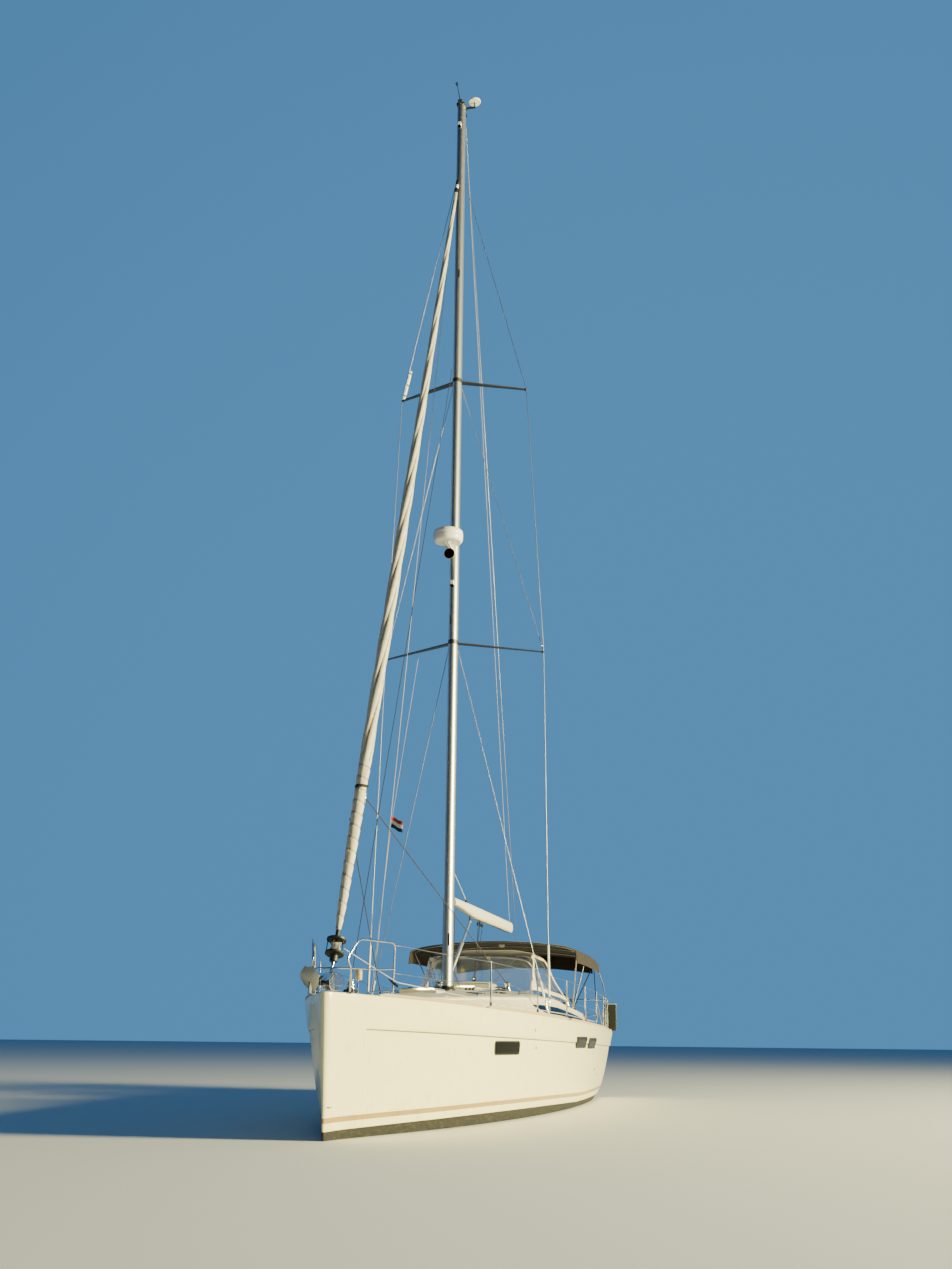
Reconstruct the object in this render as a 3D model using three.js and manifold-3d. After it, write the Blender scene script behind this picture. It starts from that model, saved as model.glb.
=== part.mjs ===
// A cruising sailing yacht of 13.5 m, afloat with its sails furled.
// Millimetres. +X is forward, +Y is port, +Z is up, and the origin is amidships on the waterline.
// Lengthwise places are given as `aft`, the distance behind the stem head, and turned into X by X(aft).

import * as THREE from 'three';
import { mergeVertices } from 'three/addons/utils/BufferGeometryUtils.js';
import Module from 'manifold-3d';

const wasm = await Module();
wasm.setup();

// Driving dimensions
const LENGTH = 13500;
const BOW_FREEBOARD = 1680;
const STERN_FREEBOARD = 1315;
const SHEER_DIP = 25;
const DECK_CAMBER = 55;
const STEM_RAKE = 166;
const KNUCKLE_DROP_BOW = 400;
const KNUCKLE_DROP_STERN = 285;
const KNUCKLE_STEP = 22;
const DRAUGHT = 2150;
const GAP = 0.3;

const COCKPIT_SOLE = 820;
const SEAT_TOP = 1230;
const COCKPIT_FRONT = 9250;
const COCKPIT_BACK = 13060;

const MAST_AFT = 6350;
const MAST_FOOT = 1980;
const MAST_HEAD = 19380;
const MAST_RAKE = 60;
const MAST_HALF_LENGTH = 118;
const MAST_HALF_WIDTH = 84;
const SPREADER_LOWER = { up: 7900, half: 1490, sweep: 830 };
const SPREADER_UPPER = { up: 13100, half: 1230, sweep: 530 };
const HOUNDS = 17700;
const CHAINPLATE = { aft: 7050, half: 1585 };
const STAY_FOOT = { aft: 230, up: 1900 };
const STAY_LUG = 6;
const WIRE = 7;

const BOOM_UP = 3350;
const BOOM_LENGTH = 5280;
const BOOM_HALF_HEIGHT = 108;
const BOOM_HALF_WIDTH = 72;
const GOOSENECK_BEHIND_MAST = 95;
const VANG_FOOT = 2210;
const PIN = 13;
const PIN_HOLE = 13.6;

const RUDDER_STOCK = 12250;
const WHEEL_RADIUS = 450;
const WHEEL_AFT = 12180;
const WHEEL_SIDE = 860;
const WHEEL_UP = 1640;

const RAIL_HEIGHT = 620;
const HATCH_SIZE = 560;

// Hull table: aft, half-beam at the deck, half-beam at the waterline, depth of the hull body
// below the water, and height at which the bilge meets the topside.
const HULL_STATIONS = [
  { aft: 0, deck: 42, water: 22, depth: 30, bilge: 0 },
  { aft: 250, deck: 165, water: 62, depth: 150, bilge: 0 },
  { aft: 500, deck: 305, water: 130, depth: 225, bilge: 0 },
  { aft: 1000, deck: 555, water: 285, depth: 320, bilge: 0 },
  { aft: 2000, deck: 945, water: 600, depth: 445, bilge: 0 },
  { aft: 3000, deck: 1240, water: 880, depth: 525, bilge: 0 },
  { aft: 4500, deck: 1575, water: 1210, depth: 585, bilge: 0 },
  { aft: 6000, deck: 1810, water: 1450, depth: 600, bilge: 0 },
  { aft: 8000, deck: 1985, water: 1640, depth: 560, bilge: 0 },
  { aft: 10000, deck: 2040, water: 1690, depth: 430, bilge: 0 },
  { aft: 12000, deck: 1985, water: 1640, depth: 200, bilge: 20 },
  { aft: 13500, deck: 1905, water: 1570, depth: -30, bilge: 110 },
];

// Superstructure table: aft, half-width at the deck, half-width at the top edge, height of the
// top on the centreline and height of its edge.
const ROOF_STATIONS = [
  { aft: 2750, foot: 250, top: 120, crown: 1685, edge: 1668 },
  { aft: 3100, foot: 560, top: 400, crown: 1725, edge: 1695 },
  { aft: 3800, foot: 870, top: 690, crown: 1775, edge: 1725 },
  { aft: 4800, foot: 1130, top: 940, crown: 1830, edge: 1765 },
  { aft: 6000, foot: 1330, top: 1130, crown: 1890, edge: 1800 },
  { aft: 7400, foot: 1460, top: 1270, crown: 1965, edge: 1838 },
  { aft: 8800, foot: 1520, top: 1350, crown: 2020, edge: 1850 },
  { aft: 9300, foot: 1530, top: 1375, crown: 2020, edge: 1835 },
  { aft: 10300, foot: 1530, top: 1385, crown: 1790, edge: 1775 },
  { aft: 11600, foot: 1510, top: 1385, crown: 1735, edge: 1720 },
  { aft: 13000, foot: 1450, top: 1345, crown: 1690, edge: 1675 },
];

// Colours seen in the photograph, each with a roughness and a metalness
const FINISH = {
  gelcoat: [0xf1ecdb, 0.3, 0],
  deck: [0xe4e2dc, 0.6, 0],
  teak: [0xb98a58, 0.7, 0],
  antifouling: [0x26282b, 0.8, 0],
  alloy: [0xcfd1d0, 0.35, 0.9],
  boomPaint: [0xe6dfcb, 0.4, 0.2],
  stainless: [0xd5d7d9, 0.2, 1],
  black: [0x191a1c, 0.5, 0],
  glass: [0x15191f, 0.08, 0],
  canvasBrown: [0x4a3b31, 0.85, 0],
  canvasCream: [0xd9c7a2, 0.85, 0],
  sail: [0xb9b2a0, 0.85, 0],
  white: [0xf2f3f2, 0.35, 0],
  bronze: [0xa87b45, 0.35, 0.9],
  galvanised: [0x9a9da0, 0.45, 0.9],
};

// Lengthwise place to X
function X(aft) {
  return LENGTH / 2 - aft;
}

function at(aft, y, z) {
  return new THREE.Vector3(X(aft), y, z);
}

// Solids
function solidOf(geometry) {
  const plain = geometry.index ? geometry.toNonIndexed() : geometry.clone();
  const bare = new THREE.BufferGeometry().setAttribute('position', plain.getAttribute('position'));
  const merged = mergeVertices(bare, 1e-3);
  const mesh = new wasm.Mesh({
    numProp: 3,
    vertProperties: merged.attributes.position.array,
    triVerts: new Uint32Array(merged.index.array),
  });
  return new wasm.Manifold(mesh);
}

function geometryOf(solid) {
  const mesh = solid.getMesh();
  const geometry = new THREE.BufferGeometry();
  geometry.setAttribute('position', new THREE.BufferAttribute(mesh.vertProperties, 3));
  geometry.setIndex(new THREE.BufferAttribute(mesh.triVerts, 1));
  geometry.computeVertexNormals();
  return geometry;
}

function joined(solids) {
  return solids.reduce((whole, next) => whole.add(next));
}

function mirrored(solid) {
  return solid.mirror([0, 1, 0]);
}

const yacht = new THREE.Group();
yacht.name = 'sailing_yacht';

function place(name, solid, finish) {
  const [color, roughness, metalness] = FINISH[finish];
  const material = new THREE.MeshStandardMaterial({ color, roughness, metalness });
  const mesh = new THREE.Mesh(geometryOf(solid), material);
  mesh.name = name;
  yacht.add(mesh);
  return solid;
}

// Box between two aft values, two Y values and two heights
function block(aftFrom, aftTo, yFrom, yTo, zFrom, zTo) {
  const box = new THREE.BoxGeometry(aftTo - aftFrom, yTo - yFrom, zTo - zFrom);
  box.translate(X((aftFrom + aftTo) / 2), (yFrom + yTo) / 2, (zFrom + zTo) / 2);
  return solidOf(box);
}

// Straight bar between two points, tapered when the second radius differs
function bar(from, to, radius, sides = 8, radiusTo = radius) {
  const length = from.distanceTo(to);
  const cylinder = new THREE.CylinderGeometry(radiusTo, radius, length, sides);
  cylinder.translate(0, length / 2, 0);
  const turn = new THREE.Quaternion().setFromUnitVectors(
    new THREE.Vector3(0, 1, 0),
    to.clone().sub(from).normalize(),
  );
  cylinder.applyQuaternion(turn);
  cylinder.translate(from.x, from.y, from.z);
  return solidOf(cylinder);
}

function ball(centre, radius, sides = 8) {
  const sphere = new THREE.SphereGeometry(radius, sides, Math.max(4, sides / 2));
  sphere.translate(centre.x, centre.y, centre.z);
  return solidOf(sphere);
}

// Bent tube through points, mitred at each knee
function pipe(points, radius, sides = 8) {
  const directions = points.slice(1).map((point, i) => point.clone().sub(points[i]).normalize());
  const turn = new THREE.Quaternion();
  let across = new THREE.Vector3(0, 0, 1).cross(directions[0]);
  if (across.length() < 0.1) across = new THREE.Vector3(0, 1, 0);
  across.addScaledVector(directions[0], -across.dot(directions[0])).normalize();
  const rings = points.map((point, i) => {
    const before = directions[Math.max(0, i - 1)];
    const after = directions[Math.min(directions.length - 1, i)];
    if (i > 0 && i < directions.length) {
      turn.setFromUnitVectors(before, after);
    } else {
      turn.identity();
    }
    const half = before.clone().add(after).normalize();
    const old = across.clone();
    across.applyQuaternion(turn);
    return Array.from({ length: sides }, (_, k) => {
      const angle = ((k + 0.5) * 2 * Math.PI) / sides;
      const other = before.clone().cross(old);
      const spot = old.clone().multiplyScalar(Math.cos(angle)).addScaledVector(other, Math.sin(angle));
      spot.multiplyScalar(radius);
      // Slide the spot along the incoming tube until it lies in the mitre plane
      return spot.addScaledVector(before, -spot.dot(half) / before.dot(half)).add(point);
    });
  });
  return loft(rings);
}

// Foot of a piece cut to sit just clear of what carries it
function seated(solid, base) {
  return solid.subtract(base.translate(0, 0, GAP));
}

// Closed skin through rings of equal length. A solid's end is a fan about its middle; a shell's
// end, whose ring goes out along one face and back along the other, is a strip between the two.
function loft(rings, hollow = false) {
  const count = rings[0].length;
  const points = rings.flat();
  const faces = [];
  for (let r = 0; r + 1 < rings.length; r += 1) {
    for (let i = 0; i < count; i += 1) {
      const a = r * count + i;
      const b = r * count + ((i + 1) % count);
      faces.push([a, b, b + count], [a, b + count, a + count]);
    }
  }
  const ends = [[0, 1], [(rings.length - 1) * count, -1]];
  ends.forEach(([first, side]) => {
    const cap = [];
    if (hollow) {
      for (let i = 0; i + 1 < count / 2; i += 1) {
        const across = count - 1 - i;
        cap.push([first + i, first + across, first + i + 1]);
        cap.push([first + i + 1, first + across, first + across - 1]);
      }
    } else {
      const ring = rings[side > 0 ? 0 : rings.length - 1];
      const middle = ring.reduce((sum, p) => sum.add(p), new THREE.Vector3()).divideScalar(count);
      points.push(middle);
      for (let i = 0; i < count; i += 1) {
        cap.push([points.length - 1, first + ((i + 1) % count), first + i]);
      }
    }
    cap.forEach(([p, q, r]) => faces.push(side > 0 ? [p, q, r] : [p, r, q]));
  });
  const build = (triangles) => {
    const geometry = new THREE.BufferGeometry();
    const positions = points.flatMap((p) => [p.x, p.y, p.z]);
    geometry.setAttribute('position', new THREE.Float32BufferAttribute(positions, 3));
    geometry.setIndex(triangles.flat());
    return solidOf(geometry);
  };
  const solid = build(faces);
  return solid.volume() > 0 ? solid : build(faces.map(([p, q, r]) => [p, r, q]));
}

// Plate cut to an outline and given a thickness; `lay` carries it from its own XY plane
function plate(outline, thickness, lay) {
  const shape = new THREE.Shape(outline.map(([x, y]) => new THREE.Vector2(x, y)));
  const geometry = new THREE.ExtrudeGeometry(shape, {
    depth: thickness,
    bevelEnabled: false,
    curveSegments: 8,
  });
  geometry.applyMatrix4(lay);
  return solidOf(geometry);
}

// Matrix that stands an outline drawn in (X, Z) on edge, with its thickness centred on y
function standing(y, thickness) {
  return new THREE.Matrix4()
    .makeTranslation(0, y + thickness / 2, 0)
    .multiply(new THREE.Matrix4().makeRotationX(Math.PI / 2));
}

// Smooth value of one column at any distance aft
function column(table, name) {
  const places = table.map((row) => row.aft);
  const values = table.map((row) => row[name]);
  const slopes = places.map((place, i) => {
    const lo = Math.max(0, i - 1);
    const hi = Math.min(places.length - 1, i + 1);
    return (values[hi] - values[lo]) / (places[hi] - places[lo]);
  });
  return (aft) => {
    let i = 0;
    while (i + 2 < places.length && aft > places[i + 1]) i += 1;
    const span = places[i + 1] - places[i];
    const t = THREE.MathUtils.clamp((aft - places[i]) / span, 0, 1);
    const t2 = t * t;
    const t3 = t2 * t;
    return (2 * t3 - 3 * t2 + 1) * values[i]
      + (t3 - 2 * t2 + t) * span * slopes[i]
      + (3 * t2 - 2 * t3) * values[i + 1]
      + (t3 - t2) * span * slopes[i + 1];
  };
}

const deckHalf = column(HULL_STATIONS, 'deck');
const waterHalf = column(HULL_STATIONS, 'water');
const hullDepth = column(HULL_STATIONS, 'depth');
const bilgeUp = column(HULL_STATIONS, 'bilge');

// Height of the deck edge
function sheer(aft) {
  const t = aft / LENGTH;
  return BOW_FREEBOARD + (STERN_FREEBOARD - BOW_FREEBOARD) * t - SHEER_DIP * Math.sin(Math.PI * t);
}

function knuckleUp(aft) {
  const t = aft / LENGTH;
  return sheer(aft) - THREE.MathUtils.lerp(KNUCKLE_DROP_BOW, KNUCKLE_DROP_STERN, t);
}

// Height of the cambered deck at a distance from the centreline
function deckUp(aft, y) {
  const share = y / deckHalf(aft);
  const camber = DECK_CAMBER * Math.min(1, deckHalf(aft) / 1000);
  return sheer(aft) + camber * (1 - share * share);
}

// How far the near-plumb stem carries a point aft, by height, fading out towards amidships
function stemShift(aft, z) {
  const fade = Math.max(0, 1 - aft / 5000) ** 2;
  const above = (STEM_RAKE * (BOW_FREEBOARD - z)) / BOW_FREEBOARD;
  const below = z < 0 ? 900 * (z / 330) ** 2 : 0;
  return (above + below) * fade;
}

// Half of one hull section, from the keel line up to the deck edge
function hullHalfSection(aft) {
  const points = [];
  const depth = hullDepth(aft);
  const water = waterHalf(aft);
  const bilge = bilgeUp(aft);
  for (const degrees of [0, 20, 38, 54, 68, 80]) {
    const angle = THREE.MathUtils.degToRad(degrees);
    points.push([water * Math.sin(angle), bilge - (depth + bilge) * Math.cos(angle)]);
  }
  const top = sheer(aft);
  const knuckle = knuckleUp(aft);
  const side = (z) => water + (deckHalf(aft) - water) * ((z - bilge) / (top - bilge)) ** 0.72;
  const step = KNUCKLE_STEP * THREE.MathUtils.clamp((aft - 500) / 1300, 0, 1);
  for (const share of [0, 0.16, 0.4, 0.7]) {
    const z = bilge + (knuckle - bilge) * share;
    points.push([side(z) - step * share * share, z]);
  }
  points.push([side(knuckle) - step, knuckle - 8]);
  points.push([side(knuckle), knuckle + 8]);
  points.push([deckHalf(aft), top - 22]);
  points.push([Math.max(deckHalf(aft) - 20, 4), top]);
  return points;
}

const HULL_PLACES = [
  0, 90, 250, 500, 800, 1200, 1700, 2300, 3000, 3800, 4700, 5700, 6800, 8000, 9200, 10400, 11400,
  12300, 13000, LENGTH,
];

function hullSkin() {
  const rings = HULL_PLACES.map((aft) => {
    const half = hullHalfSection(aft);
    const deck = [0.66, 0.33, 0].map((share) => {
      const y = share * deckHalf(aft);
      return [y, deckUp(aft, y)];
    });
    const port = [...half, ...deck];
    const starboard = port.slice(1, -1).reverse().map(([y, z]) => [-y, z]);
    return [...port, ...starboard].map(([y, z]) => at(aft + stemShift(aft, z), y, z));
  });
  return loft(rings);
}

// Height of the hull's lowest line between its stations
function keelLine(aft) {
  const after = HULL_PLACES.findIndex((place) => place >= aft);
  const [from, to] = [HULL_PLACES[after - 1], HULL_PLACES[after]];
  return THREE.MathUtils.lerp(-hullDepth(from), -hullDepth(to), (aft - from) / (to - from));
}

const COCKPIT_CUTS = [
  { from: COCKPIT_FRONT, to: 11720, half: 1215 },
  { from: 11700, to: COCKPIT_BACK, half: 1330 },
  { from: COCKPIT_BACK - 20, to: LENGTH + 200, half: 620 },
];

function cockpitSpace(floor) {
  return joined(COCKPIT_CUTS.map((cut) => block(cut.from, cut.to, -cut.half, cut.half, floor, 2600)));
}

const COMPANION = { half: 330, garage: 7960, slide: 8640, sill: 1250 };

function doorway() {
  const { half, sill } = COMPANION;
  return block(COCKPIT_FRONT - 40, COCKPIT_FRONT + 50, -half, half, sill, 2600);
}

const TRANSOM_CUT = { half: 900, from: 340, depth: 62 };

function buildHull() {
  const recess = block(
    LENGTH - TRANSOM_CUT.depth, LENGTH + 50, -TRANSOM_CUT.half, TRANSOM_CUT.half, TRANSOM_CUT.from, 1600,
  );
  const hull = hullSkin().subtract(cockpitSpace(COCKPIT_SOLE)).subtract(recess).subtract(doorway());
  return place('hull', hull, 'gelcoat');
}

// Wooden toe rail that follows the deck edge from behind the pulpit to the quarter
function toeRail() {
  const places = HULL_PLACES.filter((aft) => aft >= 800 && aft < LENGTH);
  const rings = places.map((aft) => {
    const outer = deckHalf(aft) - 6;
    const bottom = sheer(aft) - 8;
    return [
      at(aft, outer - 52, bottom + 4), at(aft, outer - 16, bottom), at(aft, outer, bottom + 34),
      at(aft, outer - 8, bottom + 46), at(aft, outer - 44, bottom + 46),
    ];
  });
  return loft(rings);
}

function buildKeelAndRudder(hull) {
  // Fin: one aerofoil at the hull and one at the bulb
  const foil = (leading, chord, thick, z) => {
    const shape = [
      [0, 0], [0.06, 0.62], [0.2, 0.96], [0.38, 1], [0.65, 0.66], [1, 0.06],
    ];
    const port = shape.map(([along, wide]) => at(leading + chord * along, (wide * thick) / 2, z));
    const back = shape.slice(1).reverse().map(([along, wide]) => (
      at(leading + chord * along, (-wide * thick) / 2, z)
    ));
    return [...port, ...back];
  };
  const wing = (levels) => (
    loft(levels.map((level) => foil(level.leading, level.chord, level.thick, level.z)))
  );
  const fin = wing([
    { leading: 5450, chord: 1750, thick: 190, z: -300 },
    { leading: 5640, chord: 1480, thick: 170, z: -1300 },
    { leading: 5780, chord: 1330, thick: 160, z: -1900 },
  ]);
  const bulbProfile = [
    [0, -1150], [60, -1120], [135, -960], [180, -650], [190, -300], [165, 200], [100, 800], [0, 1150],
  ].map(([r, along]) => new THREE.Vector2(r, along));
  const bulb = new THREE.LatheGeometry(bulbProfile, 12);
  bulb.rotateZ(Math.PI / 2);
  bulb.scale(1, 1, 0.9);
  bulb.translate(X(6550), 0, -DRAUGHT + 171);
  place('keel', fin.add(solidOf(bulb)).subtract(hull.translate(0, 0, -GAP)), 'antifouling');

  const bladeTop = keelLine(RUDDER_STOCK - 140) - 14;
  const blade = wing([
    { leading: RUDDER_STOCK - 130, chord: 560, thick: 95, z: bladeTop },
    { leading: RUDDER_STOCK - 120, chord: 520, thick: 85, z: -900 },
    { leading: RUDDER_STOCK - 60, chord: 360, thick: 55, z: -1560 },
  ]);
  const stock = bar(
    at(RUDDER_STOCK, 0, -800), at(RUDDER_STOCK, 0, keelLine(RUDDER_STOCK - 34) - GAP), 34, 12,
  );
  place('rudder', blade.add(stock), 'antifouling');
}

const PROP = { aft: 9560, up: -700 };

function buildSaildrive(hull) {
  const leg = plate(
    [[X(9180), -420], [X(9460), -420], [X(9440), -640], [X(9500), -700], [X(9440), -800],
      [X(9250), -790], [X(9200), -620]],
    86,
    standing(0, 86),
  );
  const torpedo = bar(at(9080, 0, PROP.up), at(PROP.aft - 40, 0, PROP.up), 48, 12, 56);
  const solid = leg.add(torpedo).subtract(hull.translate(0, 0, -GAP));
  place('saildrive_leg', solid, 'galvanised');

  const hub = bar(at(PROP.aft - 40 + GAP, 0, PROP.up), at(PROP.aft + 120, 0, PROP.up), 46, 12, 22);
  const blades = [0, 1, 2].map((i) => {
    const leaf = new THREE.SphereGeometry(1, 10, 6);
    leaf.scale(9, 62, 100);
    leaf.rotateZ(0.55);
    leaf.translate(0, 0, 122);
    leaf.rotateX((i * 2 * Math.PI) / 3);
    leaf.translate(X(PROP.aft + 20), 0, PROP.up);
    return solidOf(leaf);
  });
  place('propeller', joined([hub, ...blades]), 'bronze');
}

// Coachroof and cockpit coamings, one moulding round the cockpit
const roofFoot = column(ROOF_STATIONS, 'foot');
const roofTop = column(ROOF_STATIONS, 'top');
const roofCrown = column(ROOF_STATIONS, 'crown');
const roofEdge = column(ROOF_STATIONS, 'edge');

function roofUp(aft, y) {
  const share = y / roofTop(aft);
  return roofEdge(aft) + (roofCrown(aft) - roofEdge(aft)) * (1 - share * share);
}

// Side window, pointed at its raked front end: aft, lower and upper share of the side
const ROOF_WINDOW = [
  { aft: 7020, low: 0.64, high: 0.68 },
  { aft: 7600, low: 0.36, high: 0.69 },
  { aft: 8100, low: 0.34, high: 0.68 },
  { aft: 9300, low: 0.35, high: 0.66 },
  { aft: 10300, low: 0.36, high: 0.7 },
  { aft: 11500, low: 0.38, high: 0.68 },
  { aft: 12400, low: 0.42, high: 0.62 },
];

// Point on the sloping side of the superstructure, `share` of the way up, `out` outside it
function roofSide(aft, share, out) {
  const foot = deckUp(aft, roofFoot(aft));
  const y = THREE.MathUtils.lerp(roofFoot(aft), roofTop(aft), share);
  return at(aft, y + out, THREE.MathUtils.lerp(foot, roofEdge(aft) - 30, share));
}

function windowStrip(inner, outer, grow) {
  const last = ROOF_WINDOW.length - 1;
  const rings = ROOF_WINDOW.map((station, i) => {
    const { low, high } = station;
    const aft = station.aft + (i === last ? grow : 0) - (i === 0 ? 3 * grow : 0);
    const lift = new THREE.Vector3(0, 0, grow);
    return [
      roofSide(aft, low, inner).sub(lift), roofSide(aft, low, outer).sub(lift),
      roofSide(aft, high, outer).add(lift), roofSide(aft, high, inner).add(lift),
    ];
  });
  return loft(rings);
}

function buildSuperstructure(hull) {
  const places = [
    2750, 3100, 3500, 4100, 4800, 5600, 6500, 7400, 8300, 8950, 9300, 9650, 10050, 10600, 11600,
    12400, 13000,
  ];
  const rings = places.map((aft) => {
    const foot = roofFoot(aft);
    const top = roofTop(aft);
    const base = sheer(aft) - 60;
    const port = [
      [foot + 30, base], [foot, deckUp(aft, foot) + 12], [top + 18, roofEdge(aft) - 32],
      [top - 22, roofUp(aft, top - 22)], [top * 0.55, roofUp(aft, top * 0.55)], [0, roofUp(aft, 0)],
    ];
    const starboard = port.slice(0, -1).reverse().map(([y, z]) => [-y, z]);
    return [...port, ...starboard].map(([y, z]) => at(aft, y, z));
  });
  let roof = loft(rings);
  roof = roof.subtract(hullSkin().translate(0, 0, GAP));
  roof = roof.subtract(cockpitSpace(COCKPIT_SOLE));
  const { half, garage, slide } = COMPANION;
  const bed = slideFloor();
  roof = roof.add(block(garage, slide - 10, -half - 50, half + 50, bed - 30, bed + 98));
  const slideBed = block(garage + 20, COCKPIT_FRONT + 50, -half - 4, half + 4, bed, bed + 62)
    .add(block(slide - 10, COCKPIT_FRONT + 50, -half - 4, half + 4, bed, 2600));
  roof = roof.subtract(slideBed).subtract(doorway());
  const slot = windowStrip(-46, 80, GAP);
  roof = roof.subtract(slot).subtract(mirrored(slot));
  HATCHES.forEach((hatch) => {
    roof = roof.add(hatchPlinth(hatch));
  });
  place('coachroof_and_coamings', roof, 'deck');
  const pane = windowStrip(-45, -4, 0);
  place('coachroof_window_port', pane, 'glass');
  place('coachroof_window_starboard', mirrored(pane), 'glass');
  return roof;
}

// Hatch lids lie on low plinths moulded into the top of the coachroof
const HATCHES = [
  { name: 'hatch_fore', aft: 4700, size: HATCH_SIZE },
  { name: 'hatch_mid', aft: 7500, size: HATCH_SIZE },
];

function plinthTop(hatch) {
  return roofUp(hatch.aft + hatch.size / 2, 0) + 12;
}

function hatchPlinth(hatch) {
  const half = hatch.size / 2;
  const lip = half + 16;
  const top = plinthTop(hatch);
  return block(hatch.aft - lip, hatch.aft + half, -lip, lip, top - 66, top);
}

function slideFloor() {
  return roofUp(8900, 0) - 22;
}

function buildHatches() {
  HATCHES.forEach((hatch) => {
    const half = hatch.size / 2;
    const low = plinthTop(hatch) + GAP;
    place(hatch.name, block(hatch.aft - half, hatch.aft + half, -half, half, low, low + 30), 'glass');
  });
  const { half: doorHalf, slide, sill } = COMPANION;
  const low = slideFloor() + GAP;
  place('companionway_slide', block(slide, COCKPIT_FRONT - 2, -doorHalf, doorHalf, low, low + 50), 'glass');
  const boards = block(
    COCKPIT_FRONT - 38, COCKPIT_FRONT - 14, -doorHalf + GAP, doorHalf - GAP, sill + GAP, low - 6,
  );
  place('companionway_boards', boards, 'teak');
}

function buildCockpit() {
  const floor = COCKPIT_SOLE + GAP;
  const bench = block(COCKPIT_FRONT + GAP, 11640, 560, 1215 - GAP, floor, SEAT_TOP);
  place('cockpit_bench_port', bench, 'gelcoat');
  place('cockpit_bench_starboard', mirrored(bench), 'gelcoat');

  const tableBase = block(9900, 11250, -70, 70, floor, floor + 640);
  const tableTop = block(9840, 11330, -170, 170, floor + 620, floor + 665);
  place('cockpit_table', tableBase.add(tableTop), 'teak');

  const pedestal = plate(
    [[X(WHEEL_AFT - 330), floor], [X(WHEEL_AFT - 60), floor], [X(WHEEL_AFT - 60), WHEEL_UP + 60],
      [X(WHEEL_AFT - 180), WHEEL_UP + 190], [X(WHEEL_AFT - 260), WHEEL_UP + 160]],
    250,
    standing(WHEEL_SIDE, 250),
  );
  place('helm_pedestal_port', pedestal, 'gelcoat');
  place('helm_pedestal_starboard', mirrored(pedestal), 'gelcoat');

  const rim = new THREE.TorusGeometry(WHEEL_RADIUS, 15, 6, 28);
  rim.rotateY(Math.PI / 2);
  rim.translate(X(WHEEL_AFT), WHEEL_SIDE, WHEEL_UP);
  const centre = at(WHEEL_AFT, WHEEL_SIDE, WHEEL_UP);
  const spokes = [0, 1, 2, 3, 4].map((i) => {
    const angle = (i * 2 * Math.PI) / 5 + Math.PI / 2;
    const reach = WHEEL_RADIUS - 4;
    const tip = at(
      WHEEL_AFT, WHEEL_SIDE + reach * Math.cos(angle), WHEEL_UP + reach * Math.sin(angle),
    );
    return bar(centre, tip, 9, 6);
  });
  const hub = bar(
    at(WHEEL_AFT - 60 + GAP, WHEEL_SIDE, WHEEL_UP), at(WHEEL_AFT + 30, WHEEL_SIDE, WHEEL_UP), 42, 12,
  );
  const wheel = joined([solidOf(rim), hub, ...spokes]);
  place('steering_wheel_port', wheel, 'stainless');
  place('steering_wheel_starboard', mirrored(wheel), 'stainless');
}

function buildTransomPlatform() {
  const edge = 6;
  const slab = block(
    LENGTH - TRANSOM_CUT.depth + edge, LENGTH - 2, -TRANSOM_CUT.half + edge, TRANSOM_CUT.half - edge,
    TRANSOM_CUT.from + edge, 1180,
  );
  const hingeUp = TRANSOM_CUT.from + 12;
  const barrels = [-500, 380].map((y) => bar(
    at(LENGTH - 8, y, hingeUp), at(LENGTH - 8, y + 120, hingeUp), 11.5, 24,
  ));
  place('transom_platform', joined([slab, ...barrels]), 'gelcoat');
}

const ROLLER = { up: 1775, radius: 34 };
const ROLLER_SIDES = { spare: 55, anchor: -55 };

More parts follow.
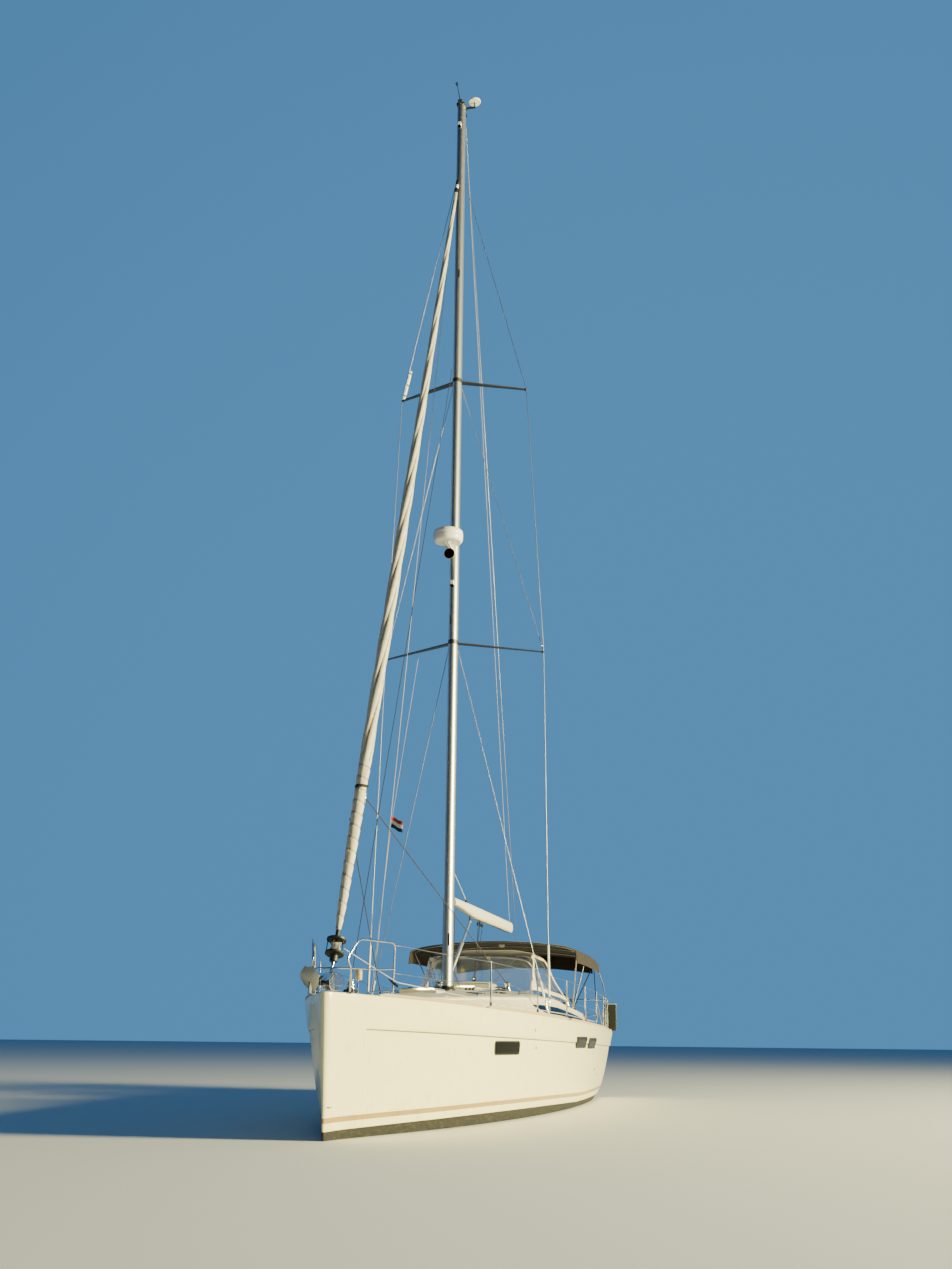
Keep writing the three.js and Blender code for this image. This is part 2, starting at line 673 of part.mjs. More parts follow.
// Bow fitting with twin roller, anchor and windlass
function buildBow(hull) {
  const cheekOutline = [
    [X(-170), 1742], [X(-60), 1690], [X(60), 1690], [X(60), 1680 + 66], [X(420), 1772],
    [X(420), 1800], [X(300), 1895], [X(40), 1905], [X(-170), 1800],
  ];
  const cheeks = [-110, 0, 110].map((y) => plate(cheekOutline, 9, standing(y, 9)));
  const floor = block(20, 420, -112, 112, 1752, 1766).add(block(190, 420, -84, 84, 1640, 1760));
  const rollerPins = Object.values(ROLLER_SIDES).map((y) => (
    bar(at(-130, y - 52, ROLLER.up), at(-130, y + 52, ROLLER.up), ROLLER.radius, 24)
  ));
  const stayPlate = block(200, 262, -STAY_LUG, STAY_LUG, 1760, STAY_FOOT.up + 14);
  let fitting = joined([...cheeks, floor, ...rollerPins, stayPlate]);
  fitting = seated(fitting, hull).subtract(hull.translate(1, 0, 0));
  place('bow_roller', fitting, 'stainless');

  const side = ROLLER_SIDES.anchor;
  const shankUp = ROLLER.up + ROLLER.radius + 21.4;
  const shank = plate(
    [[X(-330), shankUp - 25], [X(330), shankUp - 12], [X(330), shankUp + 22], [X(-330), shankUp + 40]],
    16,
    standing(side, 16),
  );
  const crown = plate(
    [[X(-250), shankUp + 38], [X(-250), shankUp - 22], [X(-345), shankUp - 170], [X(-400), shankUp - 180],
      [X(-390), shankUp - 60], [X(-330), shankUp + 38]],
    16,
    standing(side, 16),
  );
  // Scoop of the fluke, from its point to the back edge
  const fluke = loft([
    { half: 1, edge: [-262, 1572], under: [-250, 1560], over: [-258, 1575] },
    { half: 125, edge: [-330, 1660], under: [-338, 1640], over: [-350, 1662] },
    { half: 165, edge: [-420, 1790], under: [-428, 1752], over: [-440, 1775] },
    { half: 55, edge: [-440, 1850], under: [-442, 1830], over: [-450, 1852] },
  ].map((row) => [
    at(row.edge[0], side - row.half, row.edge[1]), at(row.under[0], side, row.under[1]),
    at(row.edge[0], side + row.half, row.edge[1]), at(row.over[0], side, row.over[1]),
  ]));
  place('anchor', joined([shank, crown, fluke]), 'galvanised');

  const windlassBase = block(930, 1130, -75, 75, deckUp(1030, 75) - 20, deckUp(1030, 0) + 60);
  const drum = bar(at(1030, 0, deckUp(1030, 0) + 40), at(1030, 0, deckUp(1030, 0) + 190), 62, 12, 54);
  place('windlass', seated(windlassBase.add(drum), hull), 'stainless');
}

// Pulpit half: two rails on two legs, standing on the deck edge
function buildRails(hull) {
  const foot = (aft, inset) => at(aft, deckHalf(aft) - inset, deckUp(aft, deckHalf(aft) - inset) + 10);
  const tubeRadius = 12.5;
  const pulpitPoints = {
    foreFoot: foot(300, 70),
    foreMid: at(230, 235, 1952),
    foreTop: at(345, 345, 2318),
    aftTop: at(1130, 540, 2315),
    aftMid: at(1140, 540, 1990),
    aftFoot: foot(1150, 100),
  };
  const p = pulpitPoints;
  const pulpit = joined([
    pipe([p.foreFoot, p.foreMid, p.foreTop, p.aftTop, p.aftFoot], tubeRadius),
    bar(p.foreMid, p.aftMid, 11),
    ...[p.foreFoot, p.aftFoot].map((f) => (
      bar(f.clone().setZ(f.z - 24), f.clone().setZ(f.z + 4), 24, 8)
    )),
  ]);
  place('pulpit_port', seated(pulpit, hull), 'stainless');
  place('pulpit_starboard', seated(mirrored(pulpit), hull), 'stainless');

  // Stanchions stand inside the toe rail and are joined by the two lifelines
  const stanchions = [3600, 5500, 7300, 9000, 10600];
  const inset = 98;
  const lift = { top: RAIL_HEIGHT - 12, mid: 300 };
  const lineEnds = [1175, 12010];
  const parts = stanchions.map((aft) => {
    const base = at(aft, deckHalf(aft) - inset, sheer(aft) + 14);
    const top = base.clone().setZ(sheer(aft) + RAIL_HEIGHT);
    const shoe = bar(base.clone().setZ(base.z - 24), base.clone().setZ(base.z + 60), 27, 8, 16);
    return bar(base, top, 12.5, 8).add(shoe);
  });
  const linePlaces = [lineEnds[0], ...stanchions, lineEnds[1]];
  const lines = Object.values(lift).map((up) => pipe(
    linePlaces.map((aft) => at(aft, deckHalf(aft) - inset + 3.7, sheer(aft) + up)), 4.2, 6,
  ));
  const lifelines = joined([...parts, ...lines]);
  place('lifelines_port', seated(lifelines, hull), 'stainless');
  place('lifelines_starboard', seated(mirrored(lifelines), hull), 'stainless');

  // Pushpit half: three legs, wrapped round the quarter
  const legs = [12040, 12700, 13330];
  const topOf = (aft) => at(aft, deckHalf(aft) - 86, sheer(aft) + RAIL_HEIGHT + 25);
  const midOf = (aft) => at(aft, deckHalf(aft) - 86, sheer(aft) + 320);
  const inner = { top: at(13400, 950, sheer(13400) + 645), mid: at(13400, 950, sheer(13400) + 320) };
  const pushpit = joined([
    ...legs.map((aft) => bar(
      at(aft, deckHalf(aft) - 86, sheer(aft) - 10), topOf(aft), tubeRadius,
    )),
    pipe([...legs.map(topOf), at(13400, 1700, sheer(13400) + 645), inner.top], tubeRadius),
    pipe([...legs.map(midOf), at(13400, 1700, sheer(13400) + 320), inner.mid], 11),
    bar(inner.top, at(13400, 950, deckUp(13400, 950) - 10), tubeRadius),
  ]);
  place('pushpit_port', seated(pushpit, hull), 'stainless');
  place('pushpit_starboard', seated(mirrored(pushpit), hull), 'stainless');
}

// Rig
function mastAft(z) {
  return MAST_AFT + (MAST_RAKE * (z - MAST_FOOT)) / (MAST_HEAD - MAST_FOOT);
}

function mastRing(z, grow) {
  const ring = [];
  const sides = 16;
  for (let i = 0; i < sides; i += 1) {
    const angle = (i * 2 * Math.PI) / sides;
    const aft = mastAft(z) + (MAST_HALF_LENGTH + grow) * Math.cos(angle);
    ring.push(at(aft, (MAST_HALF_WIDTH + grow) * Math.sin(angle), z));
  }
  return ring;
}

function mastColumn(from, to, grow) {
  return loft([mastRing(from, grow), mastRing(to, grow)]);
}

function buildSpreaders(name, spreader) {
  const { up, half, sweep } = spreader;
  const collar = mastColumn(up - 40, up + 40, 9);
  const root = mastAft(up);
  const chordRoot = 170;
  const chordTip = 90;
  const arm = loft([0, 1].map((t) => {
    const chord = THREE.MathUtils.lerp(chordRoot, chordTip, t);
    const thick = THREE.MathUtils.lerp(34, 20, t);
    const y = THREE.MathUtils.lerp(30, half - WIRE - 8, t);
    const mid = root + 20 + (sweep * y) / half;
    return [
      at(mid - chord / 2, y, up), at(mid - chord / 5, y, up + thick / 2),
      at(mid + chord / 2, y, up), at(mid - chord / 5, y, up - thick / 2),
    ];
  }));
  const arms = arm.add(mirrored(arm));
  const solid = collar.add(arms).subtract(mastColumn(up - 300, up + 300, GAP));
  place(name, solid, 'alloy');
}

// Ears on the mast's after face that hold the boom's pin and the vang's pin
function mastEars() {
  const pivot = mastAft(BOOM_UP) + MAST_HALF_LENGTH + GOOSENECK_BEHIND_MAST;
  const face = mastAft(VANG_FOOT) + MAST_HALF_LENGTH - 12;
  const tang = block(face, pivot - 40, -30, 30, BOOM_UP - 70, BOOM_UP + 70);
  const ears = [
    [BOOM_UP + 40, BOOM_UP + 60], [BOOM_UP - 60, BOOM_UP - 40], [VANG_FOOT - 80, VANG_FOOT - 44],
  ].map(([low, high]) => block(face, pivot + 20, -24, 24, low, high));
  const holes = [[BOOM_UP, 100], [VANG_FOOT - 60, 60]].map(([up, half]) => (
    bar(at(pivot, 0, up - half), at(pivot, 0, up + half), PIN_HOLE, 12)
  ));
  return joined([tang, ...ears]).subtract(joined(holes));
}

function buildMast(roof) {
  const head = mastAft(MAST_HEAD);
  const mast = seated(mastColumn(MAST_FOOT - 160, MAST_HEAD, 0), roof).add(mastEars());
  place('mast', mast, 'alloy');
  buildSpreaders('spreaders_lower', SPREADER_LOWER);
  buildSpreaders('spreaders_upper', SPREADER_UPPER);

  const crown = block(head - 190, head + 330, -42, 42, MAST_HEAD + GAP, MAST_HEAD + 62)
    .add(block(head - 120, head + 140, -92, 92, MAST_HEAD + GAP, MAST_HEAD + 48));
  const vaneRod = bar(at(head - 150, 0, MAST_HEAD + 50), at(head - 205, -60, MAST_HEAD + 470), 9, 6);
  const vaneCup = bar(at(head - 200, -54, MAST_HEAD + 400), at(head - 206, -62, MAST_HEAD + 470), 42, 8);
  const aerial = { aft: head + 90, side: 250 };
  const arm = block(aerial.aft - 16, aerial.aft + 16, 40, aerial.side + 16, MAST_HEAD + 12, MAST_HEAD + 44);
  const aerialAt = (up) => at(aerial.aft, aerial.side, MAST_HEAD + up);
  const aerialPost = bar(aerialAt(30), aerialAt(150), 14, 8);
  const aerialDisc = bar(aerialAt(140), aerialAt(205), 125, 16);
  place('masthead_unit', joined([crown, vaneRod, vaneCup, arm, aerialPost, aerialDisc]), 'black');

  const scannerUp = 9740;
  const face = mastAft(scannerUp) - MAST_HALF_LENGTH - GAP - 1;
  const domeProfile = [
    [0, -120], [225, -120], [258, -85], [265, 40], [248, 98], [180, 122], [0, 128],
  ];
  const dome = new THREE.LatheGeometry(domeProfile.map(([r, z]) => new THREE.Vector2(r, z)), 20);
  dome.rotateX(Math.PI / 2);
  dome.translate(X(face - 400), 0, scannerUp);
  const bracket = block(face - 330, face, -34, 34, scannerUp - 190, scannerUp - 110);
  const shelf = block(face - 520, face - 60, -60, 60, scannerUp - 138, scannerUp - 118);
  const hailer = bar(at(face - 190, 0, scannerUp - 270), at(face - 300, 0, scannerUp - 285), 40, 12, 100)
    .add(block(face - 230, face - 190, -20, 20, scannerUp - 280, scannerUp - 180));
  place('radome', joined([solidOf(dome), bracket, shelf, hailer]), 'white');
}

function spreaderTip(spreader) {
  return at(mastAft(spreader.up) + 20 + spreader.sweep, spreader.half + WIRE + 1, spreader.up);
}

const BACKSTAY = {
  head: at(mastAft(MAST_HEAD) + 330 + WIRE + 2, 0, MAST_HEAD + 30),
  split: at(12700, 0, 2800),
  quarter: at(13330, 1600, sheer(13330) + 60),
};

// Standing rigging: cap shroud over both spreader tips, lower shroud and the diagonal
function buildShrouds(hull) {
  const foot = at(CHAINPLATE.aft, CHAINPLATE.half, deckUp(CHAINPLATE.aft, CHAINPLATE.half) + 6);
  const low = spreaderTip(SPREADER_LOWER);
  const high = spreaderTip(SPREADER_UPPER);
  const headUp = HOUNDS - 150;
  const skin = MAST_HALF_WIDTH + WIRE + GAP + 1;
  const cap = pipe([foot, low, high, at(mastAft(headUp), skin, headUp)], WIRE, 6);
  const lowerUp = SPREADER_LOWER.up - 150;
  const lower = bar(foot, at(mastAft(lowerUp) + 20, skin, lowerUp), WIRE, 6);
  const diagonalUp = SPREADER_UPPER.up - 150;
  const diagonal = bar(low, at(mastAft(diagonalUp) + 20, skin, diagonalUp), WIRE - 1, 6);
  const screw = (to) => {
    const along = to.clone().sub(foot).normalize();
    return bar(foot.clone().addScaledVector(along, 60), foot.clone().addScaledVector(along, 340), 15, 8);
  };
  const plateBase = block(
    CHAINPLATE.aft - 70, CHAINPLATE.aft + 70, CHAINPLATE.half - 22, CHAINPLATE.half + 22,
    foot.z - 30, foot.z + 14,
  );
  const screws = [low, at(mastAft(lowerUp), 0, lowerUp)].map(screw);
  const side = joined([plateBase, cap, lower, diagonal, ...screws]);
  place('shrouds_port', seated(side, hull), 'stainless');
  place('shrouds_starboard', seated(mirrored(side), hull), 'stainless');

  const { head, split, quarter } = BACKSTAY;
  const plateRoom = new THREE.Vector3(0, 24, -24);
  const leg = bar(split.clone().add(plateRoom), quarter, WIRE - 1, 6)
    .add(bar(quarter.clone().setZ(quarter.z + 6), quarter.clone().setZ(quarter.z - 60), 16));
  const below = (y, drop) => split.clone().add(new THREE.Vector3(0, y, -drop));
  const triangle = bar(below(-27, 24), below(27, 24), 16, 8);
  const stud = bar(split, below(0, 30), 12, 8);
  const upper = joined([bar(head, split, WIRE, 6), stud, triangle]);
  place('backstay_upper', upper, 'stainless');
  const legRoom = joined([[0, -GAP], [0, 0], [GAP, 0], [-GAP, 0]].map(([y, z]) => upper.translate(0, y, z)));
  place('backstay_leg_port', seated(leg, hull).subtract(legRoom), 'stainless');
  place('backstay_leg_starboard', seated(mirrored(leg), hull).subtract(legRoom), 'stainless');

  // Tube radar reflector clipped to the starboard cap shroud above the upper spreader
  const along = at(mastAft(headUp), skin, headUp).sub(high).normalize();
  const beside = high.clone().add(new THREE.Vector3(-58, 0, 0));
  const spot = (up) => beside.clone().addScaledVector(along, up);
  const onWire = (up) => high.clone().addScaledVector(along, up);
  const clip = (up) => bar(spot(up), onWire(up).add(new THREE.Vector3(10, 0, 0)), 9, 8);
  const wireRoom = bar(high, high.clone().addScaledVector(along, 900), WIRE + 0.85, 12);
  const reflector = joined([bar(spot(50), spot(650), 35, 10), clip(120), clip(580)]).subtract(wireRoom);
  place('radar_reflector', mirrored(reflector), 'white');
}

// Furled headsail on its foil, turning about the forestay
const STAY_HEAD = { clear: 9.3, up: HOUNDS };

function stayPoint(t) {
  const foot = at(STAY_FOOT.aft, 0, STAY_FOOT.up);
  const { clear, up } = STAY_HEAD;
  return foot.lerp(at(mastAft(up) - MAST_HALF_LENGTH - clear, 0, up), t);
}

function stayAtUp(z) {
  return (z - STAY_FOOT.up) / (STAY_HEAD.up - STAY_FOOT.up);
}

function buildForestay() {
  const drumLow = stayPoint(stayAtUp(2120));
  const drumMid = stayPoint(stayAtUp(2150));
  const drumTop = stayPoint(stayAtUp(2290));
  const drum = joined([
    bar(stayPoint(stayAtUp(2040)), drumLow, 50, 12),
    bar(drumLow, drumMid, 120, 16),
    bar(drumMid, drumTop, 46, 12),
    bar(drumTop, stayPoint(stayAtUp(2315)), 125, 16),
    bar(stayPoint(stayAtUp(2310)), stayPoint(stayAtUp(2428)), 26, 10),
  ]);
  place('furler_drum', drum, 'black');

  // Roll: up from the foot, radius
  const rollShape = [
    [2430, 36], [2560, 48], [2800, 58], [3500, 74], [4300, 85], [7000, 84], [9000, 80], [11000, 70],
    [13000, 58], [15000, 50], [16200, 40], [17080, 30],
  ];
  const rings = rollShape.map(([up, radius]) => {
    const centre = stayPoint(stayAtUp(up));
    const ring = [];
    for (let i = 0; i < 10; i += 1) {
      const angle = (i * 2 * Math.PI) / 10;
      ring.push(new THREE.Vector3(
        centre.x + radius * Math.cos(angle), centre.y + radius * Math.sin(angle), centre.z,
      ));
    }
    return ring;
  });
  const swivelLow = stayPoint(stayAtUp(17060));
  const swivel = joined([
    bar(swivelLow, stayPoint(stayAtUp(17460)), 36, 10),
    bar(stayPoint(stayAtUp(17400)), stayPoint(1), 10, 6),
  ]);
  place('forestay_head', swivel, 'stainless');
  const roll = loft(rings).subtract(drum.translate(0, 0, GAP)).subtract(swivel.translate(0, 0, -GAP));
  place('headsail_roll', roll, 'sail');

  const fork = block(204, 258, -18, 18, STAY_FOOT.up - 24, STAY_FOOT.up + 50);
  const slotHalf = STAY_LUG + GAP;
  const forkSlot = block(190, 270, -slotHalf, slotHalf, STAY_FOOT.up - 60, STAY_FOOT.up + 14 + GAP);
  const stud = bar(stayPoint(stayAtUp(STAY_FOOT.up + 40)), stayPoint(stayAtUp(2040 - 0.4)), 16, 8);
  const toggle = fork.add(stud).subtract(forkSlot);
  place('forestay_toggle', toggle, 'stainless');
}

function buildBoom(roof) {
  const pivot = mastAft(BOOM_UP) + MAST_HALF_LENGTH + GOOSENECK_BEHIND_MAST;
  const start = pivot + 60;
  const end = pivot + BOOM_LENGTH;
  // The underside of the spar rises towards the gooseneck: `depth` is its share of the half height
  const section = (aft, shrink, depth = shrink) => {
    const h = BOOM_HALF_HEIGHT * shrink;
    const low = BOOM_HALF_HEIGHT * depth;
    const w = BOOM_HALF_WIDTH * shrink;
    return [
      at(aft, w * 0.5, BOOM_UP - low), at(aft, w, BOOM_UP - low * 0.55), at(aft, w, BOOM_UP + h * 0.6),
      at(aft, w * 0.55, BOOM_UP + h), at(aft, -w * 0.55, BOOM_UP + h), at(aft, -w, BOOM_UP + h * 0.6),
      at(aft, -w, BOOM_UP - low * 0.55), at(aft, -w * 0.5, BOOM_UP - low),
    ];
  };
  const spar = loft([
    section(start, 0.86, 0.3), section(7030, 0.94, 0.34), section(8000, 1, 0.86), section(8350, 1),
    section(end - 60, 1), section(end, 0.86),
  ]);
  const knuckle = block(pivot - 22, start + 30, -24, 24, BOOM_UP - 32, BOOM_UP + 32);
  const boomPin = bar(at(pivot, 0, BOOM_UP - 84), at(pivot, 0, BOOM_UP + 84), PIN, 12);
  const sheetAft = 8880;
  const bail = block(sheetAft - 60, sheetAft + 60, -14, 14, BOOM_UP - BOOM_HALF_HEIGHT - 70, BOOM_UP - 80);
  const vangAft = 8010;
  const lug = block(vangAft - 40, vangAft + 40, -12, 12, BOOM_UP - BOOM_HALF_HEIGHT - 60, BOOM_UP - 60);
  place('boom', joined([spar, knuckle, boomPin, bail, lug]), 'boomPaint');

  const vangFootUp = VANG_FOOT;
  const vangFoot = at(pivot, 0, vangFootUp);
  const vangTop = at(vangAft, 0, BOOM_UP - BOOM_HALF_HEIGHT - 66 - 22);
  const along = (share) => vangFoot.clone().lerp(vangTop, share);
  const pin = bar(at(pivot, 0, vangFootUp - 90), at(pivot, 0, vangFootUp), PIN, 12);
  const vang = joined([bar(along(0), along(0.56), 34, 10), bar(along(0.5), along(1), 22, 8), pin]);
  place('vang', vang, 'alloy');
  const sheetLow = slideFloor() + 98;
  const deckBlock = joined([
    block(8360, 8480, -40, 40, sheetLow - 20, sheetLow + 18),
    bar(at(8420, 0, sheetLow), at(8420, 0, sheetLow + 120), 30, 10),
  ]);
  place('mainsheet_deck_block', seated(deckBlock, roof), 'black');
}

// Canopies: plain closed shells whose looks come later
function shell(rings, thickness) {
  const count = rings[0].length;
  const closed = rings.map((ring) => {
    const inner = ring.map((p, i) => {
      const before = ring[Math.max(0, i - 1)];
      const after = ring[Math.min(count - 1, i + 1)];
      const along = after.clone().sub(before).normalize();
      const normal = new THREE.Vector3(0, along.z, -along.y);
      return p.clone().addScaledVector(normal, thickness);
    });
    return [...ring, ...inner.reverse()];
  });
  return loft(closed, true);
}

const BIMINI = { front: 10000, back: 13500, half: 1620, crown: 2985, edge: 2800, low: 2560 };

// Arch of the bimini over one distance aft, drawn in from the outside by `inset`
function biminiArch(aft, drop, inset) {
  const shares = [-1, -0.97, -0.85, -0.6, -0.3, 0, 0.3, 0.6, 0.85, 0.97, 1];
  return shares.map((share) => {
    const side = Math.abs(share);
    const top = side < 0.86 ? BIMINI.crown - 150 * side * side : BIMINI.edge;
    return at(aft, share * (BIMINI.half - inset), (side === 1 ? BIMINI.low : top) - drop - inset);
  });
}

const BIMINI_ROWS = [
  { aft: 10000, drop: 26, foot: null },
  { aft: 10300, drop: 4, foot: 11450 },
  { aft: 11000, drop: 0, foot: null },
  { aft: 11600, drop: 2, foot: 11500 },
  { aft: 12200, drop: 6, foot: null },
  { aft: 13000, drop: 30, foot: 11550 },
  { aft: 13500, drop: 70, foot: null },
];

function buildBimini(roof) {
  const sleeve = bar(BACKSTAY.head, BACKSTAY.split, 18, 8);
  const canopy = shell(BIMINI_ROWS.map((row) => biminiArch(row.aft, row.drop, 0)), 10);
  place('bimini_canopy', canopy.subtract(sleeve), 'canvasBrown');

  const tube = 12.5;
  const footSide = 1350;
  const footUp = roofUp(11500, footSide) - 6;
  const hoops = BIMINI_ROWS.filter((row) => row.foot).map((row) => {
    const arch = biminiArch(row.aft, row.drop, 10 + tube + GAP).slice(1, -1);
    return pipe([at(row.foot, -footSide, footUp), ...arch, at(row.foot, footSide, footUp)], tube, 8);
  });
  const shoe = bar(at(11430, footSide, footUp), at(11570, footSide, footUp), 15, 8);
  place('bimini_frame', seated(joined([shoe, mirrored(shoe), ...hoops]), roof), 'stainless');
}

function buildSprayhood(roof) {
  // Each arch runs from the port foot over the top to the starboard foot
  const archAt = (aft, lean, footUp, footHalf, shoulderUp, shoulderHalf, topUp) => {
    const side = [
      at(aft + lean, footHalf, footUp),
      at(aft + lean * 0.5, THREE.MathUtils.lerp(footHalf, shoulderHalf, 0.55), (footUp + shoulderUp) / 2),
      at(aft, shoulderHalf, shoulderUp),
      at(aft - 40, shoulderHalf * 0.55, topUp - 10),
    ];
    const across = side.slice().reverse().map((p) => new THREE.Vector3(p.x, -p.y, p.z));
    return [...side, at(aft - 50, 0, topUp), ...across];
  };
  const rings = [
    archAt(8560, 0, roofUp(8560, 1040) - 16, 1040, roofUp(8560, 1000) - 8, 1000, 2114),
    archAt(8930, 30, 2010, 1000, 2585, 955, 2620),
    archAt(9300, 200, 1880, 1420, 2610, 1010, 2710),
    archAt(9760, 180, 1800, 1500, 2605, 1040, 2760),
  ];
  place('sprayhood_canvas', seated(shell(rings, 8), roof), 'canvasCream');
  const inset = 34;
  const bow = (aft, foot, shoulder, top) => pipe([
    at(foot.aft, foot.half, foot.up), at(aft, shoulder.half - inset, shoulder.up - inset),
    at(aft - 40, shoulder.half * 0.5, top - inset - 12),
    at(aft - 40, -shoulder.half * 0.5, top - inset - 12),
    at(aft, -shoulder.half + inset, shoulder.up - inset), at(foot.aft, -foot.half, foot.up),
  ], 12.5, 6);
  const pivot = { aft: 9600, half: 1385, up: roofUp(9600, 1360) - 10 };
  const forePivot = { aft: 9560, half: 1250, up: roofUp(9560, 1250) - 10 };
  const shoe = bar(
    at(forePivot.aft, forePivot.half, forePivot.up + 14), at(pivot.aft, pivot.half, pivot.up + 14), 16,
  );
  const frame = joined([
    bow(9740, pivot, { half: 1045, up: 2600 }, 2760),
    bow(9010, forePivot, { half: 915, up: 2570 }, 2630),
    shoe,
    mirrored(shoe),
  ]);
  place('sprayhood_frame', seated(frame, roof), 'stainless');
}

function buildWinches(roof) {
  const drum = (aft, y, up, radius, height) => {
    const profile = [
      [0, 0], [radius, 0], [radius, height * 0.22], [radius * 0.72, height * 0.36],
      [radius * 0.68, height * 0.72], [radius * 0.88, height * 0.84], [radius * 0.88, height], [0, height],
    ].map(([r, z]) => new THREE.Vector2(r, z));
    const turned = new THREE.LatheGeometry(profile, 12);
    turned.rotateX(Math.PI / 2);
    turned.translate(X(aft), y, up);
    return solidOf(turned);
  };
  const halyard = drum(8360, 620, roofUp(8360, 620) - 12, 72, 165);
  const primary = drum(10500, 1360, roofUp(10500, 1310) - 12, 84, 185);
  [['winch_halyard', halyard], ['winch_primary', primary]].forEach(([name, winch]) => {
    place(`${name}_port`, seated(winch, roof), 'stainless');
    place(`${name}_starboard`, seated(mirrored(winch), roof), 'stainless');
  });
}

// Upright case that stands on the port quarter and hangs a little over the stern
function buildSternCase(hull) {
  const box = block(13430, 13610, 1740, 1990, 1330, 1900);
  const foot = block(13430, 13490, 1750, 1850, 1290, 1340);
  place('stern_case', seated(joined([box, foot]), hull), 'black');
}

const hull = buildHull();
const rail = toeRail();
place('toe_rail_port', seated(rail, hull), 'teak');
place('toe_rail_starboard', seated(mirrored(rail), hull), 'teak');
buildKeelAndRudder(hull);
buildSaildrive(hull);
const roof = buildSuperstructure(hull);
buildHatches();
buildCockpit();
buildTransomPlatform();
buildBow(hull);
buildRails(hull);
buildMast(roof);
buildShrouds(hull);
buildForestay();
buildBoom(roof);
buildBimini(roof);
buildSprayhood(roof);
buildWinches(roof);
buildSternCase(hull);

export default yacht;
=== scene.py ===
# %% [markdown]
# # A cruising yacht at rest
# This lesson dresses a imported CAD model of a 13.5 m sloop. The CAD solids say where every piece is
# and how it moves. Here each one gets the shape and the finish that a boatbuilder would recognise:
# moulded gelcoat, anodised spars, wire rigging, canvas and teak.
# Lengths are metres. +X is forward, +Y is port, +Z is up, and the waterline is at zero height.

# %% Load the frame
import math

import bmesh
import bpy
import numpy as np
from mathutils import Matrix, Vector, noise


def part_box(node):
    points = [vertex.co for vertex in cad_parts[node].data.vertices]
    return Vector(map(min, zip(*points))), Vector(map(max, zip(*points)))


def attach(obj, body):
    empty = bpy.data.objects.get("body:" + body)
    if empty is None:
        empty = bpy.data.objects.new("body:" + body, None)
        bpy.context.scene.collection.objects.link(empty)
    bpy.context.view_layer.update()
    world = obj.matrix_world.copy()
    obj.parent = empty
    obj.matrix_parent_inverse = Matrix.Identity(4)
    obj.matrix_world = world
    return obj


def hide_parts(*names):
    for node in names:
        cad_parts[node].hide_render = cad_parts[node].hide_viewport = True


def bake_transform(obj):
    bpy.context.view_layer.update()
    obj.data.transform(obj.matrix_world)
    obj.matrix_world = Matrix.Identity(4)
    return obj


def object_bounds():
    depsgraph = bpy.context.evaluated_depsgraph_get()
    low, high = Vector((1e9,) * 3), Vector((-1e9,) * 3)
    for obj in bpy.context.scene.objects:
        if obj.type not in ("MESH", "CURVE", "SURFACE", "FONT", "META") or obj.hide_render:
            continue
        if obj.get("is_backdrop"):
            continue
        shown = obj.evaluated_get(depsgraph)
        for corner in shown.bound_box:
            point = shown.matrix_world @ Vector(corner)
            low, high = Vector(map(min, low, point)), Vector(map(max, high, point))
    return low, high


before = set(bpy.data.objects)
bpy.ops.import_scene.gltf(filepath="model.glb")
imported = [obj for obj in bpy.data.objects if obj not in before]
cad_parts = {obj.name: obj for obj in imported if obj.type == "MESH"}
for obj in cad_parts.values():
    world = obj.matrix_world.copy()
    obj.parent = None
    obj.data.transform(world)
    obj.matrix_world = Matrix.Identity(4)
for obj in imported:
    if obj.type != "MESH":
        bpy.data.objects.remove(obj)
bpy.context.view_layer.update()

# %% [markdown]
# ## The camera and the light
# The boat is seen from off its port bow, from low down, with the lens tilted up to take in the
# mast. A camera can be aimed by hand, by a target, or by its angles. Angles are used here, because
# they were solved together with the yacht's sizes, and they don't drift.

# %% Camera off the port bow
LENS, FILM_WIDTH, FAR_CLIP = 36.99, 36.0, 400.0
CAMERA_AT = Vector((22.086, 5.139, 1.175))
YAW, PITCH, ROLL = (math.radians(a) for a in (12.277, 17.162, 0.560))


def camera_matrix():
    level = Vector((-math.cos(YAW), -math.sin(YAW), 0.0))
    right = Vector((-math.sin(YAW), math.cos(YAW), 0.0))
    up = Vector((0.0, 0.0, 1.0))
    ahead = level * math.cos(PITCH) + up * math.sin(PITCH)
    over = up * math.cos(PITCH) - level * math.sin(PITCH)
    side = right * math.cos(ROLL) + over * math.sin(ROLL)
    top = over * math.cos(ROLL) - right * math.sin(ROLL)
    turn = Matrix((side, top, -ahead)).transposed().to_4x4()
    return Matrix.Translation(CAMERA_AT) @ turn


camera = bpy.data.objects.new("camera", bpy.data.cameras.new("camera"))
bpy.context.scene.collection.objects.link(camera)
camera.data.lens = LENS
camera.data.sensor_width = FILM_WIDTH
camera.data.clip_end = FAR_CLIP
camera.matrix_world = camera_matrix()
bpy.context.scene.camera = camera
print("camera at", tuple(round(v, 2) for v in CAMERA_AT))

# %% [markdown]
# The main light is a large warm panel on the port side. A larger, much weaker, cool one stands
# opposite. One hard lamp would give sharper shadows than a studio does.

# %% Soft light from two panels
LIT_SPOT = Vector((0, 0, 5))
LIGHTS = [
    {
        "name": "port_panel", "place": (4, 40, 11), "size": 9, "power": 72000,
        "tint": (1.0, 0.9, 0.44)
    },
    {
        "name": "starboard_panel", "place": (-6, -34, 22), "size": 24, "power": 350,
        "tint": (0.7, 0.85, 1.0)
    }
]


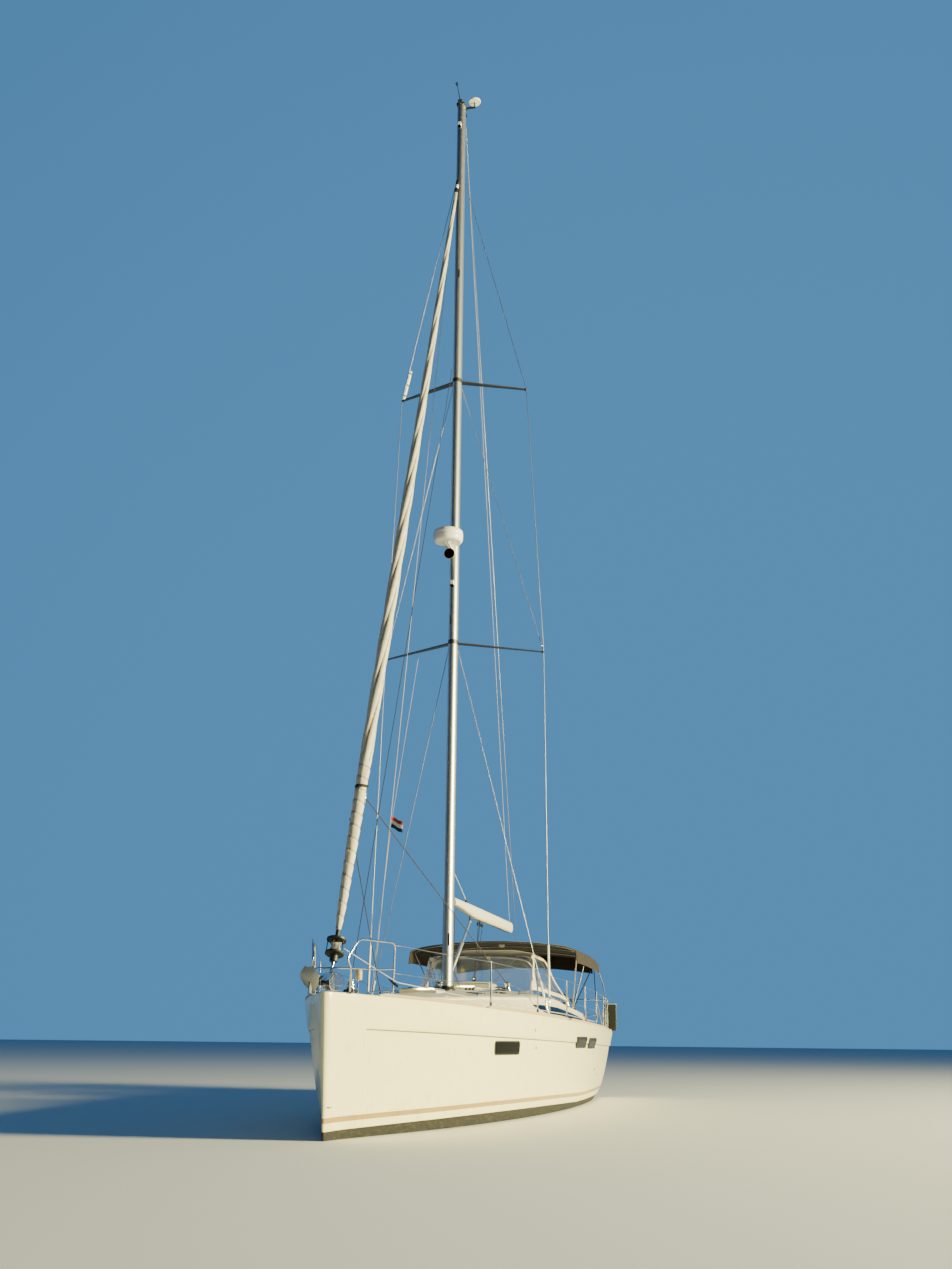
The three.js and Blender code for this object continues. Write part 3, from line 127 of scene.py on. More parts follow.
def soft_panel(name, place, size, power, tint):
    lamp = bpy.data.lights.new(name, "AREA")
    lamp.size = size
    lamp.energy = power
    lamp.color = tint
    lit = bpy.data.objects.new(name, lamp)
    lit.location = place
    aim = LIT_SPOT - Vector(place)
    lit.rotation_euler = aim.to_track_quat("-Z", "Y").to_euler()
    bpy.context.scene.collection.objects.link(lit)


for row in LIGHTS:
    soft_panel(**row)

print("lights", len(LIGHTS))

# %% [markdown]
# ## Finishes
# A finish starts from what the surface is. One helper turns a hex colour into the linear numbers
# that a shader wants, and one adds a node with its settings and its links. Every pattern is sized
# in metres from the real thing, through object coordinates, since nothing here is unwrapped.
# They also make the world: a blue wash, paler towards the stern, that fills the shaded side and
# gives the metal and the glass something to reflect. A grey one would leave that side colourless.


# %% Helpers for finishes
def linear(hex_colour, alpha=1.0):
    """The linear values of an sRGB hex colour."""
    parts = [int(hex_colour[i : i + 2], 16) / 255 for i in (1, 3, 5)]
    curve = [c / 12.92 if c <= 0.04045 else ((c + 0.055) / 1.055) ** 2.4 for c in parts]
    return (*curve, alpha)


def add(tree, kind, links=None, **settings):
    """A node with its settings and links. A setting is a socket's value or the node's own."""
    made = tree.nodes.new(kind)
    for name, value in settings.items():
        if name.startswith("in_"):
            made.inputs[int(name[3:])].default_value = value
        else:
            setattr(made, name, value)
    for socket, source in (links or {}).items():
        tree.links.new(source, made.inputs[socket])
    return made


def new_finish(name, slot, colour, roughness, metallic=0.0, **sockets):
    """A material on one Principled shader. Its slot is not used."""
    made = bpy.data.materials.new(name)
    made.use_nodes = True
    shader = made.node_tree.nodes["Principled BSDF"]
    shader.inputs["Base Color"].default_value = linear(colour)
    shader.inputs["Roughness"].default_value = roughness
    shader.inputs["Metallic"].default_value = metallic
    for socket, value in sockets.items():
        shader.inputs[socket.replace("_", " ")].default_value = value
    made.diffuse_color = linear(colour)
    return made, made.node_tree, shader


def place_in(tree, scale=(1, 1, 1)):
    """Object coordinates in metres, scaled."""
    where = add(tree, "ShaderNodeTexCoord")
    lay = add(tree, "ShaderNodeMapping", {"Vector": where.outputs["Object"]}, in_3=scale)
    return lay.outputs[0]


def tinted(tree, shader, factor, colours, stops=(0.0, 1.0)):
    """Colours spread along a factor, into the base colour."""
    ramp = add(tree, "ShaderNodeValToRGB", {"Fac": factor})
    marks = ramp.color_ramp.elements
    while len(marks) < len(colours):
        marks.new(0.5)
    for mark, stop, colour in zip(marks, stops, colours):
        mark.position = stop
        mark.color = linear(colour)
    tree.links.new(ramp.outputs["Color"], shader.inputs["Base Color"])
    return ramp


def raised(tree, shader, height, distance, strength=1.0):
    """A bump of so many metres from a height between 0 and 1."""
    bump = add(tree, "ShaderNodeBump", {"Height": height}, in_0=strength, in_1=distance)
    tree.links.new(bump.outputs["Normal"], shader.inputs["Normal"])


def roughened(tree, shader, factor, low, high):
    """Roughness that runs from low to high with a factor."""
    spread = add(tree, "ShaderNodeMapRange", {"Value": factor}, in_3=low, in_4=high)
    tree.links.new(spread.outputs["Result"], shader.inputs["Roughness"])


# %% Blue wash round the boat
WASH_DARK, WASH_PALE = (0.016, 0.04, 0.09, 1.0), (0.085, 0.27, 0.54, 1.0)
DARK_AHEAD, PALE_ASTERN = 0.35, -0.95

world = bpy.data.worlds.new("blue_wash")
world.use_nodes = True
tree = world.node_tree
way = add(tree, "ShaderNodeTexCoord")
split = add(tree, "ShaderNodeSeparateXYZ", {0: way.outputs["Generated"]})
astern = add(
    tree, "ShaderNodeMapRange", {"Value": split.outputs["X"]},
    interpolation_type="SMOOTHSTEP", in_1=DARK_AHEAD, in_2=PALE_ASTERN,
)
wash = add(
    tree, "ShaderNodeMix", {0: astern.outputs["Result"]},
    data_type="RGBA", in_6=WASH_DARK, in_7=WASH_PALE,
)
tree.links.new(wash.outputs[2], tree.nodes["Background"].inputs["Color"])
bpy.context.scene.world = world
print("helpers and world ready")

# %% [markdown]
# Gelcoat is a pigmented polyester skin, sprayed into a polished mould. It is smooth and slightly
# wavy, with a clear-looking gloss. Salt and rain leave faint upright runs on a white topside, and
# those are drawn by stretching one noise downwards. Painting them by hand would need an image.


# %% Gelcoat of the topsides, the deck mouldings and the boot stripe
def gelcoat(name, slot, pale, stained, roughness):
    made, tree, shader = new_finish(
        name, slot, pale, roughness, IOR=1.5, Coat_Weight=0.35, Coat_Roughness=0.08
    )
    runs = add(tree, "ShaderNodeTexNoise", {"Vector": place_in(tree, (5, 5, 0.45))}, in_3=4)
    cloud = add(tree, "ShaderNodeTexNoise", {"Vector": place_in(tree, (0.7, 0.7, 0.9))})
    both = add(
        tree, "ShaderNodeMath", {0: runs.outputs["Fac"], 1: cloud.outputs["Fac"]},
        operation="MULTIPLY"
    )
    tinted(tree, shader, both.outputs[0], (pale, pale, stained), (0.0, 0.25, 0.5))
    roughened(tree, shader, cloud.outputs["Fac"], roughness * 0.8, roughness * 1.3)
    raised(tree, shader, cloud.outputs["Fac"], 0.003, 0.25)
    return made


topside = gelcoat("gelcoat_topsides", "gelcoat", "#F6EDBC", "#E9DDA2", 0.24)
moulding = gelcoat("gelcoat_deck_mouldings", "deck", "#F0E6C8", "#E0D4B2", 0.32)
knuckle_shade = gelcoat("gelcoat_knuckle_shadow", "gelcoat", "#8C8468", "#7B7459", 0.5)
stripe_gold = gelcoat("boot_stripe_bronze", "gelcoat", "#A88A50", "#8E733F", 0.35)


def non_skid():
    """Moulded diamond grit on the walking areas, drawn coarser than its real 3 mm to show."""
    made, tree, shader = new_finish("gelcoat_non_skid", "deck", "#C9C7BF", 0.62, IOR=1.5)
    grit = add(tree, "ShaderNodeTexVoronoi", {"Vector": place_in(tree, (80, 80, 80))})
    dirt = add(tree, "ShaderNodeTexNoise", {"Vector": place_in(tree, (1.3, 1.3, 1.3))}, in_3=5)
    tinted(tree, shader, dirt.outputs["Fac"], ("#BDBAB0", "#D2D0C8"), (0.3, 0.7))
    raised(tree, shader, grit.outputs["Distance"], 0.002, 0.6)
    return made


grip = non_skid()


def bottom_paint():
    """Dark eroding paint below the waterline, matt and patchy, with a brown tide mark."""
    made, tree, shader = new_finish("antifouling_paint", "antifouling", "#2A2A28", 0.85, IOR=1.45)
    growth = add(tree, "ShaderNodeTexNoise", {"Vector": place_in(tree, (2.5, 2.5, 7))}, in_3=8)
    tinted(
        tree, shader, growth.outputs["Fac"], ("#1B1C1D", "#2C2B28", "#4A4436"), (0.3, 0.55, 0.75)
    )
    roughened(tree, shader, growth.outputs["Fac"], 0.7, 0.95)
    raised(tree, shader, growth.outputs["Fac"], 0.004, 0.5)
    return made


antifouling = bottom_paint()
print("gelcoat, grip and bottom paint")

# %% [markdown]
# Teak is laid in narrow planks with black caulking between them, and goes from honey to silver in
# the sun. A brick pattern gives the planks and their joints, a stretched noise gives the grain.


# %% Teak, laid and solid
def teak(name, planked, shades=("#96683F", "#D0A878")):
    made, tree, shader = new_finish(name, "teak", "#B58B5C", 0.62, IOR=1.5)
    fibre = add(tree, "ShaderNodeTexNoise", {"Vector": place_in(tree, (3, 70, 70))}, in_3=6)
    colour = tinted(tree, shader, fibre.outputs["Fac"], shades, (0.3, 0.7)).outputs["Color"]
    if planked:
        planks = add(
            tree,
            "ShaderNodeTexBrick",
            {"Vector": place_in(tree), "Color1": colour, "Color2": colour},
            offset=0.5,
            in_3=linear("#1D1A17"),
            in_4=1.0,
            in_5=0.003,
            in_8=1.4,
            in_9=0.05,
        )
        tree.links.new(planks.outputs["Color"], shader.inputs["Base Color"])
        raised(tree, shader, planks.outputs["Fac"], -0.002, 0.5)
    roughened(tree, shader, fibre.outputs["Fac"], 0.5, 0.75)
    return made


teak_deck = teak("teak_laid_planks", True)
teak_solid = teak("teak_solid", False)
teak_weathered = teak("teak_weathered", False, ("#A3906C", "#CDBB94"))
print("teak")

# %% [markdown]
# Spars are extruded aluminium, anodised to a satin silver. Rails and fittings are polished
# stainless steel, and the anchor is hot-dip galvanised, which leaves grey spangles. A metal keeps
# the default IOR, and only its tint, its roughness and its small marks change.


# %% Metals
def metal(name, slot, dull, bright, roughness, grain, bump=0.0, metallic=1.0):
    made, tree, shader = new_finish(name, slot, bright, roughness, metallic)
    marks = add(tree, "ShaderNodeTexNoise", {"Vector": place_in(tree, grain)}, in_3=5)
    tinted(tree, shader, marks.outputs["Fac"], (dull, bright), (0.3, 0.62))
    roughened(tree, shader, marks.outputs["Fac"], roughness * 1.35, roughness * 0.75)
    if bump:
        raised(tree, shader, marks.outputs["Fac"], bump, 0.4)
    return made


anodised = metal("aluminium_anodised", "alloy", "#B9BAB6", "#DDDDD8", 0.38, (40, 40, 1.5))
anodised_dark = metal("aluminium_dark_anodised", "alloy", "#4A4B4D", "#66686A", 0.42, (30, 2, 30))
polished = metal("stainless_polished", "stainless", "#B5B8BA", "#E4E6E7", 0.16, (9, 9, 9))
wire = metal("stainless_wire", "stainless", "#77797B", "#A9ACAE", 0.34, (300, 300, 90), 0.001)
zinc = metal("steel_galvanised", "galvanised", "#7C8084", "#A9ACAE", 0.5, (35, 35, 35), 0.001)
prop_bronze = metal("bronze_cast", "bronze", "#7D5A30", "#B98A4F", 0.34, (25, 25, 25), 0.0005)
boom_enamel = metal(
    "boom_enamel", "boom_paint", "#DCD3BA", "#ECE5CF", 0.36, (1.5, 30, 30), 0.0, 0.0
)
white_enamel = metal("enamel_white", "white", "#E2E0D8", "#F2F1EC", 0.3, (6, 6, 6), 0.0, 0.0)
hailer_tan = metal(
    "horn_moulded_tan", "canvas_cream", "#A08A66", "#C4AE86", 0.45, (8, 8, 8), 0.0, 0.0
)
black_cast = metal("nylon_black", "black", "#121314", "#26282A", 0.45, (60, 60, 60), 0.0003, 0.0)
print("metals and enamels")

# %% [markdown]
# The windows are smoked acrylic: nearly black from outside, with a sharp reflection. Clear vinyl
# panes in the canvas let the light through and scatter a little of it.

# %% Smoked acrylic and clear vinyl
smoked, tree, shader = new_finish(
    "acrylic_smoked", "glass", "#0A0C0E", 0.12, IOR=1.49, Specular_IOR_Level=0.06
)
haze = add(tree, "ShaderNodeTexNoise", {"Vector": place_in(tree, (1.6, 1.6, 5))})
tinted(tree, shader, haze.outputs["Fac"], ("#030303", "#08090A"), (0.35, 0.7))
roughened(tree, shader, haze.outputs["Fac"], 0.08, 0.2)

vinyl, tree, shader = new_finish(
    "vinyl_clear", "glass", "#E9F0F2", 0.12, IOR=1.45, Transmission_Weight=0.95, Alpha=0.2
)
ripple = add(tree, "ShaderNodeTexNoise", {"Vector": place_in(tree, (6, 6, 6))})
raised(tree, shader, ripple.outputs["Fac"], 0.004, 0.3)
print("acrylic and vinyl")

# %% [markdown]
# Canvas here is solution-dyed acrylic, a plain weave of about 20 threads a centimetre. That is too
# fine to show, so the weave is drawn at 3 to 4 mm. Sailcloth is smoother, and the leech carries a
# strip of grey sun cover. Rope is braided, with flecks of colour.


# %% Woven finishes
# From band to band, in metres, when a wave texture has a scale of 1
BAND = 0.31


def woven(name, slot, shade, light, thread, roughness=0.88):
    made, tree, shader = new_finish(name, slot, light, roughness, Sheen_Weight=0.08)
    weft, warp = (
        add(
            tree, "ShaderNodeTexWave", {"Vector": place_in(tree)}, bands_direction=way,
            in_1=BAND / thread
        )
        for way in "XY"
    )
    weave = add(
        tree, "ShaderNodeMath", {0: weft.outputs["Fac"], 1: warp.outputs["Fac"]},
        operation="MULTIPLY"
    )
    fade = add(tree, "ShaderNodeTexNoise", {"Vector": place_in(tree, (2.2, 2.2, 2.2))}, in_3=6)
    tinted(tree, shader, fade.outputs["Fac"], (shade, light), (0.32, 0.68))
    raised(tree, shader, weave.outputs[0], 0.0015, 0.5)
    return made


canvas_brown = woven("acrylic_canvas_brown", "canvas_brown", "#18110B", "#251A11", 0.004)
canvas_lining = woven("acrylic_canvas_underside", "canvas_brown", "#1E160F", "#2B2017", 0.004)
canvas_cream = woven("acrylic_canvas_cream", "canvas_cream", "#D2BE97", "#E6D7B6", 0.004)
sail_white = woven("sailcloth_pale", "sail", "#CFC7B2", "#E4DDC8", 0.003, 0.7)
# This grey is also laid in the rolled sail's grooves and seam edges as painted shade.
sun_cover_and_fold_shade = woven("sailcloth_sun_cover", "sail", "#8F8776", "#B4AB97", 0.003, 0.8)


def braid(name, slot, ground, fleck):
    made, tree, shader = new_finish(name, slot, ground, 0.85, Sheen_Weight=0.2)
    yarn = add(
        tree, "ShaderNodeTexWave", {"Vector": place_in(tree)},
        bands_direction="DIAGONAL", in_1=28.0, in_2=3.0,
    )
    tinted(tree, shader, yarn.outputs["Fac"], (ground, ground, fleck), (0.0, 0.72, 0.9))
    raised(tree, shader, yarn.outputs["Fac"], 0.001, 0.6)
    return made


rope_dark = braid("rope_braid_dark", "black", "#0E0F12", "#22252B")
rope_pale = braid("rope_braid_pale", "white", "#D9D4C4", "#5A6B85")
flag_red = woven("flag_cloth_red", "canvas_cream", "#A32A26", "#C23A33", 0.003)
flag_white = woven("flag_cloth_white", "canvas_cream", "#D8D5CF", "#ECEAE4", 0.003)
flag_blue = woven("flag_cloth_blue", "canvas_cream", "#1E2A55", "#2B3B74", 0.003)

# %% [markdown]
# ## Shapes
# Nearly everything on a boat is a skin over ribs, a bent tube, or a turned part. One small class
# gathers such shapes into a piece. Modifiers could do the same, but rings of points let every
# piece follow the hull's own curves, so it lands where a boatbuilder would fit it.


# %% A form that grows into one piece
def mirror(point):
    return Vector((point.x, -point.y, point.z))


def turns_of(count):
    """Equal angles round a circle."""
    return [2 * math.pi * k / count for k in range(count)]


def spoke(angle):
    return Vector((math.cos(angle), math.sin(angle), 0))


class Form:
    """Points, faces and the finish of each face."""

    def __init__(self):
        self.points, self.faces, self.kinds = [], [], []

    def add(self, points, faces, kind=0):
        base = len(self.points)
        self.points += [Vector(p) for p in points]
        self.faces += [tuple(base + i for i in face) for face in faces]
        self.kinds += [kind] * len(faces)
        return self

    def skin(self, rings, kind=0, loop=True, ends=True):
        """Quads between rings of equal length, with flat ends."""
        count = len(rings[0])
        wrap = count if loop else count - 1
        faces = [
            (row + i, row + (i + 1) % count, row + count + (i + 1) % count, row + count + i)
            for row in range(0, (len(rings) - 1) * count, count)
            for i in range(wrap)
        ]
        if ends:
            last = (len(rings) - 1) * count
            faces += [tuple(range(count))[::-1], tuple(last + i for i in range(count))]
        return self.add([p for ring in rings for p in ring], faces, kind)

    def tube(self, path, radius, sides=10, kind=0, loop=False):
        """A round section carried along a path without twisting."""
        path = [Vector(p) for p in path]
        count = len(path)
        widths = np.interp(np.linspace(0, 1, count), *spread(radius))
        ahead = [
            (path[(i + 1) % count if loop else min(i + 1, count - 1)]
             - path[(i - 1) % count if loop else max(i - 1, 0)]).normalized()
            for i in range(count)
        ]
        side = ahead[0].orthogonal().normalized()
        rings = []
        for i, way in enumerate(ahead):
            if i:
                side = ahead[i - 1].rotation_difference(way) @ side
            side = (side - way * side.dot(way)).normalized()
            other = way.cross(side)
            rings.append([
                path[i] + (side * math.cos(a) + other * math.sin(a)) * widths[i]
                for a in turns_of(sides)
            ])
        if loop:
            rings.append(rings[0])
        return self.skin(rings, kind, ends=not loop)

    def turned(self, profile, foot, axis=(0, 0, 1), sides=24, kind=0):
        """A profile of (radius, height) pairs, turned about an axis."""
        lay = Vector((0, 0, 1)).rotation_difference(Vector(axis)).to_matrix()
        rings = [
            [Vector(foot) + lay @ Vector((r * math.cos(a), r * math.sin(a), h))
             for a in turns_of(sides)]
            for r, h in ((max(r, 1e-5), h) for r, h in profile)
        ]
        return self.skin(rings, kind)

    def box(self, low, high, kind=0, turn=None):
        """A box between two corners, turned about its middle."""
        low, high = Vector(low), Vector(high)
        middle, half = (low + high) / 2, (high - low) / 2
        corners = [
            Vector((x, y, z)) for z in (-1, 1) for x, y in ((-1, -1), (1, -1), (1, 1), (-1, 1))
        ]
        corners = [Vector((c.x * half.x, c.y * half.y, c.z * half.z)) for c in corners]
        if turn is not None:
            corners = [turn @ c for c in corners]
        faces = [(3, 2, 1, 0), (4, 5, 6, 7), (0, 1, 5, 4), (1, 2, 6, 5), (2, 3, 7, 6), (3, 0, 4, 7)]
        return self.add([middle + c for c in corners], faces, kind)

    def prism(self, outline, offset, kind=0):
        """An outline carried straight by an offset."""
        ring = [Vector(p) for p in outline]
        return self.skin([ring, [p + Vector(offset) for p in ring]], kind)

    def ball(self, centre, radius, kind=0, sides=14):
        arc = np.linspace(0, math.pi, sides // 2 + 1)
        profile = [(radius * math.sin(a), -radius * math.cos(a)) for a in arc]
        return self.turned(profile, centre, sides=sides, kind=kind)

    def mirrored(self):
        """The same form on the other side of the boat."""
        other = Form()
        other.points = [mirror(p) for p in self.points]
        other.faces = [face[::-1] for face in self.faces]
        other.kinds = list(self.kinds)
        return other

    def join(self, other):
        return self.add(other.points, other.faces).recolour(other.kinds)

    def recolour(self, kinds):
        self.kinds[-len(kinds):] = kinds
        return self


def spread(radius):
    """Places from 0 to 1 and the radius at each."""
    values = list(radius) if hasattr(radius, "__len__") else [radius, radius]
    return np.linspace(0, 1, len(values)), values


def bent(points, radius=0.08, steps=4):
    """A path whose corners are bent to a radius, as a tube bender leaves them."""
    points = [Vector(p) for p in points]
    path = [points[0]]
    for before, corner, after in zip(points, points[1:], points[2:]):
        back, on = before - corner, after - corner
        reach = min(radius, back.length * 0.45, on.length * 0.45)
        first, last = corner + back.normalized() * reach, corner + on.normalized() * reach
        for t in (k / steps for k in range(steps + 1)):
            path.append(first * (1 - t) ** 2 + corner * 2 * t * (1 - t) + last * t * t)
    return [*path, points[-1]]


def sagging(start, end, drop, steps=10):
    """A line between two points that hangs by a drop at its middle."""
    start, end = Vector(start), Vector(end)
    return [
        start.lerp(end, t) - Vector((0, 0, 4 * drop * t * (1 - t)))
        for t in np.linspace(0, 1, steps)
    ]


BOW = 6.75


def at(aft, y, z):
    """A point by its distance behind the stem head."""
    return Vector((BOW - aft, y, z))


def rounded(long, wide, corner, steps=5):
    """A rounded rectangle about zero, as (x, y) pairs."""
    outline = []
    for along, across, start in ((1, 1, 0), (-1, 1, 90), (-1, -1, 180), (1, -1, 270)):
        for k in range(steps + 1):
            angle = math.radians(start + 90 * k / steps)
            x = along * (long / 2 - corner) + corner * math.cos(angle)
            outline.append((x, across * (wide / 2 - corner) + corner * math.sin(angle)))
    return outline


def stacked(long, wide, corner, rows, place):
    """Rings of a rounded plate. Each row is an inset from its edge and a lift, put in place."""
    return [
        [place(x, y, lift)
         for x, y in rounded(long - 2 * inset, wide - 2 * inset, max(corner - inset, 0.002))]
        for inset, lift in rows
    ]


SEAM = 2e-5


def solid_mesh(name, form):
    """The form as a mesh, its seams welded and its faces turned outwards."""
    mesh = bpy.data.meshes.new(name)
    mesh.from_pydata([tuple(p) for p in form.points], [], form.faces)
    mesh.polygons.foreach_set("material_index", form.kinds)
    grown = bmesh.new()
    grown.from_mesh(mesh)
    bmesh.ops.remove_doubles(grown, verts=grown.verts, dist=SEAM)
    bmesh.ops.recalc_face_normals(grown, faces=grown.faces)
    grown.to_mesh(mesh)
    grown.free()
    return mesh


def build(name, form, *finishes, **more):
    """The piece itself: mesh, finishes, soft edges, and the body that it rides on."""
    return finished(name, solid_mesh(name, form), finishes, **more)


def finished(name, mesh, finishes, body="boat", stands_for=(), bevel=0.0, angle=38):
    for finish in finishes:
        mesh.materials.append(finish)
    mesh.polygons.foreach_set("use_smooth", [True] * len(mesh.polygons))
    made = bpy.data.objects.new(name, mesh)
    bpy.context.scene.collection.objects.link(made)
    if bevel:
        soft = made.modifiers.new("soft_edges", "BEVEL")
        soft.width = bevel
        soft.segments = 2
        soft.limit_method = "ANGLE"
        soft.angle_limit = math.radians(angle)
        soft.harden_normals = True
    else:
        mesh.set_sharp_from_angle(angle=math.radians(angle))
    if body:
        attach(made, body)
    if stands_for:
        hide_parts(*stands_for)
    return made


def both_sides(name, form, *finishes, stands_for=(), **more):
    """A port piece and its mirror image."""
    nodes = {side: [f"{node}_{side}" for node in stands_for] for side in ("port", "starboard")}
    build(f"{name}_port", form, *finishes, stands_for=nodes["port"], **more)
    build(f"{name}_starboard", form.mirrored(), *finishes, stands_for=nodes["starboard"], **more)


def carved(form, cutters):
    """The form with the cutters' room taken out of it, as a mesh."""
    def loose(shape):
        made = bpy.data.objects.new("rough", solid_mesh("rough", shape))
        bpy.context.scene.collection.objects.link(made)
        return made

    blank = loose(form)
    tools = [loose(cutter) for cutter in cutters]
    for tool in tools:
        cut = blank.modifiers.new("cut", "BOOLEAN")
        cut.operation = "DIFFERENCE"
        cut.solver = "EXACT"
        cut.object = tool
    bpy.context.view_layer.update()
    mesh = bpy.data.meshes.new_from_object(
        blank.evaluated_get(bpy.context.evaluated_depsgraph_get())
    )
    for rough in [blank, *tools]:
        bpy.data.objects.remove(rough)
    return mesh


print("form helpers ready")

# %% [markdown]
# ## Hull
# The hull was moulded in one piece: a nearly upright stem, full quarters, and a knuckle along the
# topsides that stiffens them. Its shadow is too thin for the light here to draw, so a narrow band
# of darker gelcoat stands for it. The lines are a short table of half-beams, read through a smooth
# curve, so the boot stripe, the rails and the windows can all ask one table where the skin is.

# %% Lines of the hull
LENGTH = 13.5
HULL_COLUMNS = ("aft", "deck", "water", "depth", "bilge")
HULL_LINES = [
    (0, 0.042, 0.022, 0.03, 0),
    (0.25, 0.165, 0.062, 0.15, 0),
    (0.5, 0.305, 0.13, 0.225, 0),
    (1, 0.555, 0.285, 0.32, 0),
    (2, 0.945, 0.6, 0.445, 0),
    (3, 1.24, 0.88, 0.525, 0),
    (4.5, 1.575, 1.21, 0.585, 0),
    (6, 1.81, 1.45, 0.6, 0),
    (8, 1.985, 1.64, 0.56, 0),
    (10, 2.04, 1.69, 0.43, 0),
    (12, 1.985, 1.64, 0.2, 0.02),
    (13.5, 1.905, 1.57, -0.03, 0.11),
]


def read_curve(columns, rows, name):
    """One column of a table as a smooth function of the distance aft."""
    places = [row[0] for row in rows]
    values = [row[columns.index(name)] for row in rows]
    last = len(rows) - 1
    slopes = []
    for i in range(len(rows)):
        before, after = max(i - 1, 0), min(i + 1, last)
        slopes.append((values[after] - values[before]) / (places[after] - places[before]))

    def value(aft):
        i = max(0, min(last - 1, int(np.searchsorted(places, aft)) - 1))
        span = places[i + 1] - places[i]
        t = max(0.0, min(1.0, (aft - places[i]) / span))
        return (
            (2 * t**3 - 3 * t**2 + 1) * values[i]
            + (t**3 - 2 * t**2 + t) * span * slopes[i]
            + (3 * t**2 - 2 * t**3) * values[i + 1]
            + (t**3 - t**2) * span * slopes[i + 1]
        )

    return value


deck_half, water_half, hull_depth, bilge_up = (
    read_curve(HULL_COLUMNS, HULL_LINES, name) for name in HULL_COLUMNS[1:]
)


def sheer(aft):
    t = aft / LENGTH
    return 1.68 - 0.365 * t - 0.025 * math.sin(math.pi * t)


def knuckle_up(aft):
    return sheer(aft) - 0.4 + 0.115 * aft / LENGTH


def deck_up(aft, y):
    share = y / deck_half(aft)
    return sheer(aft) + 0.055 * min(1, deck_half(aft)) * (1 - share * share)


def on_deck(aft, y, up=0.0):
    return at(aft, y, deck_up(aft, y) + up)


def stem_shift(aft, z):
    """The stem leans back a little above the waterline and cuts away below it."""
    below = 0.9 * (z / 0.33) ** 2 if z < 0 else 0
    return (0.166 * (1.68 - z) / 1.68 + below) * max(0, 1 - aft / 5) ** 2


def side_half(aft, z):
    """Half-beam of the hull at a height, with the knuckle's step taken off below it."""
    water, bilge, top = water_half(aft), bilge_up(aft), sheer(aft)
    if z <= bilge:
        deep = hull_depth(aft) + bilge
        return water * math.sqrt(max(0.0, 1 - ((bilge - z) / deep) ** 2))
    half = water + (deck_half(aft) - water) * ((z - bilge) / (top - bilge)) ** 0.72
    knuckle = knuckle_up(aft)
    if z < knuckle:
        share = (z - bilge) / (knuckle - bilge)
        half -= 0.022 * max(0, min(1, (aft - 0.5) / 1.3)) * share**2
    return half


def on_hull(aft, z, out=0.0):
    """A point of the port topside, a little outside the skin."""
    return at(aft + stem_shift(aft, z), side_half(aft, z) + out, z)


def paint_up(aft):
    """Top of the bottom paint."""
    return 0.1 + 0.05 * math.sin(math.pi * min(1, aft / 9)) ** 0.8


def stripe_up(aft):
    """Lower edge of the boot stripe."""
    return paint_up(aft) + 0.09


STRIPE_WIDTH = 0.062
print("beam", round(2 * max(deck_half(a) for a in range(14)), 2), "m")

# %% [markdown]
# The skin is drawn through 130 ribs. Close to the stem they crowd together and shrink to nothing,
# which gives the rounded nose that a mould leaves. Each face already knows whether it is bottom
# paint, gelcoat, stripe or deck, so no mask is needed.

# %% Skin of the hull with its cockpit and stern cut out
PAINT, GEL, STRIPE, GRIP, PLANK, SHADE = range(6)


def hull_rib(aft):
    """Port half of one rib as (y, z, kind of the face above)."""
    low = -hull_depth(aft)
    full = min(bilge_up(aft), paint_up(aft) - 0.012)
    nose = math.sqrt(max(0.0, 1 - (1 - min(1, aft / 0.07)) ** 2))
    rows = [(full + (low - full) * math.cos(a), PAINT) for a in np.linspace(0, math.pi / 2, 12)]
    rows += [(paint_up(aft), GEL), (stripe_up(aft), STRIPE)]
    rib = [(side_half(aft, z), z, kind) for z, kind in rows]
    start, knuckle, top = stripe_up(aft) + STRIPE_WIDTH, knuckle_up(aft), sheer(aft)
    for z in np.linspace(start, knuckle - 0.02, 12):
        rib.append((side_half(aft, z), z, GEL))
    rib[-1] = (*rib[-1][:2], SHADE)
    step = side_half(aft, knuckle + 0.001) - side_half(aft, knuckle - 0.001)
    rib.append((side_half(aft, knuckle + 0.001) - 0.35 * step, knuckle - 0.003, GEL))
    for z in np.linspace(knuckle + 0.008, top - 0.024, 5):
        rib.append((side_half(aft, z), z, GEL))
    edge = deck_half(aft)
    rib += [(edge - 0.005, top - 0.009, GEL), (max(edge - 0.019, 0.004), top, GEL)]
    for share in (0.93, 0.8, 0.66, 0.5, 0.33, 0.16):
        rib.append((share * edge, deck_up(aft, share * edge), GRIP if share < 0.9 else GEL))
    rib.append((0.0, deck_up(aft, 0), GRIP))
    return [(y * nose, z, kind) for y, z, kind in rib]


ribs = [0, 0.004, 0.012, 0.025, 0.045, 0.07]
ribs += list(np.linspace(0.11, 3, 40)) + list(np.linspace(3.1, LENGTH, 84))
hull_form = Form()
rings, band = [], []
for aft in ribs:
    rib = hull_rib(aft)
    port = [at(aft + stem_shift(aft, z), y, z) for y, z, kind in rib]
    other = [mirror(p) for p in port[-2:0:-1]]
    rings.append(port + other)
    band = [kind for y, z, kind in rib]
hull_form.skin(rings)
around = band[:-1] + band[-2::-1]
hull_form.kinds = [*around * (len(rings) - 1), GEL, GEL]
for i, kind in enumerate(hull_form.kinds):
    if kind == SHADE and ribs[min(i // len(around), len(ribs) - 1)] < 0.62:
        hull_form.kinds[i] = GEL

COCKPIT_PLAN = [
    (9.25, 1.215), (11.71, 1.215), (11.71, 1.33), (13.05, 1.33), (13.05, 0.62), (13.8, 0.62)
]
SOLE = 0.82


def cockpit_tool(floor, grow=0.0):
    port = [(aft, y + grow) for aft, y in COCKPIT_PLAN]
    outline = [at(a, y, floor) for a, y in port] + [at(a, -y, floor) for a, y in port[::-1]]
    return Form().prism(outline, (0, 0, 2))


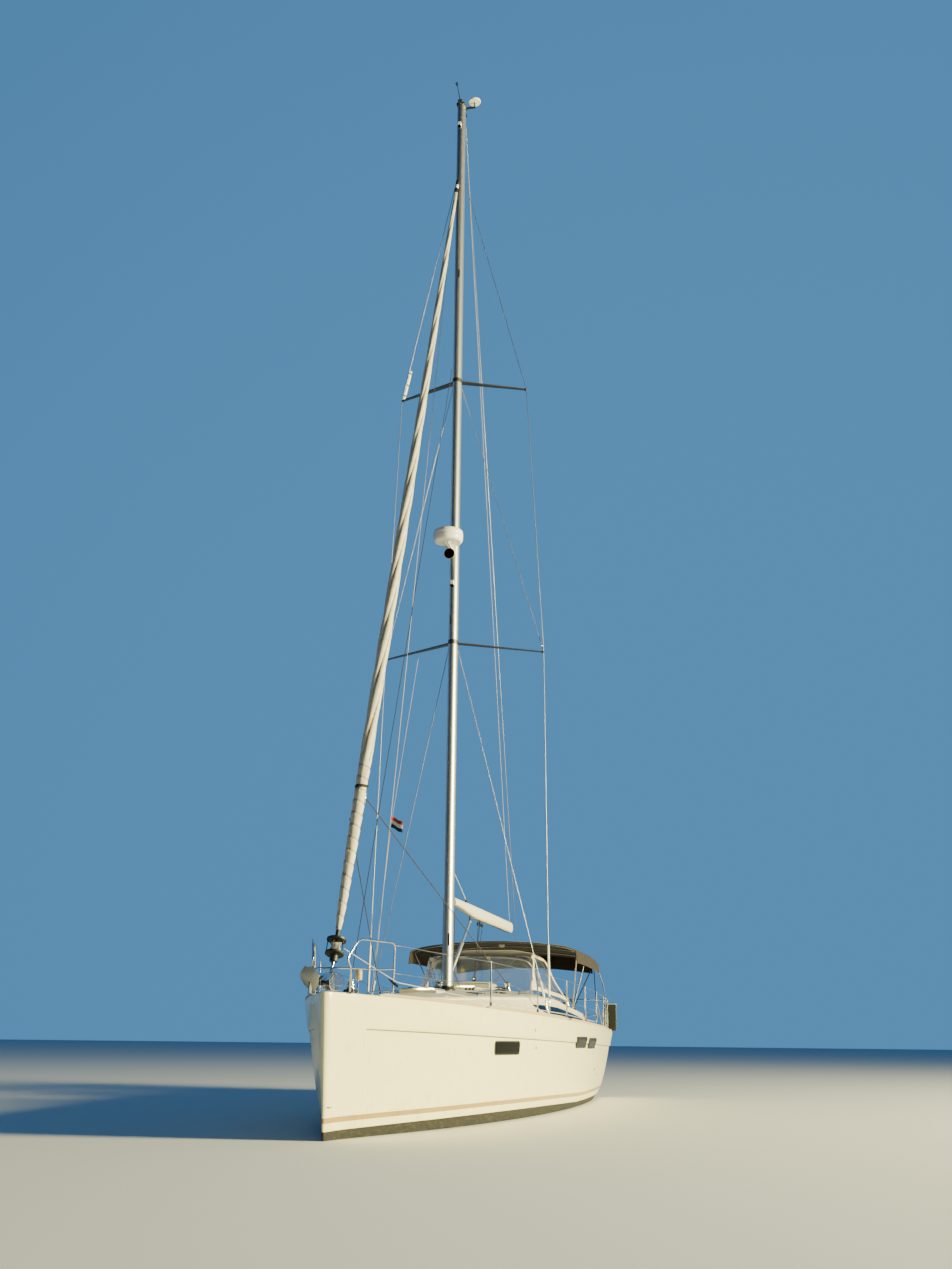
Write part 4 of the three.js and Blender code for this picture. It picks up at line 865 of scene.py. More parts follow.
stern_tool = Form().box(at(13.6, -0.9, 0.34), at(13.438, 0.9, 1.6))
door_tool = Form().box(at(9.3, -0.33, 1.25), at(9.2, 0.33, 2.6))
hull_mesh = carved(hull_form, [cockpit_tool(SOLE), stern_tool, door_tool])
for face in hull_mesh.polygons:
    if face.normal.z > 0.9 and abs(face.center.z - SOLE) < 0.01:
        face.material_index = PLANK
    elif face.material_index == PAINT and face.center.z > 0.3:
        face.material_index = GEL
hull = finished(
    "hull_moulding", hull_mesh, [antifouling, topside, stripe_gold, grip, teak_deck, knuckle_shade],
    stands_for=["hull"], angle=30,
)
print("hull faces", len(hull_mesh.polygons))

# %% [markdown]
# ## Coachroof and coamings
# One deck moulding makes the low coachroof and, with a dip at the companionway, the coamings on
# both sides of the cockpit. It is skinned through its own table, with a rounded shoulder and a
# fillet at the deck. Then the same cockpit shape that opened the hull is taken out of it.

# %% Lines of the coachroof
ROOF_COLUMNS = ("aft", "foot", "top", "crown", "edge")
ROOF_LINES = [
    (2.75, 0.25, 0.12, 1.685, 1.668),
    (3.1, 0.56, 0.4, 1.725, 1.695),
    (3.8, 0.87, 0.69, 1.775, 1.725),
    (4.8, 1.13, 0.94, 1.83, 1.765),
    (6.0, 1.33, 1.13, 1.89, 1.8),
    (7.4, 1.46, 1.27, 1.965, 1.838),
    (8.8, 1.52, 1.35, 2.02, 1.85),
    (9.3, 1.53, 1.375, 2.02, 1.835),
    (10.3, 1.53, 1.385, 1.79, 1.775),
    (11.6, 1.51, 1.385, 1.735, 1.72),
    (13.0, 1.45, 1.345, 1.69, 1.675),
]
roof_foot, roof_top, roof_crown, roof_edge = (
    read_curve(ROOF_COLUMNS, ROOF_LINES, name) for name in ROOF_COLUMNS[1:]
)


def roof_up(aft, y):
    share = y / roof_top(aft)
    return roof_edge(aft) + (roof_crown(aft) - roof_edge(aft)) * (1 - share * share)


def on_roof(aft, y, up=0.0):
    return at(aft, y, roof_up(aft, y) + up)


def roof_side(aft, share, out=0.0):
    """A point of the sloping side, some share of the way up."""
    foot, top = roof_foot(aft), roof_top(aft)
    low = deck_up(aft, foot)
    swell = 0.012 * math.sin(math.pi * share)
    return at(
        aft, foot + (top - foot) * share + swell + out, low + (roof_edge(aft) - 0.03 - low) * share
    )


def roof_rib(aft):
    foot, top = roof_foot(aft), roof_top(aft)
    rib = [
        Vector((0, foot + 0.03, sheer(aft) - 0.06)),
        Vector((0, foot + 0.02, deck_up(aft, foot) + 0.001))
    ]
    rib += [roof_side(aft, share) for share in np.linspace(0.1, 0.94, 9)]
    edge = roof_edge(aft)
    rib += [Vector((0, top + 0.012, edge - 0.021)), Vector((0, top + 0.001, edge - 0.008))]
    inner = [top * share for share in (0.86, 0.74, 0.6, 0.45, 0.3, 0.15, 0)]
    rib += [Vector((0, y, roof_up(aft, y))) for y in (top - 0.018, top - 0.05, *inner)]
    return [at(aft, p.y, p.z) for p in rib]


roof_ribs = [
    *np.linspace(2.75, 9.2, 66), *np.linspace(9.3, 10.4, 18), *np.linspace(10.6, 13, 20)
]
roof_form = Form()
rings = []
for aft in roof_ribs:
    port = roof_rib(aft)
    rings.append(port + [mirror(p) for p in port[-2::-1]])
roof_form.skin(rings)
slide_bed = roof_up(8.9, 0) - 0.022
bed_tool = Form().box(at(9.3, -0.334, slide_bed), at(7.98, 0.334, 2.6))
roof_mesh = carved(roof_form, [cockpit_tool(SOLE), bed_tool, door_tool])


def walked_on(face):
    """The non-skid panels of the roof, with a smooth margin round them."""
    aft, y = LENGTH / 2 - face.center.x, abs(face.center.y)
    return face.normal.z > 0.85 and 3.2 < aft < 8.9 and 0.13 < y < roof_top(aft) - 0.11


for face in roof_mesh.polygons:
    face.material_index = 1 if walked_on(face) else 0
finished(
    "coachroof_moulding", roof_mesh, [moulding, grip], stands_for=["coachroof_and_coamings"],
    angle=32
)
print("roof faces", len(roof_mesh.polygons))

# %% [markdown]
# The long saloon window is one smoked pane bonded to the outside of the moulding. Its front end is
# raked to a point, and it tapers to the stern. A thin black line of sealant rings it. Two faint
# moulded folds run down the roof's side ahead of the window, and they are drawn as shallow beads.

# %% Saloon windows and moulded folds
# Distance aft, and the shares of the side between which the pane lies
WINDOW_SHARES = [
    (7.02, 0.655, 0.665),
    (7.6, 0.36, 0.69),
    (8.1, 0.34, 0.68),
    (9.3, 0.35, 0.66),
    (10.3, 0.36, 0.7),
    (11.5, 0.38, 0.68),
    (12.4, 0.42, 0.62),
]
window_first, window_last = WINDOW_SHARES[0][0], WINDOW_SHARES[-1][0]


def window_share(aft, column):
    return float(
        np.interp(aft, [row[0] for row in WINDOW_SHARES], [row[column] for row in WINDOW_SHARES])
    )


def window_band(inner, outer, grow):
    rings = []
    for aft in np.linspace(window_first - grow * 3, window_last + grow, 80):
        low, high = window_share(aft, 1), window_share(aft, 2)
        middle, half = (low + high) / 2, (high - low) / 2
        half *= math.sqrt(max(0.03, 1 - (1 - min(1, (window_last + grow - aft) / 0.14)) ** 2))
        low, high = middle - half - grow * 4, middle + half + grow * 4
        rings.append([
            roof_side(aft, low, inner), roof_side(aft, low, outer),
            roof_side(aft, middle, outer + 0.001), roof_side(aft, high, outer),
            roof_side(aft, high, inner), roof_side(aft, middle, inner)
        ])
    return Form().skin(rings)


both_sides(
    "saloon_window", window_band(-0.012, 0.004, 0), smoked, stands_for=["coachroof_window"],
    angle=50
)
both_sides("saloon_window_sealant", window_band(-0.012, 0.0016, 0.008), black_cast, angle=50)

folds = Form()
for first, last in ((5.15, 4.85), (6.55, 6.2)):
    path = [
        roof_side(first + (last - first) * (1 - s) ** 2, s, 0.0)
        for s in np.linspace(0.02, 0.96, 12)
    ]
    folds.tube(path, 0.008, 8)
both_sides("roof_side_fold", folds, moulding)
print("windows from", window_first, "to", window_last, "m aft")

# %% [markdown]
# Deck hatches are an extruded alloy frame with a domed acrylic lid. Their low plinths are part of
# the moulding. Smaller flush panes let light in beside the mast.

# %% Hatches and flush deck lights
HATCHES = ["hatch_fore", "hatch_mid"]


def hatch_lid(low, high):
    """Frame, lid and handles of a hatch lying on its plinth."""
    lid = Form()
    width = 0.032
    for a, b in (
        ((low.x, low.y), (high.x, low.y + width)), ((low.x, high.y - width), (high.x, high.y)),
        ((low.x, low.y + width), (low.x + width, high.y - width)),
        ((high.x - width, low.y + width), (high.x, high.y - width))
    ):
        lid.box((*a, low.z), (*b, low.z + 0.024))
    middle = (low.x + high.x) / 2
    dome = ((0.024, 0.012), (0.03, 0.026), (0.06, 0.029), (0.13, 0.031), (0.25, 0.032))
    rings = stacked(
        0.56, 0.56, 0.08, dome, lambda x, y, lift: Vector((middle + x, y, low.z + lift))
    )
    lid.skin(rings, 1)
    for side in (-0.14, 0.14):
        lid.box(
            (high.x - 0.075, side - 0.03, low.z + 0.022),
            (high.x - 0.045, side + 0.03, low.z + 0.04), 2
        )
    return lid


for name in HATCHES:
    low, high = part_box(name)
    build(name + "_lid", hatch_lid(low, high), anodised, smoked, black_cast,
          body=name + "_body", stands_for=[name], bevel=0.004)
    rim = Form().box(
        (low.x, low.y - 0.016, low.z - 0.07), (high.x + 0.016, high.y + 0.016, low.z - 0.0006)
    )
    build(name + "_plinth", rim, moulding, bevel=0.012)

DECK_LIGHTS = [
    {"aft": 5.55, "y": 0.62, "long": 0.42, "wide": 0.2},
    {"aft": 6.75, "y": 0.78, "long": 0.5, "wide": 0.22},
    {"aft": 8.1, "y": 0.98, "long": 0.36, "wide": 0.2},
]
panes = Form()
for row in DECK_LIGHTS:
    def lying(x, y, lift, row=row):
        return on_roof(row["aft"] + x, row["y"] + y, lift)

    edges = ((0, -0.02), (0, 0.004), (0.01, 0.009), (0.08, 0.011))
    rings = stacked(row["long"], row["wide"], 0.05, edges, lying)
    panes.skin(rings)
both_sides("deck_light", panes, smoked)
print("hatches", len(HATCHES), "deck lights", 2 * len(DECK_LIGHTS))

# %% [markdown]
# The companionway has a sliding acrylic hatch that runs forward under a moulded garage, and boards
# that drop into the doorway.

# %% Sliding hatch, garage and boards
garage = Form()
low_y, top = 0.38, slide_bed + 0.098
arch = [
    (-low_y, -0.03), (-low_y, 0.07), (-0.34, 0.098), (0, 0.112), (0.34, 0.098), (low_y, 0.07),
    (low_y, -0.03), (0.334, -0.03), (0.334, 0.062), (0, 0.066), (-0.334, 0.062), (-0.334, -0.03)
]
garage.skin([[at(aft, y, slide_bed + z) for y, z in arch] for aft in (7.96, 8.63)])
garage.box(at(7.99, -0.36, slide_bed - 0.02), at(7.96, 0.36, slide_bed + 0.09))
build("hatch_garage", garage, moulding, bevel=0.008)

low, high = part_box("companionway_slide")
slide = Form()
half = [(-0.33, 0), (-0.33, 0.034), (-0.2, 0.045)]
arch = [*half, (0, 0.049), *((-y, z) for y, z in half[::-1])]
slide.skin([[(x, y, low.z + z) for y, z in arch] for x in (low.x, high.x)])
slide.box((low.x, -0.12, low.z + 0.04), (low.x + 0.03, 0.12, low.z + 0.05), 1)
build(
    "sliding_hatch", slide, smoked, anodised, body="slide_body", stands_for=["companionway_slide"],
    bevel=0.004
)

low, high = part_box("companionway_boards")
boards = Form()
for k in range(4):
    step = (high.z - low.z) / 4
    boards.box(
        (low.x, low.y, low.z + k * step + 0.001), (high.x, high.y, low.z + (k + 1) * step - 0.001)
    )
build("washboards", boards, teak_solid, stands_for=["companionway_boards"], bevel=0.003)
print("boards", round(high.z - low.z, 2), "m high")

# %% [markdown]
# ## Cockpit
# Two helms leave a walk-through to the stern. Benches carry teak slats, and the folding table has
# a leaf hanging on each side. None of it shows from the bow, so it follows common practice.

# %% Benches and table
low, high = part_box("cockpit_bench_port")
bench = Form().box((low.x, low.y, low.z), (high.x, high.y, high.z - 0.014))
slats = Form()
count = 12
pitch = (high.y - low.y - 0.06) / count
for k in range(count):
    y = low.y + 0.03 + k * pitch
    slats.box(
        (low.x + 0.03, y, high.z - 0.016), (high.x - 0.03, y + pitch - 0.006, high.z - 0.0005)
    )
both_sides("bench_moulding", bench, moulding, stands_for=["cockpit_bench"], bevel=0.02)
both_sides("bench_slat", slats, teak_solid, bevel=0.002)

low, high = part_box("cockpit_table")
table = Form()
table.box((low.x + 0.08, -0.07, SOLE + 0.001), (high.x - 0.06, 0.07, high.z - 0.044), 0)
table.box((low.x, -0.165, high.z - 0.03), (high.x, 0.165, high.z - 0.001), 1)
for side in (-1, 1):
    table.box(
        (low.x + 0.04, side * 0.158 - 0.009, high.z - 0.36),
        (high.x - 0.04, side * 0.158 + 0.009, high.z - 0.03), 1
    )
build("folding_table", table, moulding, teak_solid, stands_for=["cockpit_table"], bevel=0.006)
print("slats", 2 * count)

# %% [markdown]
# Each helm is a moulded post with a sloping face for blank instruments, a compass bowl on top, and
# a wheel of stainless tube whose rim is sewn into black leather.

# %% Helms and wheels
HELM_SIDE, WHEEL_RADIUS, SPOKE_REACH, RIM_TUBE = 0.86, 0.45, 0.44, 0.0148


def helm_post():
    """A post that narrows upwards and leans its face aft."""
    post = Form()
    levels = [
        (0.821, 11.85, 12.12, 0.125), (0.95, 11.87, 12.11, 0.115), (1.3, 11.9, 12.1, 0.105),
        (1.55, 11.88, 12.12, 0.12), (1.68, 11.86, 12.12, 0.125), (1.77, 11.88, 12.04, 0.124),
        (1.82, 11.91, 11.98, 0.11),
    ]
    rings = []
    for z, front, back, half in levels:
        middle, corner = (front + back) / 2, min(0.045, (back - front) * 0.4)
        rings.append([
            at(middle + x, HELM_SIDE + y, z) for x, y in rounded(back - front, 2 * half, corner)
        ])
    return post.skin(rings)


both_sides("helm_post", helm_post(), moulding, stands_for=["helm_pedestal"], angle=45)

dials = Form()
slope = Matrix.Rotation(math.radians(50), 3, "Y")
for y in (HELM_SIDE - 0.06, HELM_SIDE + 0.06):
    middle = at(12.055, y, 1.745)
    dials.box(
        middle - Vector((0.05, 0.048, 0.006)), middle + Vector((0.05, 0.048, 0.006)), 0, slope
    )
compass = [(0.055, 0), (0.06, 0.02), (0.055, 0.045), (0.03, 0.07), (0, 0.076)]
dials.turned(compass, at(11.94, HELM_SIDE, 1.815), kind=1)
both_sides("helm_instrument", dials, black_cast, smoked, bevel=0.003)

wheel = Form()
centre = at(12.18, HELM_SIDE, 1.64)


def on_wheel(radius, angle):
    return centre + Vector((0, radius * math.cos(angle), radius * math.sin(angle)))


rim = [on_wheel(WHEEL_RADIUS, a) for a in np.linspace(0, 2 * math.pi, 65)[:-1]]
wheel.tube(rim, RIM_TUBE, 12, 0, loop=True)
for angle in (a + math.pi / 2 for a in turns_of(5)):
    hub, tip = centre + Vector((0.01, 0, 0)), on_wheel(SPOKE_REACH, angle)
    wheel.tube([hub, tip], (0.012, 0.008), 10, 1)
wheel.turned(
    [(0.03, -0.029), (0.045, -0.02), (0.05, 0.0), (0.04, 0.03), (0.034, 0.058)], centre, (1, 0, 0),
    24, 1
)
leather = new_finish("leather_black_sewn", "black", "#17181A", 0.55, IOR=1.5)[0]
for side, form in (("port", wheel), ("starboard", wheel.mirrored())):
    build(
        f"wheel_{side}", form, leather, polished, body=f"wheel_{side}_body",
        stands_for=[f"steering_wheel_{side}"]
    )
print("wheel", round(2 * (WHEEL_RADIUS + RIM_TUBE), 2), "m across")

# %% [markdown]
# The transom folds down into a bathing platform. Its inner face, which becomes the step, is laid
# with teak, and a small handle stands on its outer face. The upright case on the port quarter is
# dark fabric with a white after face and two straps.

# %% Bathing platform, stern case
low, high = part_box("transom_platform")
gate = Form()
gate.box((low.x + 0.002, low.y + 0.001, 0.346), (high.x - 0.008, high.y - 0.001, high.z - 0.001), 0)
gate.box((high.x - 0.01, low.y + 0.06, 0.42), (high.x - 0.0005, high.y - 0.06, high.z - 0.06), 1)
for y in (-0.44, 0.44):
    gate.tube([(-6.742, y - 0.06, 0.352), (-6.742, y + 0.06, 0.352)], 0.0113, 16, 2)
handle = [(0.001, -0.1, 1.08), (0.02, -0.1, 1.1), (0.02, 0.1, 1.1), (0.001, 0.1, 1.08)]
gate.tube(bent([(low.x - out, y, z) for out, y, z in handle], 0.02), 0.006, 8, 2)
build("bathing_platform", gate, topside, teak_deck, polished, body="platform_body",
      stands_for=["transom_platform"], bevel=0.003)

low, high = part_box("stern_case")
case = Form()
case.box((low.x + 0.005, low.y, 1.335), (high.x, high.y, high.z - 0.03), 0)
case.box((low.x, low.y + 0.01, 1.34), (low.x + 0.02, high.y, high.z - 0.02), 1)
for z in (1.5, 1.74):
    case.box((low.x - 0.0005, low.y - 0.004, z), (high.x + 0.002, high.y + 0.002, z + 0.03), 2)
case.box((high.x - 0.055, low.y + 0.01, 1.3), (high.x, low.y + 0.1, 1.34), 0)
case_fabric = woven("nylon_fabric_black", "black", "#141517", "#1F2124", 0.004)
build(
    "stern_case_dressed", case, case_fabric, white_enamel, black_cast, stands_for=["stern_case"],
    bevel=0.012
)
print("case", round(high.z - low.z, 2), "m high")

# %% [markdown]
# ## Bow
# Two stainless cheeks and a middle plate carry the anchor rollers and the forestay. A plough-like
# scoop anchor lies in the starboard roller, and a windlass stands behind on the deck.

# %% Bow fitting and rollers
ROLLER_UP, ROLLER_RADIUS = 1.775, 0.034
ANCHOR_SIDE = -0.055


def bow_fitting():
    fitting = Form()
    cheek = [
        (-0.17, 1.742), (-0.06, 1.692), (0.06, 1.692), (0.06, 1.746), (0.42, 1.772), (0.42, 1.8),
        (0.3, 1.895), (0.04, 1.905), (-0.17, 1.8),
    ]
    for y in (-0.11, 0, 0.11):
        fitting.prism([at(aft, y - 0.0045, z) for aft, z in cheek], (0, 0.009, 0))
    fitting.box(at(0.42, -0.112, 1.752), at(0.02, 0.112, 1.766))
    fitting.box(at(0.42, -0.084, 1.7), at(0.19, 0.084, 1.754))
    fitting.box(at(0.262, -0.006, 1.76), at(0.2, 0.006, 1.914))
    for y in (-0.11, 0.0, 0.11):
        fitting.turned(
            [(0.014, -0.012), (0.014, 0.012), (0, 0.013)], at(-0.13, y, ROLLER_UP), (0, 1, 0), 12
        )
    return fitting


build("bow_fitting", bow_fitting(), polished, stands_for=["bow_roller"], bevel=0.0025)

rollers = Form()
groove = [
    (0.0335, -0.049), (0.0335, -0.04), (0.022, -0.012), (0.019, 0), (0.022, 0.012), (0.0335, 0.04),
    (0.0335, 0.049)
]
for y in (-0.055, 0.055):
    rollers.turned([(0.006, -0.05), *groove, (0.006, 0.05)], at(-0.13, y, ROLLER_UP), (0, 1, 0), 28)
build("anchor_rollers", rollers, black_cast, angle=30)
print("bow fitting and rollers")

# %% [markdown]
# The anchor is one bent shank plate welded to a scoop with upturned wings. Galvanising leaves it
# dull grey, and a shackle hangs at its after end.

# %% Anchor and windlass
def anchor_form():
    up = ROLLER_UP + ROLLER_RADIUS + 0.0214
    anchor = Form()
    y = ANCHOR_SIDE - 0.008
    shank = [
        (-0.33, up - 0.02), (-0.2, up - 0.019), (0.33, up - 0.012), (0.345, up + 0.006),
        (0.33, up + 0.022), (-0.1, up + 0.034), (-0.25, up + 0.04), (-0.33, up + 0.04)
    ]
    anchor.prism([at(aft, y, z) for aft, z in shank], (0, 0.016, 0))
    crown = [
        (-0.25, up + 0.038), (-0.25, up - 0.022), (-0.3, up - 0.1), (-0.345, up - 0.17),
        (-0.4, up - 0.18), (-0.41, up - 0.12), (-0.39, up - 0.06), (-0.33, up + 0.038)
    ]
    anchor.prism([at(aft, y, z) for aft, z in crown], (0, 0.016, 0))
    sections = [
        {"half": 0.004, "edge": (-0.262, 1.668), "deep": (-0.25, 1.66)},
        {"half": 0.05, "edge": (-0.292, 1.7), "deep": (-0.29, 1.686)},
        {"half": 0.085, "edge": (-0.33, 1.742), "deep": (-0.336, 1.726)},
        {"half": 0.108, "edge": (-0.376, 1.795), "deep": (-0.384, 1.768)},
        {"half": 0.114, "edge": (-0.42, 1.85), "deep": (-0.428, 1.815)},
        {"half": 0.085, "edge": (-0.434, 1.9), "deep": (-0.437, 1.872)},
        {"half": 0.045, "edge": (-0.44, 1.95), "deep": (-0.442, 1.93)},
    ]
    rings = []
    for row in sections:
        under, over = [], []
        for t in np.linspace(-1, 1, 13):
            bend = 1 - t * t
            aft = row["edge"][0] + (row["deep"][0] - row["edge"][0]) * bend
            z = row["edge"][1] + (row["deep"][1] - row["edge"][1]) * bend
            under.append(at(aft, ANCHOR_SIDE + row["half"] * t, z))
            over.append(at(aft - 0.007, ANCHOR_SIDE + row["half"] * t, z + 0.005))
        rings.append(under + over[::-1])
    anchor.skin(rings)
    shackle = [(0.3, 0.014), (0.36, 0.018), (0.385, 0.0), (0.36, -0.018), (0.3, -0.014)]
    loop = [at(aft, ANCHOR_SIDE + side, up + 0.006) for aft, side in shackle]
    anchor.tube(bent(loop, 0.015), 0.006, 10)
    anchor.tube([loop[0] + Vector((0.0, 0.01, 0)), loop[-1] - Vector((0.0, 0.01, 0))], 0.006, 10)
    return anchor


build("scoop_anchor", anchor_form(), zinc, stands_for=["anchor"], bevel=0.0025)

windlass = Form()
base_up = deck_up(1.03, 0)
windlass.skin(stacked(0.2, 0.15, 0.04, ((0, -0.02), (0, 0.045), (0.01, 0.058), (0.05, 0.06)),
                      lambda x, y, lift: at(1.03 + x, y, base_up + lift)), 0)
drum_shape = [
    (0.04, 0.058), (0.061, 0.064), (0.06, 0.078), (0.036, 0.088), (0.034, 0.1), (0.058, 0.112),
    (0.056, 0.124), (0.042, 0.134), (0.038, 0.16), (0.048, 0.176), (0.05, 0.184), (0.02, 0.189),
    (0, 0.19)
]
windlass.turned(drum_shape, at(1.03, 0, base_up), sides=32, kind=1)
for angle in turns_of(7):
    reach = Vector((0.056 * math.cos(angle), 0.056 * math.sin(angle), 0.094))
    windlass.ball(at(1.03, 0, base_up) + reach, 0.006, 1, 8)
build("anchor_windlass", windlass, black_cast, polished, stands_for=["windlass"], bevel=0.002)
print("anchor and windlass")

# %% [markdown]
# ## Rails round the deck
# The toe rail is a strip of hardwood with an eased top. It stops short of the mooring cleats. The
# pulpit, the stanchions and the pushpit are bent from 25 mm stainless tube with welded feet, and
# wire lifelines run through the stanchions.

# %% Toe rails and mooring cleats
CLEATS = [1.1, 7.1, 12.6]


def toe_rail():
    rail = Form()
    stretches = [(0.8, 3.2), (3.34, 6.96), (7.24, 12.46), (12.74, 13.46)]
    for first, last in stretches:
        rings = []
        for aft in np.linspace(first, last, max(3, int((last - first) / 0.12))):
            outer, low = deck_half(aft) - 0.006, sheer(aft) - 0.008
            ends = 0.5 + 0.5 * min(1, min(aft - first, last - aft) / 0.1)
            height = 0.046 * ends
            rings.append([
                at(aft, outer - 0.05, low + 0.004), at(aft, outer - 0.016, low),
                at(aft, outer - 0.002, low + 0.012 * ends),
                at(aft, outer - 0.003, low + height * 0.8),
                at(aft, outer - 0.01, low + height * 0.96), at(aft, outer - 0.024, low + height),
                at(aft, outer - 0.038, low + height * 0.97),
                at(aft, outer - 0.047, low + height * 0.8)
            ])
        rail.skin(rings)
    return rail


both_sides("hardwood_toe_rail", toe_rail(), teak_weathered, stands_for=["toe_rail"], angle=50)


def horn_cleat(aft, inset=0.05):
    """A cleat with two horns on two feet, along the deck edge."""
    y = deck_half(aft) - inset
    low = deck_up(aft, y) - 0.004
    cleat = Form()
    horns = [
        at(aft + x, y, low + 0.045 + 0.012 * (x / 0.13) ** 2) for x in np.linspace(-0.13, 0.13, 11)
    ]
    cleat.tube(horns, (0.004, 0.011, 0.013, 0.013, 0.011, 0.004), 10)
    for x in (-0.045, 0.045):
        cleat.turned(
            [(0.024, 0), (0.022, 0.004), (0.011, 0.014), (0.01, 0.046)], at(aft + x, y, low),
            sides=14
        )
    return cleat


cleats = Form()
for aft in CLEATS:
    cleats.join(horn_cleat(aft))
both_sides("mooring_cleats", cleats, polished)
print("toe rails and", 2 * len(CLEATS), "cleats")

# %% Pulpit, stanchions, lifelines and pushpit
TUBE = 0.0125


def rail_foot(aft, inset):
    return on_deck(aft, deck_half(aft) - inset, 0.01)


def flange(form, place):
    """The round foot that a tube is welded to."""
    form.turned(
        [(0.034, -0.014), (0.034, -0.007), (0.02, -0.003), (0.0135, 0.012)], place, sides=18
    )


fore_foot = on_deck(0.34, 0.21, 0.01)
fore_mid, fore_top = at(0.23, 0.25, 1.958), at(0.36, 0.3, 2.312)
aft_top, aft_mid, aft_foot = at(1.13, 0.54, 2.315), at(1.14, 0.54, 1.99), rail_foot(1.15, 0.1)
pulpit = Form()
fore_knee = at(0.16, 0.215, 2.066)
pulpit.tube(bent([fore_foot, fore_mid, fore_knee, fore_top, aft_top, aft_foot], 0.09, 6), TUBE, 14)
pulpit.tube(bent([fore_mid, at(0.7, 0.4, 1.965), aft_mid], 0.06, 5), 0.011, 12)
for place in (fore_foot, aft_foot):
    flange(pulpit, place)
both_sides("pulpit_half", pulpit, polished, stands_for=["pulpit"], angle=50)

STANCHIONS = [3.6, 5.5, 7.3, 9.0, 10.6]
RAIL_HEIGHT, POST_INSET, WIRE_INSET = 0.66, 0.098, 0.0943


def lifeline_half():
    """Stanchions with cast feet, and two wires that sag a little between them."""
    form = Form()
    for aft in STANCHIONS:
        y = deck_half(aft) - POST_INSET
        low, top = at(aft, y, sheer(aft) + 0.014), at(aft, y, sheer(aft) + RAIL_HEIGHT)
        form.tube([low, top], (TUBE, 0.011), 12)
        form.ball(top - Vector((0, 0, 0.004)), 0.0115, sides=10)
        form.turned(
            [(0.034, -0.024), (0.034, -0.004), (0.02, 0.012), (0.0165, 0.075), (0.0135, 0.078)],
            low, sides=16
        )
    stops = [1.175, *STANCHIONS, 12.01]
    for lift in (RAIL_HEIGHT - 0.012, 0.3):
        path = []
        for first, last in zip(stops, stops[1:]):
            span = sagging(rail_point(first, lift), rail_point(last, lift), 0.006, 7)
            path += span if not path else span[1:]
        form.tube(path, 0.0038, 8, 1)
        for end, way in ((path[0], path[1] - path[0]), (path[-1], path[-2] - path[-1])):
            form.tube([end, end + way.normalized() * 0.14], 0.007, 10)
    return form


def rail_point(aft, lift):
    return at(aft, deck_half(aft) - WIRE_INSET, sheer(aft) + lift)


both_sides("lifeline_half", lifeline_half(), polished, wire, stands_for=["lifelines"], angle=50)

PUSHPIT_LEGS = [12.04, 12.7, 13.33]
PUSHPIT_INSET, PUSHPIT_TOP, PUSHPIT_MID = 0.086, 0.645, 0.32


def pushpit_half():
    form = Form()
    low, mid, top = (
        [at(aft, deck_half(aft) - PUSHPIT_INSET, sheer(aft) + up) for aft in PUSHPIT_LEGS]
        for up in (0.004, PUSHPIT_MID, PUSHPIT_TOP)
    )
    for foot, head in zip(low, top):
        form.tube([foot, head], TUBE, 12)
        flange(form, foot + Vector((0, 0, 0.004)))
    corner, inner = (at(13.4, y, sheer(13.4) + PUSHPIT_TOP) for y in (1.7, 0.95))
    foot = on_deck(13.4, 0.95)
    form.tube(bent([*top, corner, inner, foot], 0.1, 6), TUBE, 14)
    drop = Vector((0, 0, PUSHPIT_TOP - PUSHPIT_MID))
    form.tube(bent([*mid, corner - drop, inner - drop], 0.08, 5), 0.011, 12)
    flange(form, foot)
    return form


both_sides("pushpit_half", pushpit_half(), polished, stands_for=["pushpit"], angle=50)
print("stanchions", 2 * len(STANCHIONS))

# %% [markdown]
# Small windows in the topsides are dark acrylic in a thin black frame, and they follow the curve of
# the hull. Four round skin fittings and the eye low on the stem complete the side.

# %% Hull windows and skin fittings
HULL_WINDOWS = [
    {"from": 3.77, "to": 4.67, "low": 0.945, "high": 1.115, "rake": 0.04, "proud": 0.007},
    {"from": 7.9, "to": 8.78, "low": 1.025, "high": 1.188, "rake": 0.1, "proud": 0.016},
    {"from": 9.1, "to": 9.93, "low": 1.01, "high": 1.17, "rake": 0.1, "proud": 0.016},
]
frames, panes = Form(), Form()
for row in HULL_WINDOWS:
    middle = ((row["from"] + row["to"]) / 2, (row["low"] + row["high"]) / 2)
    size = (row["to"] - row["from"], row["high"] - row["low"])

    def on_side(x, z, out, middle=middle, lean=row["rake"] / size[1], proud=row["proud"]):
        return on_hull(middle[0] + x - lean * z, middle[1] + z, out + proud * (out > 0))

    rim = ((0, -0.004), (0.002, 0.0055), (0.016, 0.007), (0.02, 0.003), (0.021, -0.004))
    frames.skin(stacked(size[0] + 0.03, size[1] + 0.03, 0.055, rim, on_side), ends=False)
    glass = ((0.004, 0.0005), (0.006, 0.0035), (0.03, 0.0045), (0.06, 0.005))
    panes.skin(stacked(size[0], size[1], 0.045, glass, on_side))
both_sides("hull_window_frames", frames, black_cast, angle=50)
both_sides("hull_window_panes", panes, smoked, angle=50)

fittings = Form()
for aft, z in ((5.21, 1.286), (5.43, 1.03), (10.6, 0.62), (11.4, 0.5)):
    outward = (on_hull(aft, z, 0.1) - on_hull(aft, z)).normalized()
    fittings.turned(
        [(0.026, 0), (0.026, 0.004), (0.018, 0.008), (0.012, 0.003), (0, 0.002)],
        on_hull(aft, z, -0.001), outward, 18
    )
both_sides("skin_fittings", fittings, polished, angle=40)
eye = Form()
for side in (-1, 1):
    arm = [at(aft, side * y, 0.37) for aft, y in ((0.3, 0.055), (0.2, 0.075), (0.16, 0.02))]
    eye.tube(bent(arm, 0.03), 0.008, 10)
build("stem_eye", eye, polished, angle=50)
print("hull windows", 2 * len(HULL_WINDOWS))

